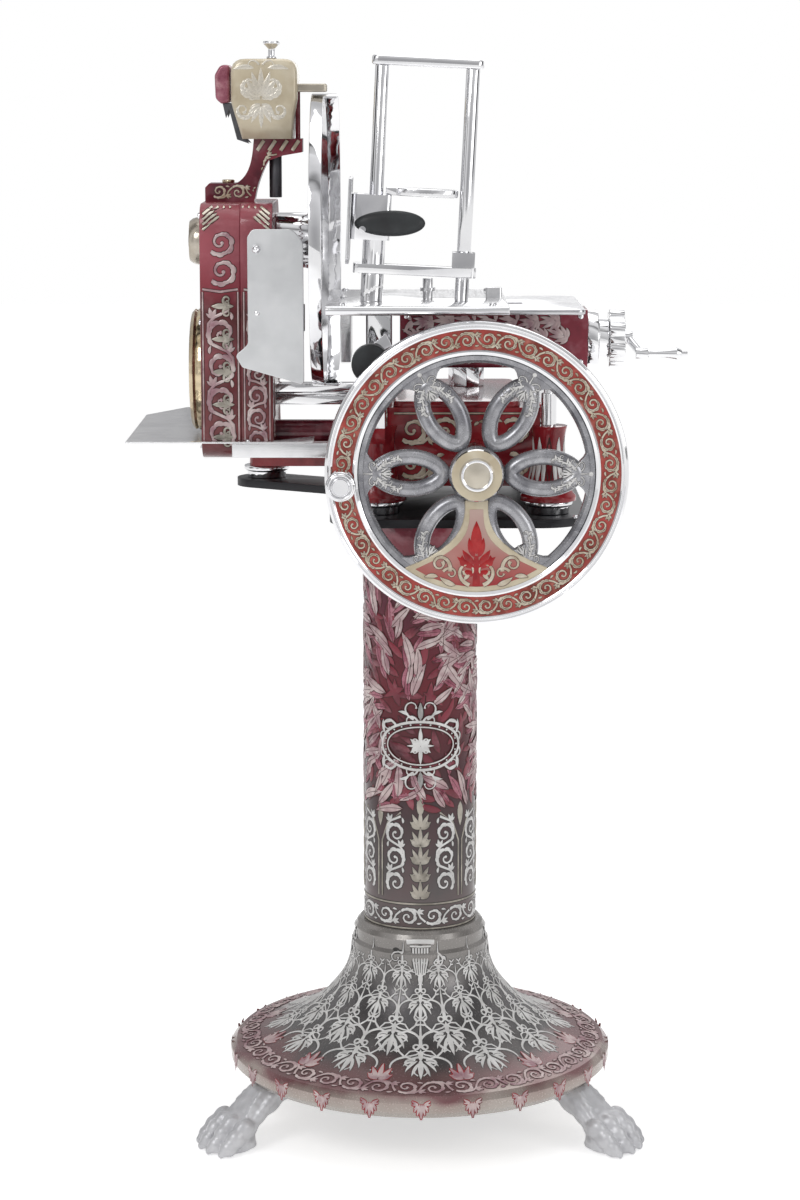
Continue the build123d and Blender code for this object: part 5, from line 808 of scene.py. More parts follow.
def rinceau(waves: int, span: float = 1.12) -> Ornament:
    """A wavy stem with a leafy spiral in each of its bends, one unit high, running towards +X.

    Args:
        waves: number of bends.
        span: length of each bend.

    Returns:
        The strokes.
    """
    strokes = []
    for k in range(waves):
        middle = (k + 0.5) * span
        path = []
        for i in range(21):
            reach, turn = 0.37 * (1 - i / 20) ** 0.85 + 0.05, radians(-135 + 23.5 * i)
            path.append((middle + 1.08 * reach * cos(turn), 0.03 + reach * sin(turn)))
        stem = Stroke(tuple(path), tuple(0.115 - 0.003 * i for i in range(21)))
        (bx, by), wide = path[-1], 0.055
        half = [stem, Stroke(((bx - wide, by), (bx, by), (bx + wide, by)), (0.06, 0.13, 0.06)),
                Stroke(((middle + 0.02, -0.40), (middle + 0.32, -0.37), (middle + 0.52, -0.20),
                        (middle + 0.63, 0.04), (middle + 0.79 * span / 1.12, 0.26)),
                       (0.07, 0.09, 0.09, 0.09, 0.10))]
        for share, size in ((0.0, 0.28), (0.09, 0.33), (0.17, 0.36), (0.26, 0.34), (0.35, 0.30),
                            (0.44, 0.25), (0.53, 0.20), (0.63, 0.15)):
            spot, heading = on_path(stem, share)
            half.append(leaf(spot, heading - 28, size, 0.48 * size, 60, 5))
        for share, size in ((0.13, 0.20), (0.25, 0.21), (0.38, 0.17)):
            spot, heading = on_path(stem, share)
            half.append(leaf(spot, heading + 36, size, 0.42 * size, -60, 5))
        for lean, size in ((-75, 0.26), (-38, 0.34), (0, 0.30)):
            half.append(leaf((middle + 0.50, -0.22), lean, size, 0.40 * size, 30, 5))
        half.append(leaf((middle + 0.44, 0.34), 20, 0.26, 0.10, -50, 5))
        up = 1 if k % 2 == 0 else -1
        strokes += [Stroke(tuple((x, up * y) for x, y in stroke.path), stroke.widths)
                    for stroke in half]
    return strokes


def curl(size: float, turn: float = 330.0) -> Ornament:
    """A single small curl with one leaf, starting at the origin towards +X."""
    stem = tendril((0, 0), 0, 1.9 * size, turn, 0.16 * size, 12)
    spot, heading = on_path(stem, 0.2)
    return [stem, leaf(spot, heading - 45, 0.5 * size, 0.2 * size, 50)]


def palmette(lobes: int = 7) -> Ornament:
    """A fan of leaves on two curls, one unit high, growing towards +Y."""
    strokes = []
    for i in range(lobes):
        lean = (i - (lobes - 1) / 2) / ((lobes - 1) / 2)
        length = 0.88 - 0.34 * abs(lean) ** 1.4
        strokes.append(leaf((0.05 * lean, 0.08), 90 - 74 * lean, length, 0.20, 26 * lean))
    for side in (False, True):
        strokes.append(tendril((0.03, 0.02), -22, 1.0, 330, 0.11, 12).laid(y=0.02, flip=side))
    return strokes


def fleur() -> Ornament:
    """A three leaf lily with a band and a foot, one unit high, growing towards +Y."""
    strokes = [leaf((0, 0.0), 90, 0.68, 0.26), leaf((0, -0.02), -90, 0.32, 0.16)]
    for side in (False, True):
        strokes.append(tendril((0.03, -0.02), 62, 0.86, -300, 0.15, 12).laid(flip=side))
        strokes.append(tendril((0.03, -0.06), -50, 0.42, 260, 0.09, 9).laid(flip=side))
    strokes.append(Stroke(((-0.17, -0.03), (0.0, -0.05), (0.17, -0.03)), (0.06, 0.09, 0.06)))
    return strokes


def lace_spire() -> Ornament:
    """A long thin spire over rings, open wings and drooping leaves; its body is one unit high."""
    strokes = [sweep((0, 0.66), 90, 0.78, (0, 0), 0.085, lambda t: 1.0 - 0.93 * t, 6),
               leaf((0, 0.40), -90, 0.60, 0.11), leaf((0, 0.34), 90, 0.30, 0.10)]
    for flip in (False, True):
        ring = tuple((0.085 + 0.058 * cos(pi * k / 5), 0.70 + 0.058 * sin(pi * k / 5))
                     for k in range(11))
        half = [Stroke(ring, (0.040,) * 11),
                Stroke(((0.02, 0.56), (0.10, 0.61), (0.21, 0.59), (0.31, 0.46), (0.20, 0.47),
                        (0.08, 0.51), (0.02, 0.56)), (0.035,) * 7),
                Stroke(((0.05, 0.44), (0.18, 0.40), (0.32, 0.45), (0.42, 0.57), (0.45, 0.70)),
                       (0.055, 0.05, 0.05, 0.04, 0.03)),
                leaf((0.45, 0.66), 132, 0.15, 0.05), leaf((0.45, 0.66), 48, 0.15, 0.05),
                leaf((0.42, 0.58), 8, 0.12, 0.05),
                sweep((0.30, 0.44), -12, 0.62, (-60, -300), 0.055, lambda t: 1 - 0.5 * t, 9),
                tendril((0.10, 0.36), 24, 0.52, -310, 0.06, 11),
                leaf((0.12, 0.32), 4, 0.28, 0.06, -60), leaf((0.06, 0.34), -30, 0.42, 0.065, -40),
                leaf((0.04, 0.28), -62, 0.42, 0.07, -14),
                Stroke(((0.05, 0.20), (0.13, 0.10), (0.12, -0.02), (0.05, -0.10)), (0.03,) * 4)]
        strokes += laid(half, flip=flip)
    return strokes


def pendant() -> Ornament:
    """A crown of small leaves with five long ones hanging from it, one unit high."""
    strokes = [leaf((0, 0), -90, 1.0, 0.20)]
    for flip in (False, True):
        half = [leaf((0.10, 0.0), -84, 0.76, 0.16, 8), leaf((0.21, 0.02), -78, 0.58, 0.15, 14),
                leaf((0.22, -0.02), -24, 0.36, 0.12, 40), leaf((0.16, -0.02), 12, 0.46, 0.13, 30),
                leaf((0.24, -0.20), -40, 0.24, 0.09, 30)]
        strokes += laid(half, flip=flip)
    return strokes


def spray() -> Ornament:
    """Seven long leaves that fan from one stem, one unit long, growing towards +Y."""
    strokes = [sweep((0, -0.05), 90, 0.6, (0, 0), 0.05, lambda t: 1 - 0.6 * t, 4)]
    for y, lean, length in ((0.30, 0, 0.72), (0.18, 27, 0.70), (0.14, -27, 0.70), (0.04, 50, 0.62),
                            (0.02, -50, 0.62), (-0.02, 78, 0.46), (-0.02, -78, 0.46)):
        strokes.append(leaf((0, y), 90 - lean, length, 0.18, 0.35 * lean, 6))
    return strokes


class OffSurface(Exception):
    """A point of a drawing misses the surface that it is pressed on."""


class Relief:
    """Raised ornament on a surface: ridged strokes over wider flat lines of shadow."""

    def __init__(self, name: str, rise: float = 0.30, shadow: float = 0.45,
                 most: float = 1.1) -> None:
        """Starts an empty relief.

        Args:
            name: name of the piece.
            rise: height of a ridge, as a share of its stroke's width.
            shadow: how far the line of shadow shows on each side, in millimetres.
            most: greatest height of a ridge, in millimetres.
        """
        self.piece, self.rise, self.shadow, self.most = Piece(name), rise, shadow, most

    def lay(self, strokes: Ornament, place: Placer, lift: float = 0.0, rib: float = 0.0) -> None:
        """Lays strokes on a surface.

        Args:
            strokes: the ornament, in millimetres.
            place: gives the surface's point and normal for each point of the drawing.
            lift: extra height, for strokes that lie over others.
            rib: width of a dark line down the middle, or 0.
        """
        for stroke in strokes:
            try:
                # The wider flat band under the stroke, in the relief's dark finish, is painted shadow.
                if self.shadow:
                    self._band(stroke, place, self.shadow, 0.10 + lift, 0.0, 1)
                self._band(stroke, place, 0.0, 0.16 + lift, self.rise, 0)
                if rib:
                    peak = min(self.rise * max(stroke.widths), self.most)
                    line = Stroke(stroke.path[:-1], (rib,) * (len(stroke.path) - 1))
                    self._band(line, place, 0.0, 0.20 + lift + peak, 0.0, 1)
            except OffSurface:
                continue

    def _band(self, stroke: Stroke, place: Placer, extra: float, lift: float, rise: float,
              mark: int) -> None:
        """Adds one strip of a stroke, flat or ridged."""
        rows, count = [], len(stroke.path)
        for i, (x, y) in enumerate(stroke.path):
            ax, ay = stroke.path[max(i - 1, 0)]
            bx, by = stroke.path[min(i + 1, count - 1)]
            run = hypot(bx - ax, by - ay) or 1.0
            half = stroke.widths[i] / 2 + extra
            nx, ny = -(by - ay) / run * half, (bx - ax) / run * half
            left, n1 = place(x + nx, y + ny)
            right, n2 = place(x - nx, y - ny)
            row = [left + n1 * lift]
            if rise:
                middle, n = place(x, y)
                row.append(middle + n * (lift + min(rise * stroke.widths[i], self.most)))
            row.append(right + n2 * lift)
            rows.append(row)
        self.piece.sheet(rows, marks=mark)

    def make(self, body: str, light: Finish, dark: Finish) -> bpy.types.Object:
        """Makes the relief's object with a finish for its strokes and one for its shadow."""
        return self.piece.make(body, light, dark, sharp=70, recalc=False)


def flat(seat: Seat) -> Placer:
    """Placer on a flat seat."""
    return lambda x, y: (seat.at(x, y), seat.out)


def round_bar(seat: Seat, radius: float) -> Placer:
    """Placer on a round bar about the seat's up axis: x runs round it from its front."""
    def place(x: float, y: float) -> tuple[Vector, Vector]:
        normal = seat.out * cos(x / radius) + seat.across * sin(x / radius)
        return seat.origin + seat.up * y + normal * radius, normal
    return place


def ring(seat: Seat, radius: float) -> Placer:
    """Placer on a flat ring: x runs round it at this radius, and y goes outwards."""
    def place(x: float, y: float) -> tuple[Vector, Vector]:
        turn = x / radius
        return seat.at((radius + y) * sin(turn), (radius + y) * cos(turn)), seat.out
    return place


class Surface:
    """A finished surface that ornament is pressed onto, such as a node of the frame."""

    def __init__(self, thing: bpy.types.Object) -> None:
        """Reads the faces of an object that lies at the origin."""
        mesh = thing.data
        self.tree = BVHTree.FromPolygons([v.co / MM for v in mesh.vertices],
                                         [tuple(p.vertices) for p in mesh.polygons])

    def press(self, place: Placer, reach: float = 12.0) -> Placer:
        """Placer that drops each point onto the surface along the drawing's normal.

        Args:
            place: placer near the surface.
            reach: how far the surface may lie from it.

        Returns:
            The placer on the surface.
        """
        def pressed(x: float, y: float) -> tuple[Vector, Vector]:
            spot, normal = place(x, y)
            hit = self.tree.ray_cast(spot + normal * reach, -normal, 2 * reach)[0]
            if hit is None:
                raise OffSurface
            return hit, normal
        return pressed


# ------------------------------------------------------------------------------------------------
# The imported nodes
# ------------------------------------------------------------------------------------------------
NODE_FINISH: dict[str, Finish] = {
    "paw_feet": PAW_SILVER, "pedestal_base": BASE_WASH, "pedestal_column": COLUMN_WASH,
    "column_capital": MAROON, "pedestal_top_plate": BLACK, "frame_bolts": CHROME,
    "machine_feet": CHROME, "base_casting": CRIMSON, "bed_plate": CRIMSON,
    "bed_crossbar": CHROME, "case_support_bar": STEEL, "guide_rods": CHROME,
    "guide_rod_posts": CHROME, "drive_shaft_housing": MAROON, "drive_chain": DARK_IRON,
    "chain_case": CASE_WASH, "chain_case_cover": CASE_WASH, "round_covers": CHAMPAGNE,
    "oil_cap": BRASS, "spindle_housing": CHROME, "blade_guard": CHROME,
    "receiving_tray": TABLE_METAL, "deflector_hinge": CHROME, "sharpener_arm": MAROON,
    "sharpener_hood": CREAM, "thickness_dial_bracket": CHROME, "flywheel": SILVER_PAINT,
    "flywheel_hub_cap": CREAM, "flywheel_axle": STEEL, "crown_gear": DARK_IRON,
    "handle_pin": CHROME, "flywheel_handle": CHROME, "cross_shaft": STEEL,
    "shaft_pinions": DARK_IRON, "idler_gear": DARK_IRON, "blade_spindle": STEEL,
    "blade": BLADE_STEEL, "blade_clamp_plate": CHROME, "carriage_beam": MAROON,
    "carriage_slippers": CHROME, "lower_table_plate": STEEL, "screw_bearing": CHROME,
    "upper_table_plate": TABLE_METAL, "front_rail": CHROME, "table_nut": BRASS,
    "clamp_posts": CHROME, "post_top_bar": CHROME, "feed_screw": STEEL,
    "feed_handwheel": CHROME, "feed_crank_arm": CHROME, "feed_grip": CHROME,
    "clamp_bridge": CHROME, "toothed_plate": STEEL, "press_handle": CHROME,
    "clamp_lever": CHARCOAL, "thickness_dial": CHARCOAL, "deflector_plate": ALUMINIUM,
    "sharpener_knob": CHROME, "grinding_stones": STONE, "sharpener_push_rod": DARK_IRON,
}

# Width of the rounded edges that a casting or a plate gets, in millimetres.
ROUNDED: dict[str, float] = {
    "pedestal_top_plate": 2.5, "column_capital": 1.0, "frame_bolts": 1.0, "machine_feet": 1.5,
    "base_casting": 2.0, "bed_plate": 1.5, "bed_crossbar": 1.5, "case_support_bar": 1.5,
    "guide_rods": 1.2, "chain_case": 2.5, "chain_case_cover": 2.5, "oil_cap": 1.0,
    "spindle_housing": 2.0, "blade_guard": 0.8, "receiving_tray": 0.6, "deflector_hinge": 1.0,
    "sharpener_arm": 2.5, "thickness_dial_bracket": 1.0,
    "carriage_beam": 2.5, "carriage_slippers": 2.5, "lower_table_plate": 1.2,
    "screw_bearing": 1.5, "upper_table_plate": 1.5, "front_rail": 1.0, "table_nut": 0.8,
    "clamp_posts": 1.0, "post_top_bar": 2.5, "feed_handwheel": 3.0, "feed_crank_arm": 0.8,
    "feed_grip": 1.5, "clamp_bridge": 2.0, "toothed_plate": 0.5, "press_handle": 3.5,
    "thickness_dial": 1.5, "sharpener_knob": 1.2,
    "sharpener_push_rod": 1.0, "blade_clamp_plate": 0.8, "flywheel_handle": 1.0,
}


class Frame:
    """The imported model: gives its nodes their finishes and rounds their edges."""

    def __init__(self) -> None:
        """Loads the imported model."""
        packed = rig.load()
        self.nodes: dict[str, bpy.types.Object] = packed["nodes"]
        self.slots = {part["node"]: part.get("material_slot", part["node"])
                      for part in packed["record"]["subparts"]}
        self.body = {node: thing["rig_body"] for node, thing in self.nodes.items()}
        self.low, self.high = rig.bounds()
        self.surfaces: dict[str, Surface] = {}

    def surface(self, node: str) -> Surface:
        """The surface of a node, for ornament."""
        if node not in self.surfaces:
            self.surfaces[node] = Surface(self.nodes[node])
        return self.surfaces[node]

    def dress(self) -> None:
        """Gives every node its finish and, where it is sharp, a copy with rounded edges."""
        for node, thing in self.nodes.items():
            finish = NODE_FINISH[node].material()
            thing.data.materials.clear()
            thing.data.materials.append(finish)
            if node in ROUNDED:
                self._rounded(node, ROUNDED[node])
            log.info("dressed %s", node)

    def _rounded(self, node: str, width: float) -> None:
        """Replaces a node with a copy that has rounded edges.

        Args:
            node: name of the node.
            width: width of its rounded edges, in millimetres.
        """
        source = self.nodes[node]
        shape = bmesh.new()
        shape.from_mesh(source.data)
        bmesh.ops.remove_doubles(shape, verts=shape.verts, dist=2e-6)
        bmesh.ops.dissolve_limit(shape, angle_limit=radians(0.6), verts=shape.verts,
                                 edges=shape.edges)
        mesh = bpy.data.meshes.new(node + "_rounded")
        shape.to_mesh(mesh)
        shape.free()
        mesh.materials.append(NODE_FINISH[node].material())
        thing = placed(node + "_rounded", mesh)
        soften(thing, width, 38)
        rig.replaces(thing, node)
        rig.ride(thing, self.body[node])
        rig.slot(thing, self.slots[node])


# ------------------------------------------------------------------------------------------------
# Studio
# ------------------------------------------------------------------------------------------------
@dataclass
class Studio:
    """Camera, lamps, pale room and floor.

    Attributes:
        place: place of the camera, in metres.
        tilt: its tilt from straight down, in degrees.
        lens: its focal length.
    """

    place: tuple[float, float, float] = (-0.0249, -3.506, 1.274)
    tilt: float = 80.0
    lens: float = 87.0

    def build(self) -> None:
        """Builds the studio."""
        self._camera()
        self._room()
        self._floor()
        for name, place, size, power in (
                ("key", (-1.6, -2.4, 2.6), 1.2, 26.0), ("fill", (2.2, -1.8, 1.5), 1.2, 12.0),
                ("top", (0.1, 0.2, 3.2), 1.6, 14.0), ("back", (0.6, 2.6, 2.0), 1.6, 10.0)):
            self._lamp(name, Vector(place), size, power)

    def _camera(self) -> None:
        """Sets the camera at the photograph's angle."""
        camera = bpy.data.cameras.new("camera")
        camera.lens = self.lens
        camera.sensor_width = 36.0
        thing = placed("camera", camera)
        thing.location = self.place
        thing.rotation_euler = (radians(self.tilt), 0, 0)
        bpy.context.scene.camera = thing
        bpy.context.scene.view_settings.view_transform = "Standard"

    def _lamp(self, name: str, place: Vector, size: float, power: float) -> None:
        """Adds a soft lamp that faces the machine."""
        lamp = bpy.data.lights.new(name, "AREA")
        lamp.size, lamp.energy = size, power
        thing = placed(name, lamp)
        thing.location = place
        thing.rotation_euler = (Vector((0, 0, 0.8)) - place).to_track_quat("-Z", "Y").to_euler()

    def _room(self) -> None:
        """A white room that is darker behind the camera, as polished metal mirrors it."""
        world = bpy.data.worlds.new("room")
        bpy.context.scene.world = world
        world.use_nodes = True
        nodes, link = world.node_tree.nodes, world.node_tree.links.new
        nodes.clear()
        leave, path = nodes.new("ShaderNodeOutputWorld"), nodes.new("ShaderNodeLightPath")
        place, split = nodes.new("ShaderNodeTexCoord"), nodes.new("ShaderNodeSeparateXYZ")
        ramp = nodes.new("ShaderNodeValToRGB")
        span = nodes.new("ShaderNodeMapRange")
        span.inputs["From Min"].default_value = -1.0
        stops = ramp.color_ramp.elements
        stops[0].position, stops[0].color = 0.0, (0.42, 0.42, 0.43, 1)
        stops[1].position, stops[1].color = 1.0, (0.42, 0.42, 0.43, 1)
        for spot, grey in ((0.05, 0.70), (0.12, 0.90), (0.19, 0.22), (0.25, 0.80), (0.36, 0.95),
                           (0.42, 0.05), (0.54, 0.03), (0.60, 0.40), (0.70, 0.90), (0.86, 0.62)):
            stop = stops.new(spot)
            stop.color = (grey, grey, grey * 1.01, 1)
        plain, mirrored, seen = (nodes.new("ShaderNodeBackground") for _ in range(3))
        plain.inputs["Color"].default_value = (1, 1, 1, 1)
        plain.inputs["Strength"].default_value = 0.50
        seen.inputs["Color"].default_value = (1, 1, 1, 1)
        bright = nodes.new("ShaderNodeMath")
        bright.operation = "MAXIMUM"
        first, second = nodes.new("ShaderNodeMixShader"), nodes.new("ShaderNodeMixShader")
        link(place.outputs["Generated"], split.inputs["Vector"])
        link(split.outputs["Y"], span.inputs["Value"])
        link(span.outputs["Result"], ramp.inputs["Fac"])
        link(ramp.outputs["Color"], mirrored.inputs["Color"])
        link(path.outputs["Is Glossy Ray"], first.inputs["Fac"])
        link(plain.outputs["Background"], first.inputs[1])
        link(mirrored.outputs["Background"], first.inputs[2])
        link(path.outputs["Is Camera Ray"], bright.inputs[0])
        link(path.outputs["Is Transmission Ray"], bright.inputs[1])
        link(bright.outputs[0], second.inputs["Fac"])
        link(first.outputs["Shader"], second.inputs[1])
        link(seen.outputs["Background"], second.inputs[2])
        link(second.outputs["Shader"], leave.inputs["Surface"])

    def _floor(self) -> None:
        """A white floor that keeps the machine's shadow."""
        mesh = bpy.data.meshes.new("floor")
        reach = 14.0
        mesh.from_pydata([(-reach, -reach, 0), (reach, -reach, 0), (reach, reach, 0),
                          (-reach, reach, 0)], [], [(0, 1, 2, 3)])
        material = bpy.data.materials.new("white_floor")
        material.use_nodes = True
        nodes, link = material.node_tree.nodes, material.node_tree.links.new
        shader = nodes["Principled BSDF"]
        shader.inputs["Base Color"].default_value = (0.88, 0.88, 0.88, 1)
        shader.inputs["Roughness"].default_value = 0.9
        path, glow = nodes.new("ShaderNodeLightPath"), nodes.new("ShaderNodeMath")
        glow.operation = "MULTIPLY"
        glow.inputs[1].default_value = 0.56
        shader.inputs["Emission Color"].default_value = (1, 1, 1, 1)
        seen = nodes.new("ShaderNodeMath")
        seen.operation = "MAXIMUM"
        link(path.outputs["Is Camera Ray"], seen.inputs[0])
        link(path.outputs["Is Glossy Ray"], seen.inputs[1])
        link(seen.outputs[0], glow.inputs[0])
        link(glow.outputs[0], shader.inputs["Emission Strength"])
        mesh.materials.append(material)
        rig.stage(placed("floor", mesh))


# ------------------------------------------------------------------------------------------------
# Pedestal
# ------------------------------------------------------------------------------------------------
@dataclass
class Paws:
    """Three sculpted lion's paws under the base.

    Attributes:
        reach: pedestal axis to the toes.
        width: half the width across the toes.
        top: height of the leg under the disc.
        angles: where the paws stand, in degrees.
    """

    reach: float = 306.0
    width: float = 39.0
    top: float = 73.0
    angles: tuple[float, ...] = (-30.0, 90.0, 210.0)

    def build(self) -> None:
        """Builds the paws as one piece."""
        shape = bmesh.new()
        for spot, size, lean in self._lumps():
            place = (Matrix.Translation(Vector(spot) * MM) @ Matrix.Rotation(radians(lean), 4, "Y")
                     @ Matrix.Diagonal((*[v * MM for v in size], 1)))
            bmesh.ops.create_icosphere(shape, subdivisions=3, radius=1.0, matrix=place)
        mesh = bpy.data.meshes.new("paw")
        shape.to_mesh(mesh)
        shape.free()
        paw = placed("paw", mesh)
        skin = paw.modifiers.new("skin", "REMESH")
        skin.mode, skin.voxel_size = "VOXEL", 0.0018
        soft = paw.modifiers.new("soft", "SMOOTH")
        soft.factor, soft.iterations = 0.5, 9
        settle(paw)
        points = [v.co / MM for v in paw.data.vertices]
        faces = [tuple(p.vertices) for p in paw.data.polygons]
        bpy.data.objects.remove(paw)
        piece = Piece("sculpted_paws")
        for angle in self.angles:
            turn, start = Matrix.Rotation(radians(angle), 3, "Z"), len(piece.points)
            for p in points:
                held = Vector((min(p.x, self.reach), max(-self.width, min(self.width, p.y)),
                               max(0.0, min(self.top, p.z))))
                piece.points.append(turn @ held)
            piece.faces.extend(tuple(start + i for i in face) for face in faces)
            piece.marks.extend([0] * len(faces))
        paws = piece.make("frame", PAW_SILVER, slot="cast_silver", sharp=180)
        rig.replaces(paws, "paw_feet")

    def _lumps(self) -> list[tuple[Point, Point, float]]:
        """Places, sizes and leans of the rounded masses of one paw."""
        lumps = [((206, 0, 66), (26, 26, 17), 10), ((222, 0, 55), (27, 24, 20), 30),
                 ((240, 0, 42), (27, 24, 19), 38), ((256, 0, 28), (24, 28, 20), 20),
                 ((262, 0, 13), (24, 33, 14), 0), ((252, 0, 6), (16, 27, 6), 0),
                 ((270, 0, 5), (32, 33, 5), 0)]
        for y, back, height in ((-28, 7, 0), (-9.6, 0, 2), (9.6, 0, 2), (28, 7, 0)):
            fan = y * 1.06
            lumps += [((270 - back, y, 31 + height), (14, 9.6, 13), 30),
                      ((282 - back, fan, 22 + height), (13, 9.8, 12), 45),
                      ((292 - back, fan, 12), (11, 9.6, 11), 10),
                      ((301 - back, fan, 7), (6.5, 4.6, 5.5), 25),
                      ((303 - back, fan, 4), (3.0, 2.8, 4.0), 0)]
        for side in (-1, 1):
            for i in range(7):
                share = i / 6
                lumps.append(((208 + 44 * share, side * (8 + 12 * share), 73 - 30 * share * share),
                              (8, 4.2 - 1.2 * share, 6.5), 35 * share))
                lumps.append(((214 + 34 * share, side * (20 + 5 * share), 66 - 32 * share),
                              (7, 4.4, 7.0), 40))
        lumps += [((214 + 8 * i, 0, 71 - 4.6 * i), (8, 4.0, 6.0), 30) for i in range(6)]
        return lumps


@dataclass
class Pedestal:
    """Ornament of the base disc, its flare, the column and the capital.

    Attributes:
        column: radius of the column.
        disc: radius of the base disc.
        profile: radius and height of the flare, from the collar outwards.
    """

    column: float = 69.0
    disc: float = 237.0
    profile: tuple[Point, ...] = ((80, 252), (85, 215), (91, 193), (103, 172), (122, 150),
                                  (150, 129), (190, 111), (230, 100))

    def build(self, frame: Frame) -> None:
        """Builds the ornament of the pedestal."""
        Paws().build()
        self._flare(frame)
        self._disc_edge()
        self._leaves()
        self._medallion()
        self._panels()

    def _bar(self, height: float = 0.0) -> Placer:
        """Placer round the column: y is the height over this one."""
        return round_bar(front_seat(0, 0, height), self.column)

    def _on_flare(self, reach: float) -> tuple[float, float, Vector]:
        """Radius, height and normal at a distance down the flare from the collar."""
        for (r0, z0), (r1, z1) in zip(self.profile, self.profile[1:]):
            run = hypot(r1 - r0, z1 - z0)
            if reach <= run or (r1, z1) == self.profile[-1]:
                share = reach / run
                normal = Vector((z0 - z1, 0, r1 - r0)).normalized()
                return r0 + (r1 - r0) * share, z0 + (z1 - z0) * share, normal
            reach -= run
        raise ValueError("the profile has no runs")

    def _flared(self, angle: float, reach: float) -> Placer:
        """Placer on the flare about a point; y runs up towards the collar."""
        def place(x: float, y: float) -> tuple[Vector, Vector]:
            radius, height, normal = self._on_flare(max(reach - y, 0.1))
            turn = angle + x / radius
            c, s = cos(turn), sin(turn)
            return (Vector((radius * c, radius * s, height)),
                    Vector((normal.x * c, normal.x * s, normal.z)))
        return place

    def _flare(self, frame: Frame) -> None:
        """Staggered rows of lace, larger towards the edge of the disc, under small columns."""
        lace = Relief("flare_lace", rise=0.30, shadow=0.75)
        press = frame.surface("pedestal_base").press
        for reach, size, shift in ((60, 38, 0.5), (98, 44, 0.0), (146, 60, 0.5), (186, 62, 0.0)):
            for i in range(12):
                angle = 2 * pi * (i + shift) / 12 - pi / 2
                lace.lay(laid(lace_spire(), size=size), press(self._flared(angle, reach), 8))
        lace.make("frame", LACE, GREY_PAINTED_SHADOW)
        small = Relief("flare_columns", rise=0.30, shadow=1.2)
        for i in range(4):
            angle = pi * i / 2 - pi / 2
            flutes = [Stroke(((x, -7), (x * 0.94, -22), (x * 0.6, -40)), (2.3, 2.3, 1.5))
                      for x in (-9, -5.4, -1.8, 1.8, 5.4, 9)]
            flutes.append(Stroke(((-17, 0), (-8, 1), (0, 1.2), (8, 1), (17, 0)),
                                 (6.0, 5.4, 5.4, 5.4, 6.0)))
            flutes.append(Stroke(((-13, -5), (0, -5.4), (13, -5)), (2.2, 2.4, 2.2)))
            flutes.append(leaf((0, -38), -90, 16, 6))
            small.lay(flutes, press(self._flared(angle, 8), 8))
        for i in range(12):
            angle = 2 * pi * (i + 0.5) / 12 - pi / 2
            if i % 3 != 1:
                small.lay(laid(curl(17, 300), x=0, y=0, turn=150, flip=i % 2 == 0),
                          press(self._flared(angle, 22), 8))
        small.make("frame", LACE, GREY_PAINTED_SHADOW)

    def _disc_edge(self) -> None:
        """Palmettes and a band of scrolls on the disc, and pendants on its side wall."""
        lilies = Relief("disc_lilies", rise=0.15, shadow=1.2, most=0.6)
        border = Relief("disc_border", rise=0.25, shadow=0.7)
        count = 12
        for i in range(count):
            angle = 2 * pi * i / count - pi / 2
            lilies.lay(laid(palmette(5), size=30), self._flared(angle + pi / count, 202))
        for i in range(20):
            angle = 2 * pi * i / 20 - pi / 2
            border.lay(laid(rinceau(2), x=-34, size=29.5), self._flared(angle, 216))
        wall = round_bar(front_seat(0, 0, 0), self.disc)
        for i in range(2 * count):
            x = pi * self.disc * i / count
            lilies.lay(laid(pendant(), x=x, y=93.0, size=20), wall)
        # The crimson enamel here colours the painted shadow bands round the lilies and the pendants.
        lilies.make("frame", PINK_LEAF, CRIMSON)
        border.make("frame", PINK_LEAF, SHADOW_AND_RIB_LINE)

    def _leaves(self) -> None:
        """Three layers of long leaves all round the upper column."""
        bar = self._bar()
        around = 2 * pi * self.column
        layers = (("column_leaves_deep", 380, 0.10, MAROON, 0.0, (30, 8.0), 0.0),
                  ("column_leaves_rose", 280, 0.45, ROSE_LEAF, 0.25, (33, 8.4), 0.5),
                  ("column_leaves_pale", 250, 0.70, PINK_LEAF, 0.6, (37, 9.6), 0.6))
        number = 0
        for name, count, start, finish, lift, (length, width), rib in layers:
            leaves = Relief(name, rise=0.10, shadow=1.0, most=0.8)
            for i in range(count):
                number += 1
                x = around * ((start + number * 0.7548777) % 1.0 - 0.5)
                z = 405 + 292 * ((0.5 + number * 0.5698403) % 1.0)
                if lift and hypot(x / 57, (z - 488) / 48) < 1:
                    continue
                flow = 90 + 62 * sin(x / 26 + z / 57) + 24 * sin(z / 19 + number)
                if number % 6 == 0:
                    flow += 70
                grown = length * (0.8 + 0.45 * (number * 0.618 % 1.0))
                leaves.lay([leaf((x, z), flow, grown, width * grown / length,
                                 30 * sin(number * 1.7))], bar, lift, rib)
            leaves.make("frame", finish, SHADOW_AND_RIB_LINE)

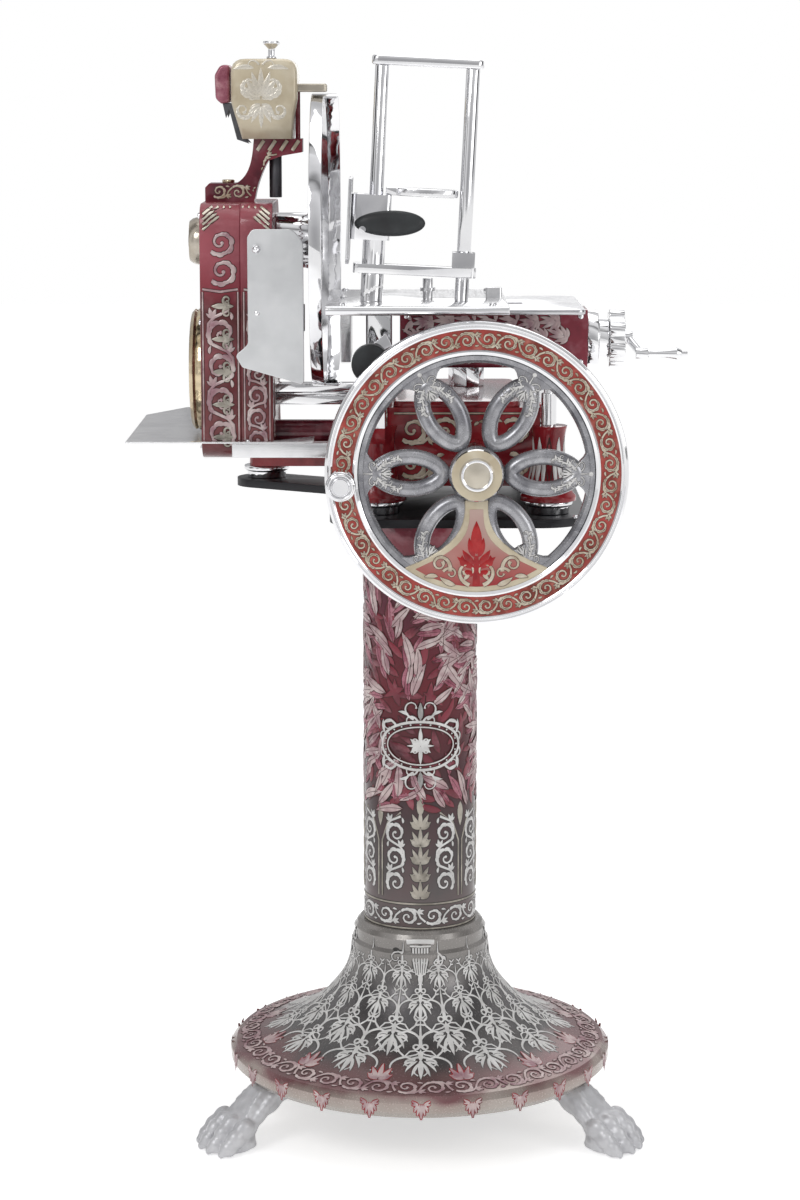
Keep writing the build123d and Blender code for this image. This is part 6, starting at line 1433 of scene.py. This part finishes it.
    def _medallion(self) -> None:
        """An oval cartouche with a row of beads and a rosette, framed by curls."""
        oval = Relief("column_medallion", rise=0.30, shadow=1.2)
        bar = self._bar(488)
        for wide, high, width in ((50, 30, 3.2), (42, 23.5, 1.6)):
            path = tuple((wide * cos(pi * k / 24), high * sin(pi * k / 24)) for k in range(49))
            oval.lay([Stroke(path, (width,) * 49)], bar, 0.9)
        for k in range(24):
            x, y = 46 * cos(pi * k / 12), 26.8 * sin(pi * k / 12)
            oval.lay([Stroke(((x - 1, y), (x, y), (x + 1, y)), (1.2, 2.2, 1.2))], bar, 0.9)
        for turn in (0, 90, 180, 270):
            oval.lay(laid(palmette(3), turn=turn, size=17 if turn % 180 else 24), bar, 0.9)
        for side in (False, True):
            for flip in (1, -1):
                half = [tendril((3, 30), 70, 30, -300, 2.6), tendril((8, 33), 20, 40, 250, 3.0, 14),
                        tendril((30, 24), 60, 34, -280, 3.0, 14), leaf((14, 38), 40, 14, 4.0, -40),
                        leaf((34, 30), 10, 16, 4.4, -50), leaf((46, 14), 60, 17, 4.2, 40),
                        leaf((0, 32), 90, 22, 6.5), tendril((49, 3), 40, 24, 260, 2.4)]
                oval.lay([Stroke(tuple((px, py * flip) for px, py in s.path), s.widths)
                           for s in laid(half, flip=side)], bar, 0.9)
        oval.make("frame", LACE, SHADOW_AND_RIB_LINE)

    def _panels(self) -> None:
        """Arched panels of acanthus between candelabra, over a band of scrolls."""
        work = Relief("column_panels", rise=0.26, shadow=0.9)
        trims = Relief("column_candelabra", rise=0.30, shadow=0.9)
        bar = self._bar()
        pitch = 2 * pi * self.column / 4
        for i in range(4):
            centre = pitch * i
            stack = [leaf((0, 400), 90, 30, 9)]
            for k in range(5):
                stack += laid(palmette(5), x=0, y=296 + 22 * k, size=25)
            trims.lay([s.laid(centre, 0, 0, 1) for s in stack], bar)
            for side in (False, True):
                fill = laid(rinceau(3, 1.04), x=32, y=299, size=30, turn=90)
                arch = tuple((pitch / 2 - a, b) for a, b in
                             ((3, 296), (3, 330), (3, 366), (12, 390), (30, 404)))
                work.lay([s.laid(centre, 0, 0, 1, side) for s in fill], bar)
                trims.lay([Stroke(arch, (2.0,) * 5).laid(centre, 0, 0, 1, side)], bar)
            trims.lay([leaf((centre + pitch / 2, 414), -90, 30, 9)], bar)
        count = 14
        around = 2 * pi * self.column
        work.lay(laid(rinceau(count, around / count / 25), y=273, size=25), bar)
        for z, width in ((258, 2.0), (289, 2.2)):
            path = tuple((2 * pi * self.column * i / 96, z) for i in range(97))
            trims.lay([Stroke(path, (width,) * 97)], bar)
        work.make("frame", LACE, GREY_PAINTED_SHADOW)
        trims.make("frame", GREY_LEAF, GREY_PAINTED_SHADOW)


# ------------------------------------------------------------------------------------------------
# Flywheel
# ------------------------------------------------------------------------------------------------
@dataclass
class Flywheel:
    """The spoked flywheel with its painted rim, counterweight and handle.

    Attributes:
        x: place of its axis.
        z: height of its axis.
        front: height of its rim's face over the seat at Y 0.
        radius: its radius.
        inner: inner radius of the rim.
        petals: number of looped spokes.
        loop_reach: axis of the wheel to the middle of a loop.
        loop_half: half the length of a loop.
        loop_swing: half the width of a loop.
        loop_bar: radius of the loops' bar.
        loop_sunk: depth of the loops' middle behind the rim's face.
        band: radius of the middle of the painted band.
    """

    x: float = 62.5
    z: float = 841.5
    front: float = 231.0
    radius: float = 173.5
    inner: float = 135.0
    petals: int = 6
    loop_reach: float = 77.0
    loop_half: float = 38.0
    loop_swing: float = 18.6
    loop_bar: float = 9.2
    loop_sunk: float = 13.5
    band: float = 153.3

    @property
    def seat(self) -> Seat:
        """Seat on the wheel's axis at Y 0, facing the operator."""
        return front_seat(self.x, 0, self.z)

    def build(self) -> None:
        """Builds the flywheel's pieces."""
        wheel = self._rim()
        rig.replaces(wheel, "flywheel")
        self._spokes()
        self._webs()
        self._weight()
        cap = self._hub()
        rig.replaces(cap, "flywheel_hub_cap")
        self._band_ornament()
        self._panel_ornament()
        self._lace()
        self._handle_end()

    def _rim(self) -> bpy.types.Object:
        """The rim with polished beads on both sides of its painted band."""
        f, r = self.front, self.radius
        profile = [(self.inner, f - 24), (self.inner, f - 5), (136.2, f - 1.8), (139.6, f - 0.3),
                   (141.4, f - 0.6), (142.4, f - 2.2), (164.2, f - 2.2), (165.0, f - 0.8),
                   (166.6, f), (168.2, f - 1.2), (169.0, f - 1.2), (170.6, f), (r - 0.9, f - 0.9),
                   (r, f - 3), (r, f - 23), (r - 2, f - 26), (self.inner + 2, f - 26),
                   (self.inner, f - 24)]
        marks = [0] * len(profile)
        marks[5] = 1
        piece = Piece("flywheel_rim")
        piece.turned(self.seat, profile, 144, marks)
        inner = [(127.0, f - 20), (126.2, f - 14), (127.0, f - 8), (130.0, f - 4.5),
                 (self.inner, f - 3.8), (self.inner, f - 21), (127.0, f - 20)]
        piece.turned(self.seat, inner, 144, 2)
        return piece.make("flywheel", CHROME, CORAL, SILVER_PAINT, slot="red_enamel", sharp=32)

    def _spokes(self) -> None:
        """Looped spokes of thick round bar."""
        piece = Piece("flywheel_loops")
        depth = self.front - self.loop_sunk
        for k in range(self.petals):
            turn = pi * k / 3
            path = []
            for i in range(56):
                t = 2 * pi * i / 56
                reach = self.loop_reach + self.loop_half * cos(t)
                swing = self.loop_swing * (1 if sin(t) > 0 else -1) * abs(sin(t)) ** 1.25
                path.append(self.seat.at(reach * cos(turn) - swing * sin(turn),
                                         reach * sin(turn) + swing * cos(turn), depth))
            piece.tube(path, [self.loop_bar] * 56, 18, closed=True, flat=1.05)
        piece.turned(self.seat, [(10, 192), (29, 192), (self.inner - 103, self.front - 2),
                                 (30, self.front + 5), (14, self.front + 5.8)], 64)
        piece.make("flywheel", SILVER_PAINT, slot="red_enamel", sharp=60)

    def _webs(self) -> None:
        """Curved webs where each loop meets the rim."""
        piece = Piece("flywheel_webs")
        half = [(98, 7), (108, 9.0), (116, 12.5), (122, 18.5), (126, 26), (129, 36)]
        for k in range(self.petals):
            turn = pi * k / 3
            outline = half + [(136 * cos(a), 136 * sin(a)) for a in
                              (radians(v) for v in (16, 8, 0, -8, -16))]
            outline += [(u, -v) for u, v in reversed(half)]
            spun = [(u * cos(turn) - v * sin(turn), u * sin(turn) + v * cos(turn))
                    for u, v in outline]
            piece.slab(self.seat, spun, self.front - 20, self.front - 5.5)
        piece.make("flywheel", SILVER_PAINT, slot="red_enamel", bevel=4.0)

    def _weight_outline(self, inset: float) -> list[Point]:
        """Outline of the counterweight, drawn in by some millimetres."""
        reach, wide = 136.5 - inset, 71 - 2.2 * inset
        side = [(13 - 0.8 * inset + wide * t ** 2.7,
                 -30 - 1.6 * inset - (79 - 2.0 * inset) * t ** 0.92)
                for t in (i / 10 for i in range(10))]
        tip = radians(37.4 - 0.75 * inset)
        arc = [(reach * sin(tip * (1 - k / 6)), -reach * cos(tip * (1 - k / 6))) for k in range(13)]
        return side + arc + [(-x, y) for x, y in reversed(side)]

    def _weight(self) -> None:
        """The counterweight: a cream border round a red panel."""
        piece = Piece("flywheel_counterweight")
        piece.slab(self.seat, self._weight_outline(0), self.front - 22, self.front - 2.5)
        piece.make("flywheel", CREAM, slot="red_enamel", bevel=1.6)
        panel = Piece("counterweight_panel")
        panel.slab(self.seat, self._weight_outline(6.5), self.front - 8, self.front - 1.9)
        panel.make("flywheel", PANEL_RED, slot="red_enamel", bevel=0.5)

    def _hub(self) -> bpy.types.Object:
        """The hub's cream face with its polished ring and pearl centre."""
        f = self.front
        profile = [(12.5, f + 6), (30, f + 6), (30, f + 8.6), (28.8, f + 10), (20.0, f + 10),
                   (19.4, f + 11), (18.0, f + 13.4), (16.4, f + 14), (15.2, f + 13.2),
                   (14.6, f + 11.8), (13.8, f + 11.8), (8, f + 12.4), (0.2, f + 12.6)]
        marks = [0, 0, 1, 0, 1, 1, 1, 1, 1, 2, 2, 2]
        piece = Piece("flywheel_hub_face")
        piece.turned(self.seat, profile, 64, marks)
        return piece.make("flywheel", CREAM, CHROME, CHAMPAGNE, slot="cream_enamel", sharp=30)

    def _band_ornament(self) -> None:
        """Acanthus leaves and scrolls round the painted band."""
        work = Relief("flywheel_band_scrolls", rise=0.20, shadow=0.6, most=0.6)
        seat = Seat(self.seat.at(0, 0, self.front - 2.2), self.seat.across, self.seat.up)
        place, count, size = ring(seat, self.band), 40, 20.4
        around = 2 * pi * self.band
        for stroke in laid(rinceau(count, around / count / size), size=size):
            work.lay([stroke], place, 0.0, 0.45 if max(stroke.widths) > 2.4 else 0.0)
        work.make("flywheel", LEAFING, SHADOW_AND_RIB_LINE)

    def _panel_ornament(self) -> None:
        """A red plume over paired cream scrolls on the counterweight."""
        top = Seat(self.seat.at(0, 0, self.front - 1.9), self.seat.across, self.seat.up)
        plume = Relief("counterweight_plume", rise=0.16, shadow=0.0, most=0.7)
        strokes = [leaf((0, -92), 90, 38, 13), Stroke(((0, -129), (0, -112), (0, -94)), (9, 7, 5))]
        for side in (False, True):
            for y, heading, length in ((-96, 62, 24), (-104, 38, 22), (-108, 20, 24),
                                       (-116, 8, 15)):
                strokes.append(leaf((2, y), heading, length, 7.5, 22).laid(flip=side))
            strokes.append(leaf((14, -108), 70, 15, 7, 20).laid(flip=side))
        plume.lay(strokes, flat(top))
        plume.make("flywheel", RED_RELIEF, SHADOW_AND_RIB_LINE)
        work = Relief("counterweight_scrolls", rise=0.2, shadow=0.6, most=0.6)
        for side in (False, True):
            pair = [tendril((8, -128), 20, 62, 420, 4.6, 18),
                    tendril((30, -112), 100, 54, -400, 4.6, 18),
                    tendril((38, -112), 130, 30, 300, 3.4, 12), leaf((24, -128), 10, 20, 6, 30),
                    leaf((44, -118), 20, 16, 5, -40), leaf((14, -122), 120, 12, 4.4, 30)]
            work.lay(laid(pair, flip=side), flat(top))
        work.make("flywheel", LEAFING, SHADOW_AND_RIB_LINE)

    def _lace(self) -> None:
        """White lace on the outer half of each loop, and three small screws."""
        work = Relief("flywheel_lace", rise=0.35, shadow=0.5)
        for k in range(self.petals):
            turn = pi * k / 3

            def on_loop(x: float, y: float, side: float = 1.0,
                        turn: float = turn) -> tuple[Vector, Vector]:
                """Point on a bar of the loop: x runs inwards from the tip, y across the bar."""
                t = x / 40.0
                reach = self.loop_reach + self.loop_half * cos(t)
                swing = self.loop_swing * abs(sin(t)) ** 1.25
                nx, ny = cos(t) * 1.3, sin(t) + 0.25
                size = hypot(nx, ny)
                reach, swing = reach + y * nx / size, swing + y * ny / size
                swing *= side
                lift = 9.6 * sqrt(max(0.0, 1 - (y / self.loop_bar) ** 2))
                return (self.seat.at(reach * cos(turn) - swing * sin(turn),
                                     reach * sin(turn) + swing * cos(turn),
                                     self.front - self.loop_sunk + lift), self.seat.out)

            def left_bar(x: float, y: float) -> tuple[Vector, Vector]:
                """Point on the other bar of the loop."""
                return on_loop(x, y, -1.0)

            for place in (on_loop, left_bar):
                for i, x in enumerate((16, 24, 32, 40, 48)):
                    side = i % 2 == 0
                    size = 9.4 - 0.8 * i
                    work.lay(laid(curl(size, 320), x=x, y=(-1.5 if side else 1.5), flip=side,
                                  turn=(200 if side else -20)), place)
                    work.lay([leaf((x, 0), 40 if side else -40, size * 0.9, 2.4, 30),
                              leaf((x + 4, 0), -50 if side else 50, size * 0.7, 2.0, -30)], place)
                stem = Stroke(((12, 0), (24, 1), (38, -1), (52, 0.5)), (2.2, 1.9, 1.6, 0.8))
                work.lay([stem], place)
            web = Seat(self.seat.at(111 * cos(turn), 111 * sin(turn), self.front - 5.4),
                       Vector((sin(turn), 0, -cos(turn))), Vector((cos(turn), 0, sin(turn))))
            tip = laid(lace_spire(), y=-11, size=24)
            tip += laid([tendril((3, 8), 55, 17, -190, 1.5), tendril((-3, 8), 125, 17, 190, 1.5)])
            work.lay(tip, lambda x, y, web=web: (web.at(x, y), self.seat.out))
        work.make("flywheel", LACE, GREY_PAINTED_SHADOW)
        screws = Piece("flywheel_screws")
        for turn in (0, 60, 120):
            spot = front_seat(self.x + 130.5 * cos(radians(turn)), 0,
                              self.z + 130.5 * sin(radians(turn)))
            f = self.front
            screws.turned(spot, [(2.6, f - 6), (2.6, f - 3.4), (1.8, f - 2.6), (0.1, f - 2.4)], 14)
        screws.make("flywheel", LACE, slot="red_enamel", sharp=60)

    def _handle_end(self) -> None:
        """Nested rings on the end of the handle."""
        seat = front_seat(-91.406, 0, 836.126)
        piece = Piece("handle_end_rings")
        for radius, wide, high in ((13.4, 1.7, 2.4), (9.9, 1.2, 1.6)):
            piece.turned(seat, [(radius + wide * cos(a), 299.2 + high * max(sin(a), -0.3))
                                for a in (2 * pi * i / 12 for i in range(13))], 40)
        piece.make("flywheel_handle", CHROME, slot="chrome", sharp=80)


# ------------------------------------------------------------------------------------------------
# Machine frame, case and sharpener
# ------------------------------------------------------------------------------------------------
@dataclass
class Castings:
    """Ornament of the gear box, the legs, the chain case, the arm and the hood.

    Attributes:
        case_front: front of the case over the seat at Y 0.
        box_front: front of the gear box over the seat at Y 0.
    """

    case_front: float = 60.0
    box_front: float = 110.0

    def build(self, frame: Frame) -> None:
        """Builds the ornament of the castings."""
        self._case(frame)
        self._case_sides(frame)
        self._covers()
        self._box(frame)
        self._legs(frame)
        self._hood(frame)
        self._arm(frame)

    def _case(self, frame: Frame) -> None:
        """Lilies and scrolls on the front and the back of the chain case."""
        lilies, scrolls = Relief("case_lilies", shadow=1.0), Relief("case_scrolls", shadow=0.9)
        bands = Relief("case_corner_bands", rise=0.1, shadow=0.9)
        for facing in (1, -1):
            y = -self.case_front if facing == 1 else 140.0
            seat = front_seat(0, y, 0) if facing == 1 else rear_seat(0, y, 0)
            for node, centre, wide in (("chain_case_cover", -238, 42), ("chain_case", -195, 30)):
                place = frame.surface(node).press(flat(seat), 34)
                middle, half = centre * facing, wide / 2
                scrolls.lay(laid(rinceau(round(186 / wide), 186 / wide / round(186 / wide) * 0.94),
                                 x=middle, y=846, turn=90, size=wide * 0.92), place)
                if node == "chain_case_cover":
                    for k in range(5):
                        lilies.lay(laid(fleur(), x=middle + 7 * facing, y=864 + 39 * k, size=26,
                                        turn=90 * facing), place, 0.5)
                for x in (middle - half, middle + half):
                    path = tuple((x, 842 + 19.5 * i) for i in range(11))
                    scrolls.lay([Stroke(path, (1.6,) * 11)], place)
                scrolls.lay(laid(rinceau(1), x=middle - half * 0.9, y=1060, size=38,
                                 flip=facing < 0), place)
                scrolls.lay(laid(rinceau(1), x=middle - half * 0.9, y=1094, size=36,
                                 flip=facing < 0), place)
                scrolls.lay([Stroke(((middle - half, 1040), (middle, 1037), (middle + half, 1040)),
                                    (2.2, 2.6, 2.2))], place)
                out = -1 if node == "chain_case_cover" else 1
                for k in range(4):
                    reach = 9 + 6 * k
                    edge = -258 if out < 0 else -179
                    bands.lay([Stroke(((edge * facing, 1137 - reach),
                                       ((edge - out * reach * 0.6) * facing, 1137 - reach * 0.5),
                                       ((edge - out * reach * 1.2) * facing, 1137)),
                                      (2.6, 2.8, 2.6))], place, 0.6)
        lilies.make("frame", GREY_LEAF, SHADOW_AND_RIB_LINE)
        scrolls.make("frame", PINK_LEAF, SHADOW_AND_RIB_LINE)
        bands.make("frame", CHAMPAGNE, SHADOW_AND_RIB_LINE)

    def _case_sides(self, frame: Frame) -> None:
        """Scrolls on the broad sides of the case."""
        work = Relief("case_side_scrolls", shadow=0.8)
        left = frame.surface("chain_case_cover").press(flat(left_seat(-262, 0, 0)), 6)
        right = frame.surface("chain_case").press(flat(right_seat(-176, 0, 0)), 6)
        for y in (-28, 6, 40, 74, 108):
            for place, sign in ((left, -1), (right, 1)):
                for stroke in laid(rinceau(8, 1.02), x=sign * y, y=852, turn=90, size=32):
                    px, pz = stroke.path[0]
                    if sign < 0:
                        covered = (hypot(px + 40, pz - 936) < 84 or hypot(px + 40, pz - 1092) < 38)
                    else:
                        covered = (hypot(px - 40, pz - 1092) < 46 or pz < 935 and abs(px - 40) < 60)
                    if not covered:
                        work.lay([stroke], place)
        work.make("frame", PINK_LEAF, SHADOW_AND_RIB_LINE)

    def _covers(self) -> None:
        """Round covers with scalloped rims."""
        piece = Piece("scalloped_covers")
        low, high = left_seat(-262, 40, 936), left_seat(-262, 40, 1092)
        piece.turned(low, [(74.5, 0.2), (74.5, 6), (72, 9), (73.5, 12), (69, 16), (64, 17)], 168, 0,
                     (28, 0.006))
        piece.turned(low, [(64, 17), (60, 14.5), (54, 16.5), (20, 19.6), (0.2, 20)], 96, 1)
        piece.turned(high, [(28.5, 0.2), (28.8, 8), (27, 14), (24, 18), (20, 17), (8, 19.5),
                            (0.2, 20)], 72, 1)
        covers = piece.make("frame", BRASS, CHAMPAGNE, slot="chrome", sharp=50)
        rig.replaces(covers, "round_covers")
        work = Relief("cover_leaves", rise=0.3, shadow=0.5)
        for i in range(10):
            work.lay([s.laid(0, 0, 36 * i, 1) for s in laid(palmette(5), y=24, size=30)],
                     lambda x, y: (low.at(x, y, 18.4 - hypot(x, y) * 0.035), low.out))
        work.make("frame", LEAFING, SHADOW_AND_RIB_LINE)

    def _box(self, frame: Frame) -> None:
        """Scrolls on the four sides of the gear box."""
        work = Relief("gear_box_scrolls", shadow=0.8)
        press = frame.surface("base_casting").press
        sides = ((flat(front_seat(0, -self.box_front, 0)), -40, 140),
                 (flat(rear_seat(0, 150, 0)), -140, 40),
                 (flat(left_seat(-40, 0, 0)), -150, 110),
                 (flat(right_seat(140, 0, 0)), -110, 150))
        for place, low, high in sides:
            run = high - low - 20
            for z in (836, 877):
                waves = round(run / 40)
                strokes = laid(rinceau(waves, run / waves / 37), x=low + 10, y=z, size=37)
                work.lay([s for s in strokes if low != -40 or
                          hypot(s.path[0][0] - 62.5, s.path[0][1] - 841.5) > 42], press(place, 6))
            for z in (817, 898):
                path = tuple((low + 8 + (high - low - 16) * i / 16, z) for i in range(17))
                work.lay([Stroke(path, (1.8,) * 17)], press(place, 6))
        work.make("frame", LEAFING, SHADOW_AND_RIB_LINE)

    def _legs(self, frame: Frame) -> None:
        """Long leaves round the right hand legs."""
        work = Relief("leg_leaves", rise=0.22, shadow=0.6)
        press = frame.surface("base_casting").press
        for x, y in ((150, -110), (150, 142)):
            bar = round_bar(front_seat(x, y, 796), 27.0)
            for i in range(10):
                place = 2 * pi * 27 * i / 10
                work.lay([leaf((place, 76), -90, 60, 9.5), leaf((place + 8.5, 60), -90, 46, 6)],
                         press(bar, 12))
        work.make("frame", LACE, SHADOW_AND_RIB_LINE)

    def _hood(self, frame: Frame) -> None:
        """Embossed flowers on the front and the back of the sharpener's hood."""
        work = Relief("hood_embossing", rise=0.30, shadow=0.0, most=1.0)
        for seat, sign in ((front_seat(0, -10, 0), 1), (rear_seat(0, 74, 0), -1)):
            place = frame.surface("sharpener_hood").press(flat(seat), 6)
            middle = -190 * sign
            drawing = (laid(palmette(7), x=middle, y=1262, size=38)
                       + laid(palmette(5), x=middle, y=1256, size=30, turn=180))
            for side in (False, True):
                drawing += [s.laid(middle, 1258, 0, 1, side) for s in
                            laid(acanthus_scroll(), x=22, y=14, size=24)
                            + laid(acanthus_scroll(), x=22, y=-18, size=20, turn=-60)
                            + [leaf((8, 40), 20, 26, 6, -40), tendril((2, 44), 60, 24, -240, 2.4)]]
            work.lay(drawing, place)
        work.make("frame", PEARL_RELIEF, SHADOW_AND_RIB_LINE)

    def _arm(self, frame: Frame) -> None:
        """Scrolls up the sharpener's arm, and bands across its head."""
        work = Relief("arm_scrolls", shadow=0.7)
        for seat, sign in ((front_seat(0, 10, 0), 1), (rear_seat(0, 50, 0), -1)):
            place = frame.surface("sharpener_arm").press(flat(seat), 5)
            work.lay([s.laid(0, 0, 0, 1, sign < 0) for s in
                      laid(rinceau(3, 1.2), x=-254, y=1152, size=19)
                      + laid(rinceau(2, 1.1), x=-192, y=1160, turn=68, size=17)], place)
            for x in (-192, -178, -164, -150):
                work.lay([Stroke(((x * sign - 4, 1201), (x * sign, 1207), (x * sign + 4, 1213)),
                                 (4.2, 4.2, 4.2))], place)
        work.make("frame", LEAFING, SHADOW_AND_RIB_LINE)


@dataclass
class Sheets:
    """Sheet metal and moulded pieces with rounded outlines: hood, deflector and lever knob.

    Attributes:
        hood_front: front of the hood.
        hood_depth: its depth.
    """

    hood_front: float = -10.0
    hood_depth: float = 84.0

    def build(self) -> None:
        """Builds the sheet metal and the knob."""
        self._hood()
        self._deflector()
        self._lever()

    def _shell(self, name: str, outline: Sequence[Point], front: float, back: float,
               soft: float, finish: Finish) -> bpy.types.Object:
        """A hollow shell with rounded front and rear edges and one open side.

        Args:
            name: name of the piece.
            outline: its outline from the front; the run from its end to its start is open.
            front: height of its front over the seat at Y 0.
            back: height of its rear.
            soft: radius of the rounded edges.
            finish: finish of the skin.

        Returns:
            The object.
        """
        seat = front_seat(0, 0, 0)
        middle = Vector((sum(x for x, _ in outline), sum(y for _, y in outline))) / len(outline)
        rows = []
        for share, height in ((1.0, front), (0.45, front - 0.18 * soft), (0.13, front - 0.5 * soft),
                              (0.0, front - soft), (0.0, back + soft), (0.13, back + 0.5 * soft),
                              (0.45, back + 0.18 * soft), (1.0, back)):
            row = []
            for x, y in outline:
                inwards = (middle - Vector((x, y))).normalized() * (soft * share)
                row.append(seat.at(x + inwards.x, y + (inwards.y if y > outline[0][1] + 1 else 0),
                                   height))
            rows.append(row)
        piece = Piece(name)
        piece.sheet(rows)
        piece.fan(rows[0])
        piece.fan(rows[-1], flip=True)
        thing = piece.make("frame", finish, slot="cream_enamel", sharp=60)
        wall = thing.modifiers.new("wall", "SOLIDIFY")
        wall.thickness, wall.offset = 2.4 * MM, -1
        settle(thing)
        return thing

    def _hood(self) -> None:
        """The cream hood over the stones, with its side lug, its guards and its arm."""
        front, back = -self.hood_front, -self.hood_front - self.hood_depth
        face = rounded([(-153, 1215, 0), (-151, 1240, 4), (-147, 1262, 10), (-147, 1309, 17),
                        (-226, 1309, 17), (-226, 1258, 12), (-213, 1215, 0)])
        hood = self._shell("hood_shell", face, front, back, 6.0, CREAM)
        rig.replaces(hood, "sharpener_hood")
        lug = Piece("hood_lug")
        lug.slab(front_seat(0, 0, 0), rounded([(-228, 1258, 0), (-228, 1302, 0), (-239, 1302, 9),
                                               (-246, 1290, 9), (-245, 1262, 8), (-238, 1256, 4)]),
                 -66, -4)
        lug.make("frame", ROSE_LEAF, slot="cream_enamel", bevel=3.5)
        guards = Piece("hood_guards")
        for low, high in ((-12, -9), (-60, -57)):
            guards.slab(front_seat(0, 0, 0),
                        [(-237, 1257), (-233, 1239), (-229, 1249), (-220, 1214), (-205, 1209),
                         (-212, 1217), (-222, 1257)], low, high)
        guards.make("frame", DARK_IRON, slot="dark_iron", bevel=0.6)
        arm = Piece("hood_arm")
        arm.slab(top_seat(0, 0, 1270), rounded([(-156, 10, 0), (-112, 10, 5), (-112, 34, 5),
                                                (-156, 34, 0)]), 0, 10)
        arm.make("frame", CHAMPAGNE, slot="cream_enamel", bevel=2.0)

    def _deflector(self) -> None:
        """The satin deflector with its rounded corners, its knob and its screw."""
        plate = Piece("deflector_sheet")
        plate.slab(front_seat(0, 0, 0),
                   rounded([(-138, 929, 5), (-138.4, 1096, 12), (-150, 1112, 16), (-198, 1112, 8),
                            (-204, 1103, 6), (-204, 977, 10), (-219, 964, 5), (-211, 950, 6)]),
                   86.0, 89.0)
        sheet = plate.make("deflector", ALUMINIUM, slot="aluminium", bevel=0.7)
        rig.replaces(sheet, "deflector_plate")
        knob = Piece("deflector_knob")
        knob.turned(front_seat(-193, 0, 1089),
                    [(3.0, 85), (3.0, 91), (4.4, 92), (5.2, 95), (4.6, 99), (2.6, 101),
                     (0.1, 101.4)], 24)
        knob.turned(front_seat(-193, 0, 1014),
                    [(3.2, 88.6), (3.0, 90.0), (2.2, 90.6), (0.1, 90.8)], 20)
        knob.make("deflector", CHROME, slot="chrome", sharp=50)

    def _lever(self) -> None:
        """The oval grip of the clamp's lever."""
        low, high = (Vector(corner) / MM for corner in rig.box("clamp_lever"))
        middle = (low + high) / 2
        piece = Piece("lever_grip")
        wide, deep, tall = (high.x - low.x) / 2, (high.y - low.y) / 2, (high.z - low.z) / 2
        rows, steps = [], 48
        for k in range(13):
            lean, row = pi * (k / 12 - 0.5), []
            swell = max(cos(lean), 0.02) ** 0.7
            for i in range(steps):
                turn = 2 * pi * i / steps
                egg = 0.94 + 0.06 * cos(turn)
                row.append(Vector((middle.x + wide * swell * cos(turn), middle.y + deep * sin(lean),
                                   middle.z + tall * swell * sin(turn) * egg)))
            rows.append(row)
        piece.sheet(rows, ring=True)
        piece.fan(rows[0])
        piece.fan(rows[-1], flip=True)
        grip = piece.make("clamp_lever", CHARCOAL, slot="black_plastic", sharp=60)
        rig.replaces(grip, "clamp_lever")


@dataclass
class Carriage:
    """Ornament of the carriage beam.

    Attributes:
        front: front of the beam over the seat at Y 0.
        rear: rear of the beam over the same seat.
    """

    front: float = 73.0
    rear: float = 7.0

    def build(self, frame: Frame) -> None:
        """Builds the carriage's ornament."""
        work = Relief("beam_leaves", rise=0.20, shadow=0.8, most=1.0)
        press = frame.surface("carriage_beam").press
        number = 0
        for place, low, high in ((flat(front_seat(0, -self.front, 0)), -20, 192),
                                 (flat(rear_seat(0, -self.rear, 0)), -192, 20)):
            for row, z in enumerate((962, 984, 1004)):
                for i in range(8):
                    number += 1
                    x = low + 8 + (i + 0.4 * (row % 2)) * (high - low - 12) / 8
                    drawing = laid(spray(), x=x, y=z, size=26, turn=62 + number * 41 % 50)
                    work.lay(drawing, press(place, 4))
        work.make("carriage", PINK_LEAF, SHADOW_AND_RIB_LINE)


def screws(name: str, body: str, finish: Finish, spots: Sequence[tuple[Seat, float]]) -> None:
    """Small domed screws with a slot.

    Args:
        name: name of the piece.
        body: body that they sit on.
        finish: their finish.
        spots: seat and radius of each.
    """
    piece = Piece(name)
    for seat, radius in spots:
        piece.turned(seat, [(radius, -0.4), (radius, 0.35 * radius), (0.8 * radius, 0.6 * radius),
                            (0.3 * radius, 0.72 * radius), (0.05, 0.74 * radius)], 18)
    piece.make(body, finish, sharp=50)


def small_screws() -> None:
    """Screws of the case cover, the table, the carriage beam, the tray and the top plate."""
    cover = [(left_seat(-262, y, z), 3.6) for y in (-48, 128) for z in (850, 1000, 1126)]
    screws("case_screws", "frame", CHROME, cover)
    table = [(top_seat(x, y, 1029.5), 4.2) for x in (-92, 82) for y in (-170, -60, 74)]
    screws("table_screws", "meat_table", STEEL, table)
    plate = [(front_seat(x, -73, z), 3.4) for x in (-17, 189) for z in (955, 1009)]
    screws("beam_screws", "carriage", CHROME, plate)
    tray = [(top_seat(-206, y, 860), 3.2) for y in (-68, 160)]
    screws("tray_screws", "frame", STEEL, tray)
    deck = [(top_seat(x, y, 780), 4.0)
            for x, y in ((-90, -150), (180, -150), (180, 185), (-90, 120))]
    screws("deck_screws", "frame", CHROME, deck)


def main() -> None:
    """Builds the machine's looks in order."""
    logging.basicConfig(level=logging.INFO, format="%(message)s")
    frame = Frame()
    Studio().build()
    frame.dress()
    Pedestal().build(frame)
    Flywheel().build()
    Castings().build(frame)
    Sheets().build()
    Carriage().build(frame)
    small_screws()
    low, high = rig.bounds()
    with open("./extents.json", "w", encoding="utf-8") as out:
        json.dump({"cad_box": [list(frame.low), list(frame.high)],
                   "visual_box": [list(low), list(high)]}, out)
    log.info("visual box %s %s", list(low), list(high))


if __name__ == "__main__":
    main()
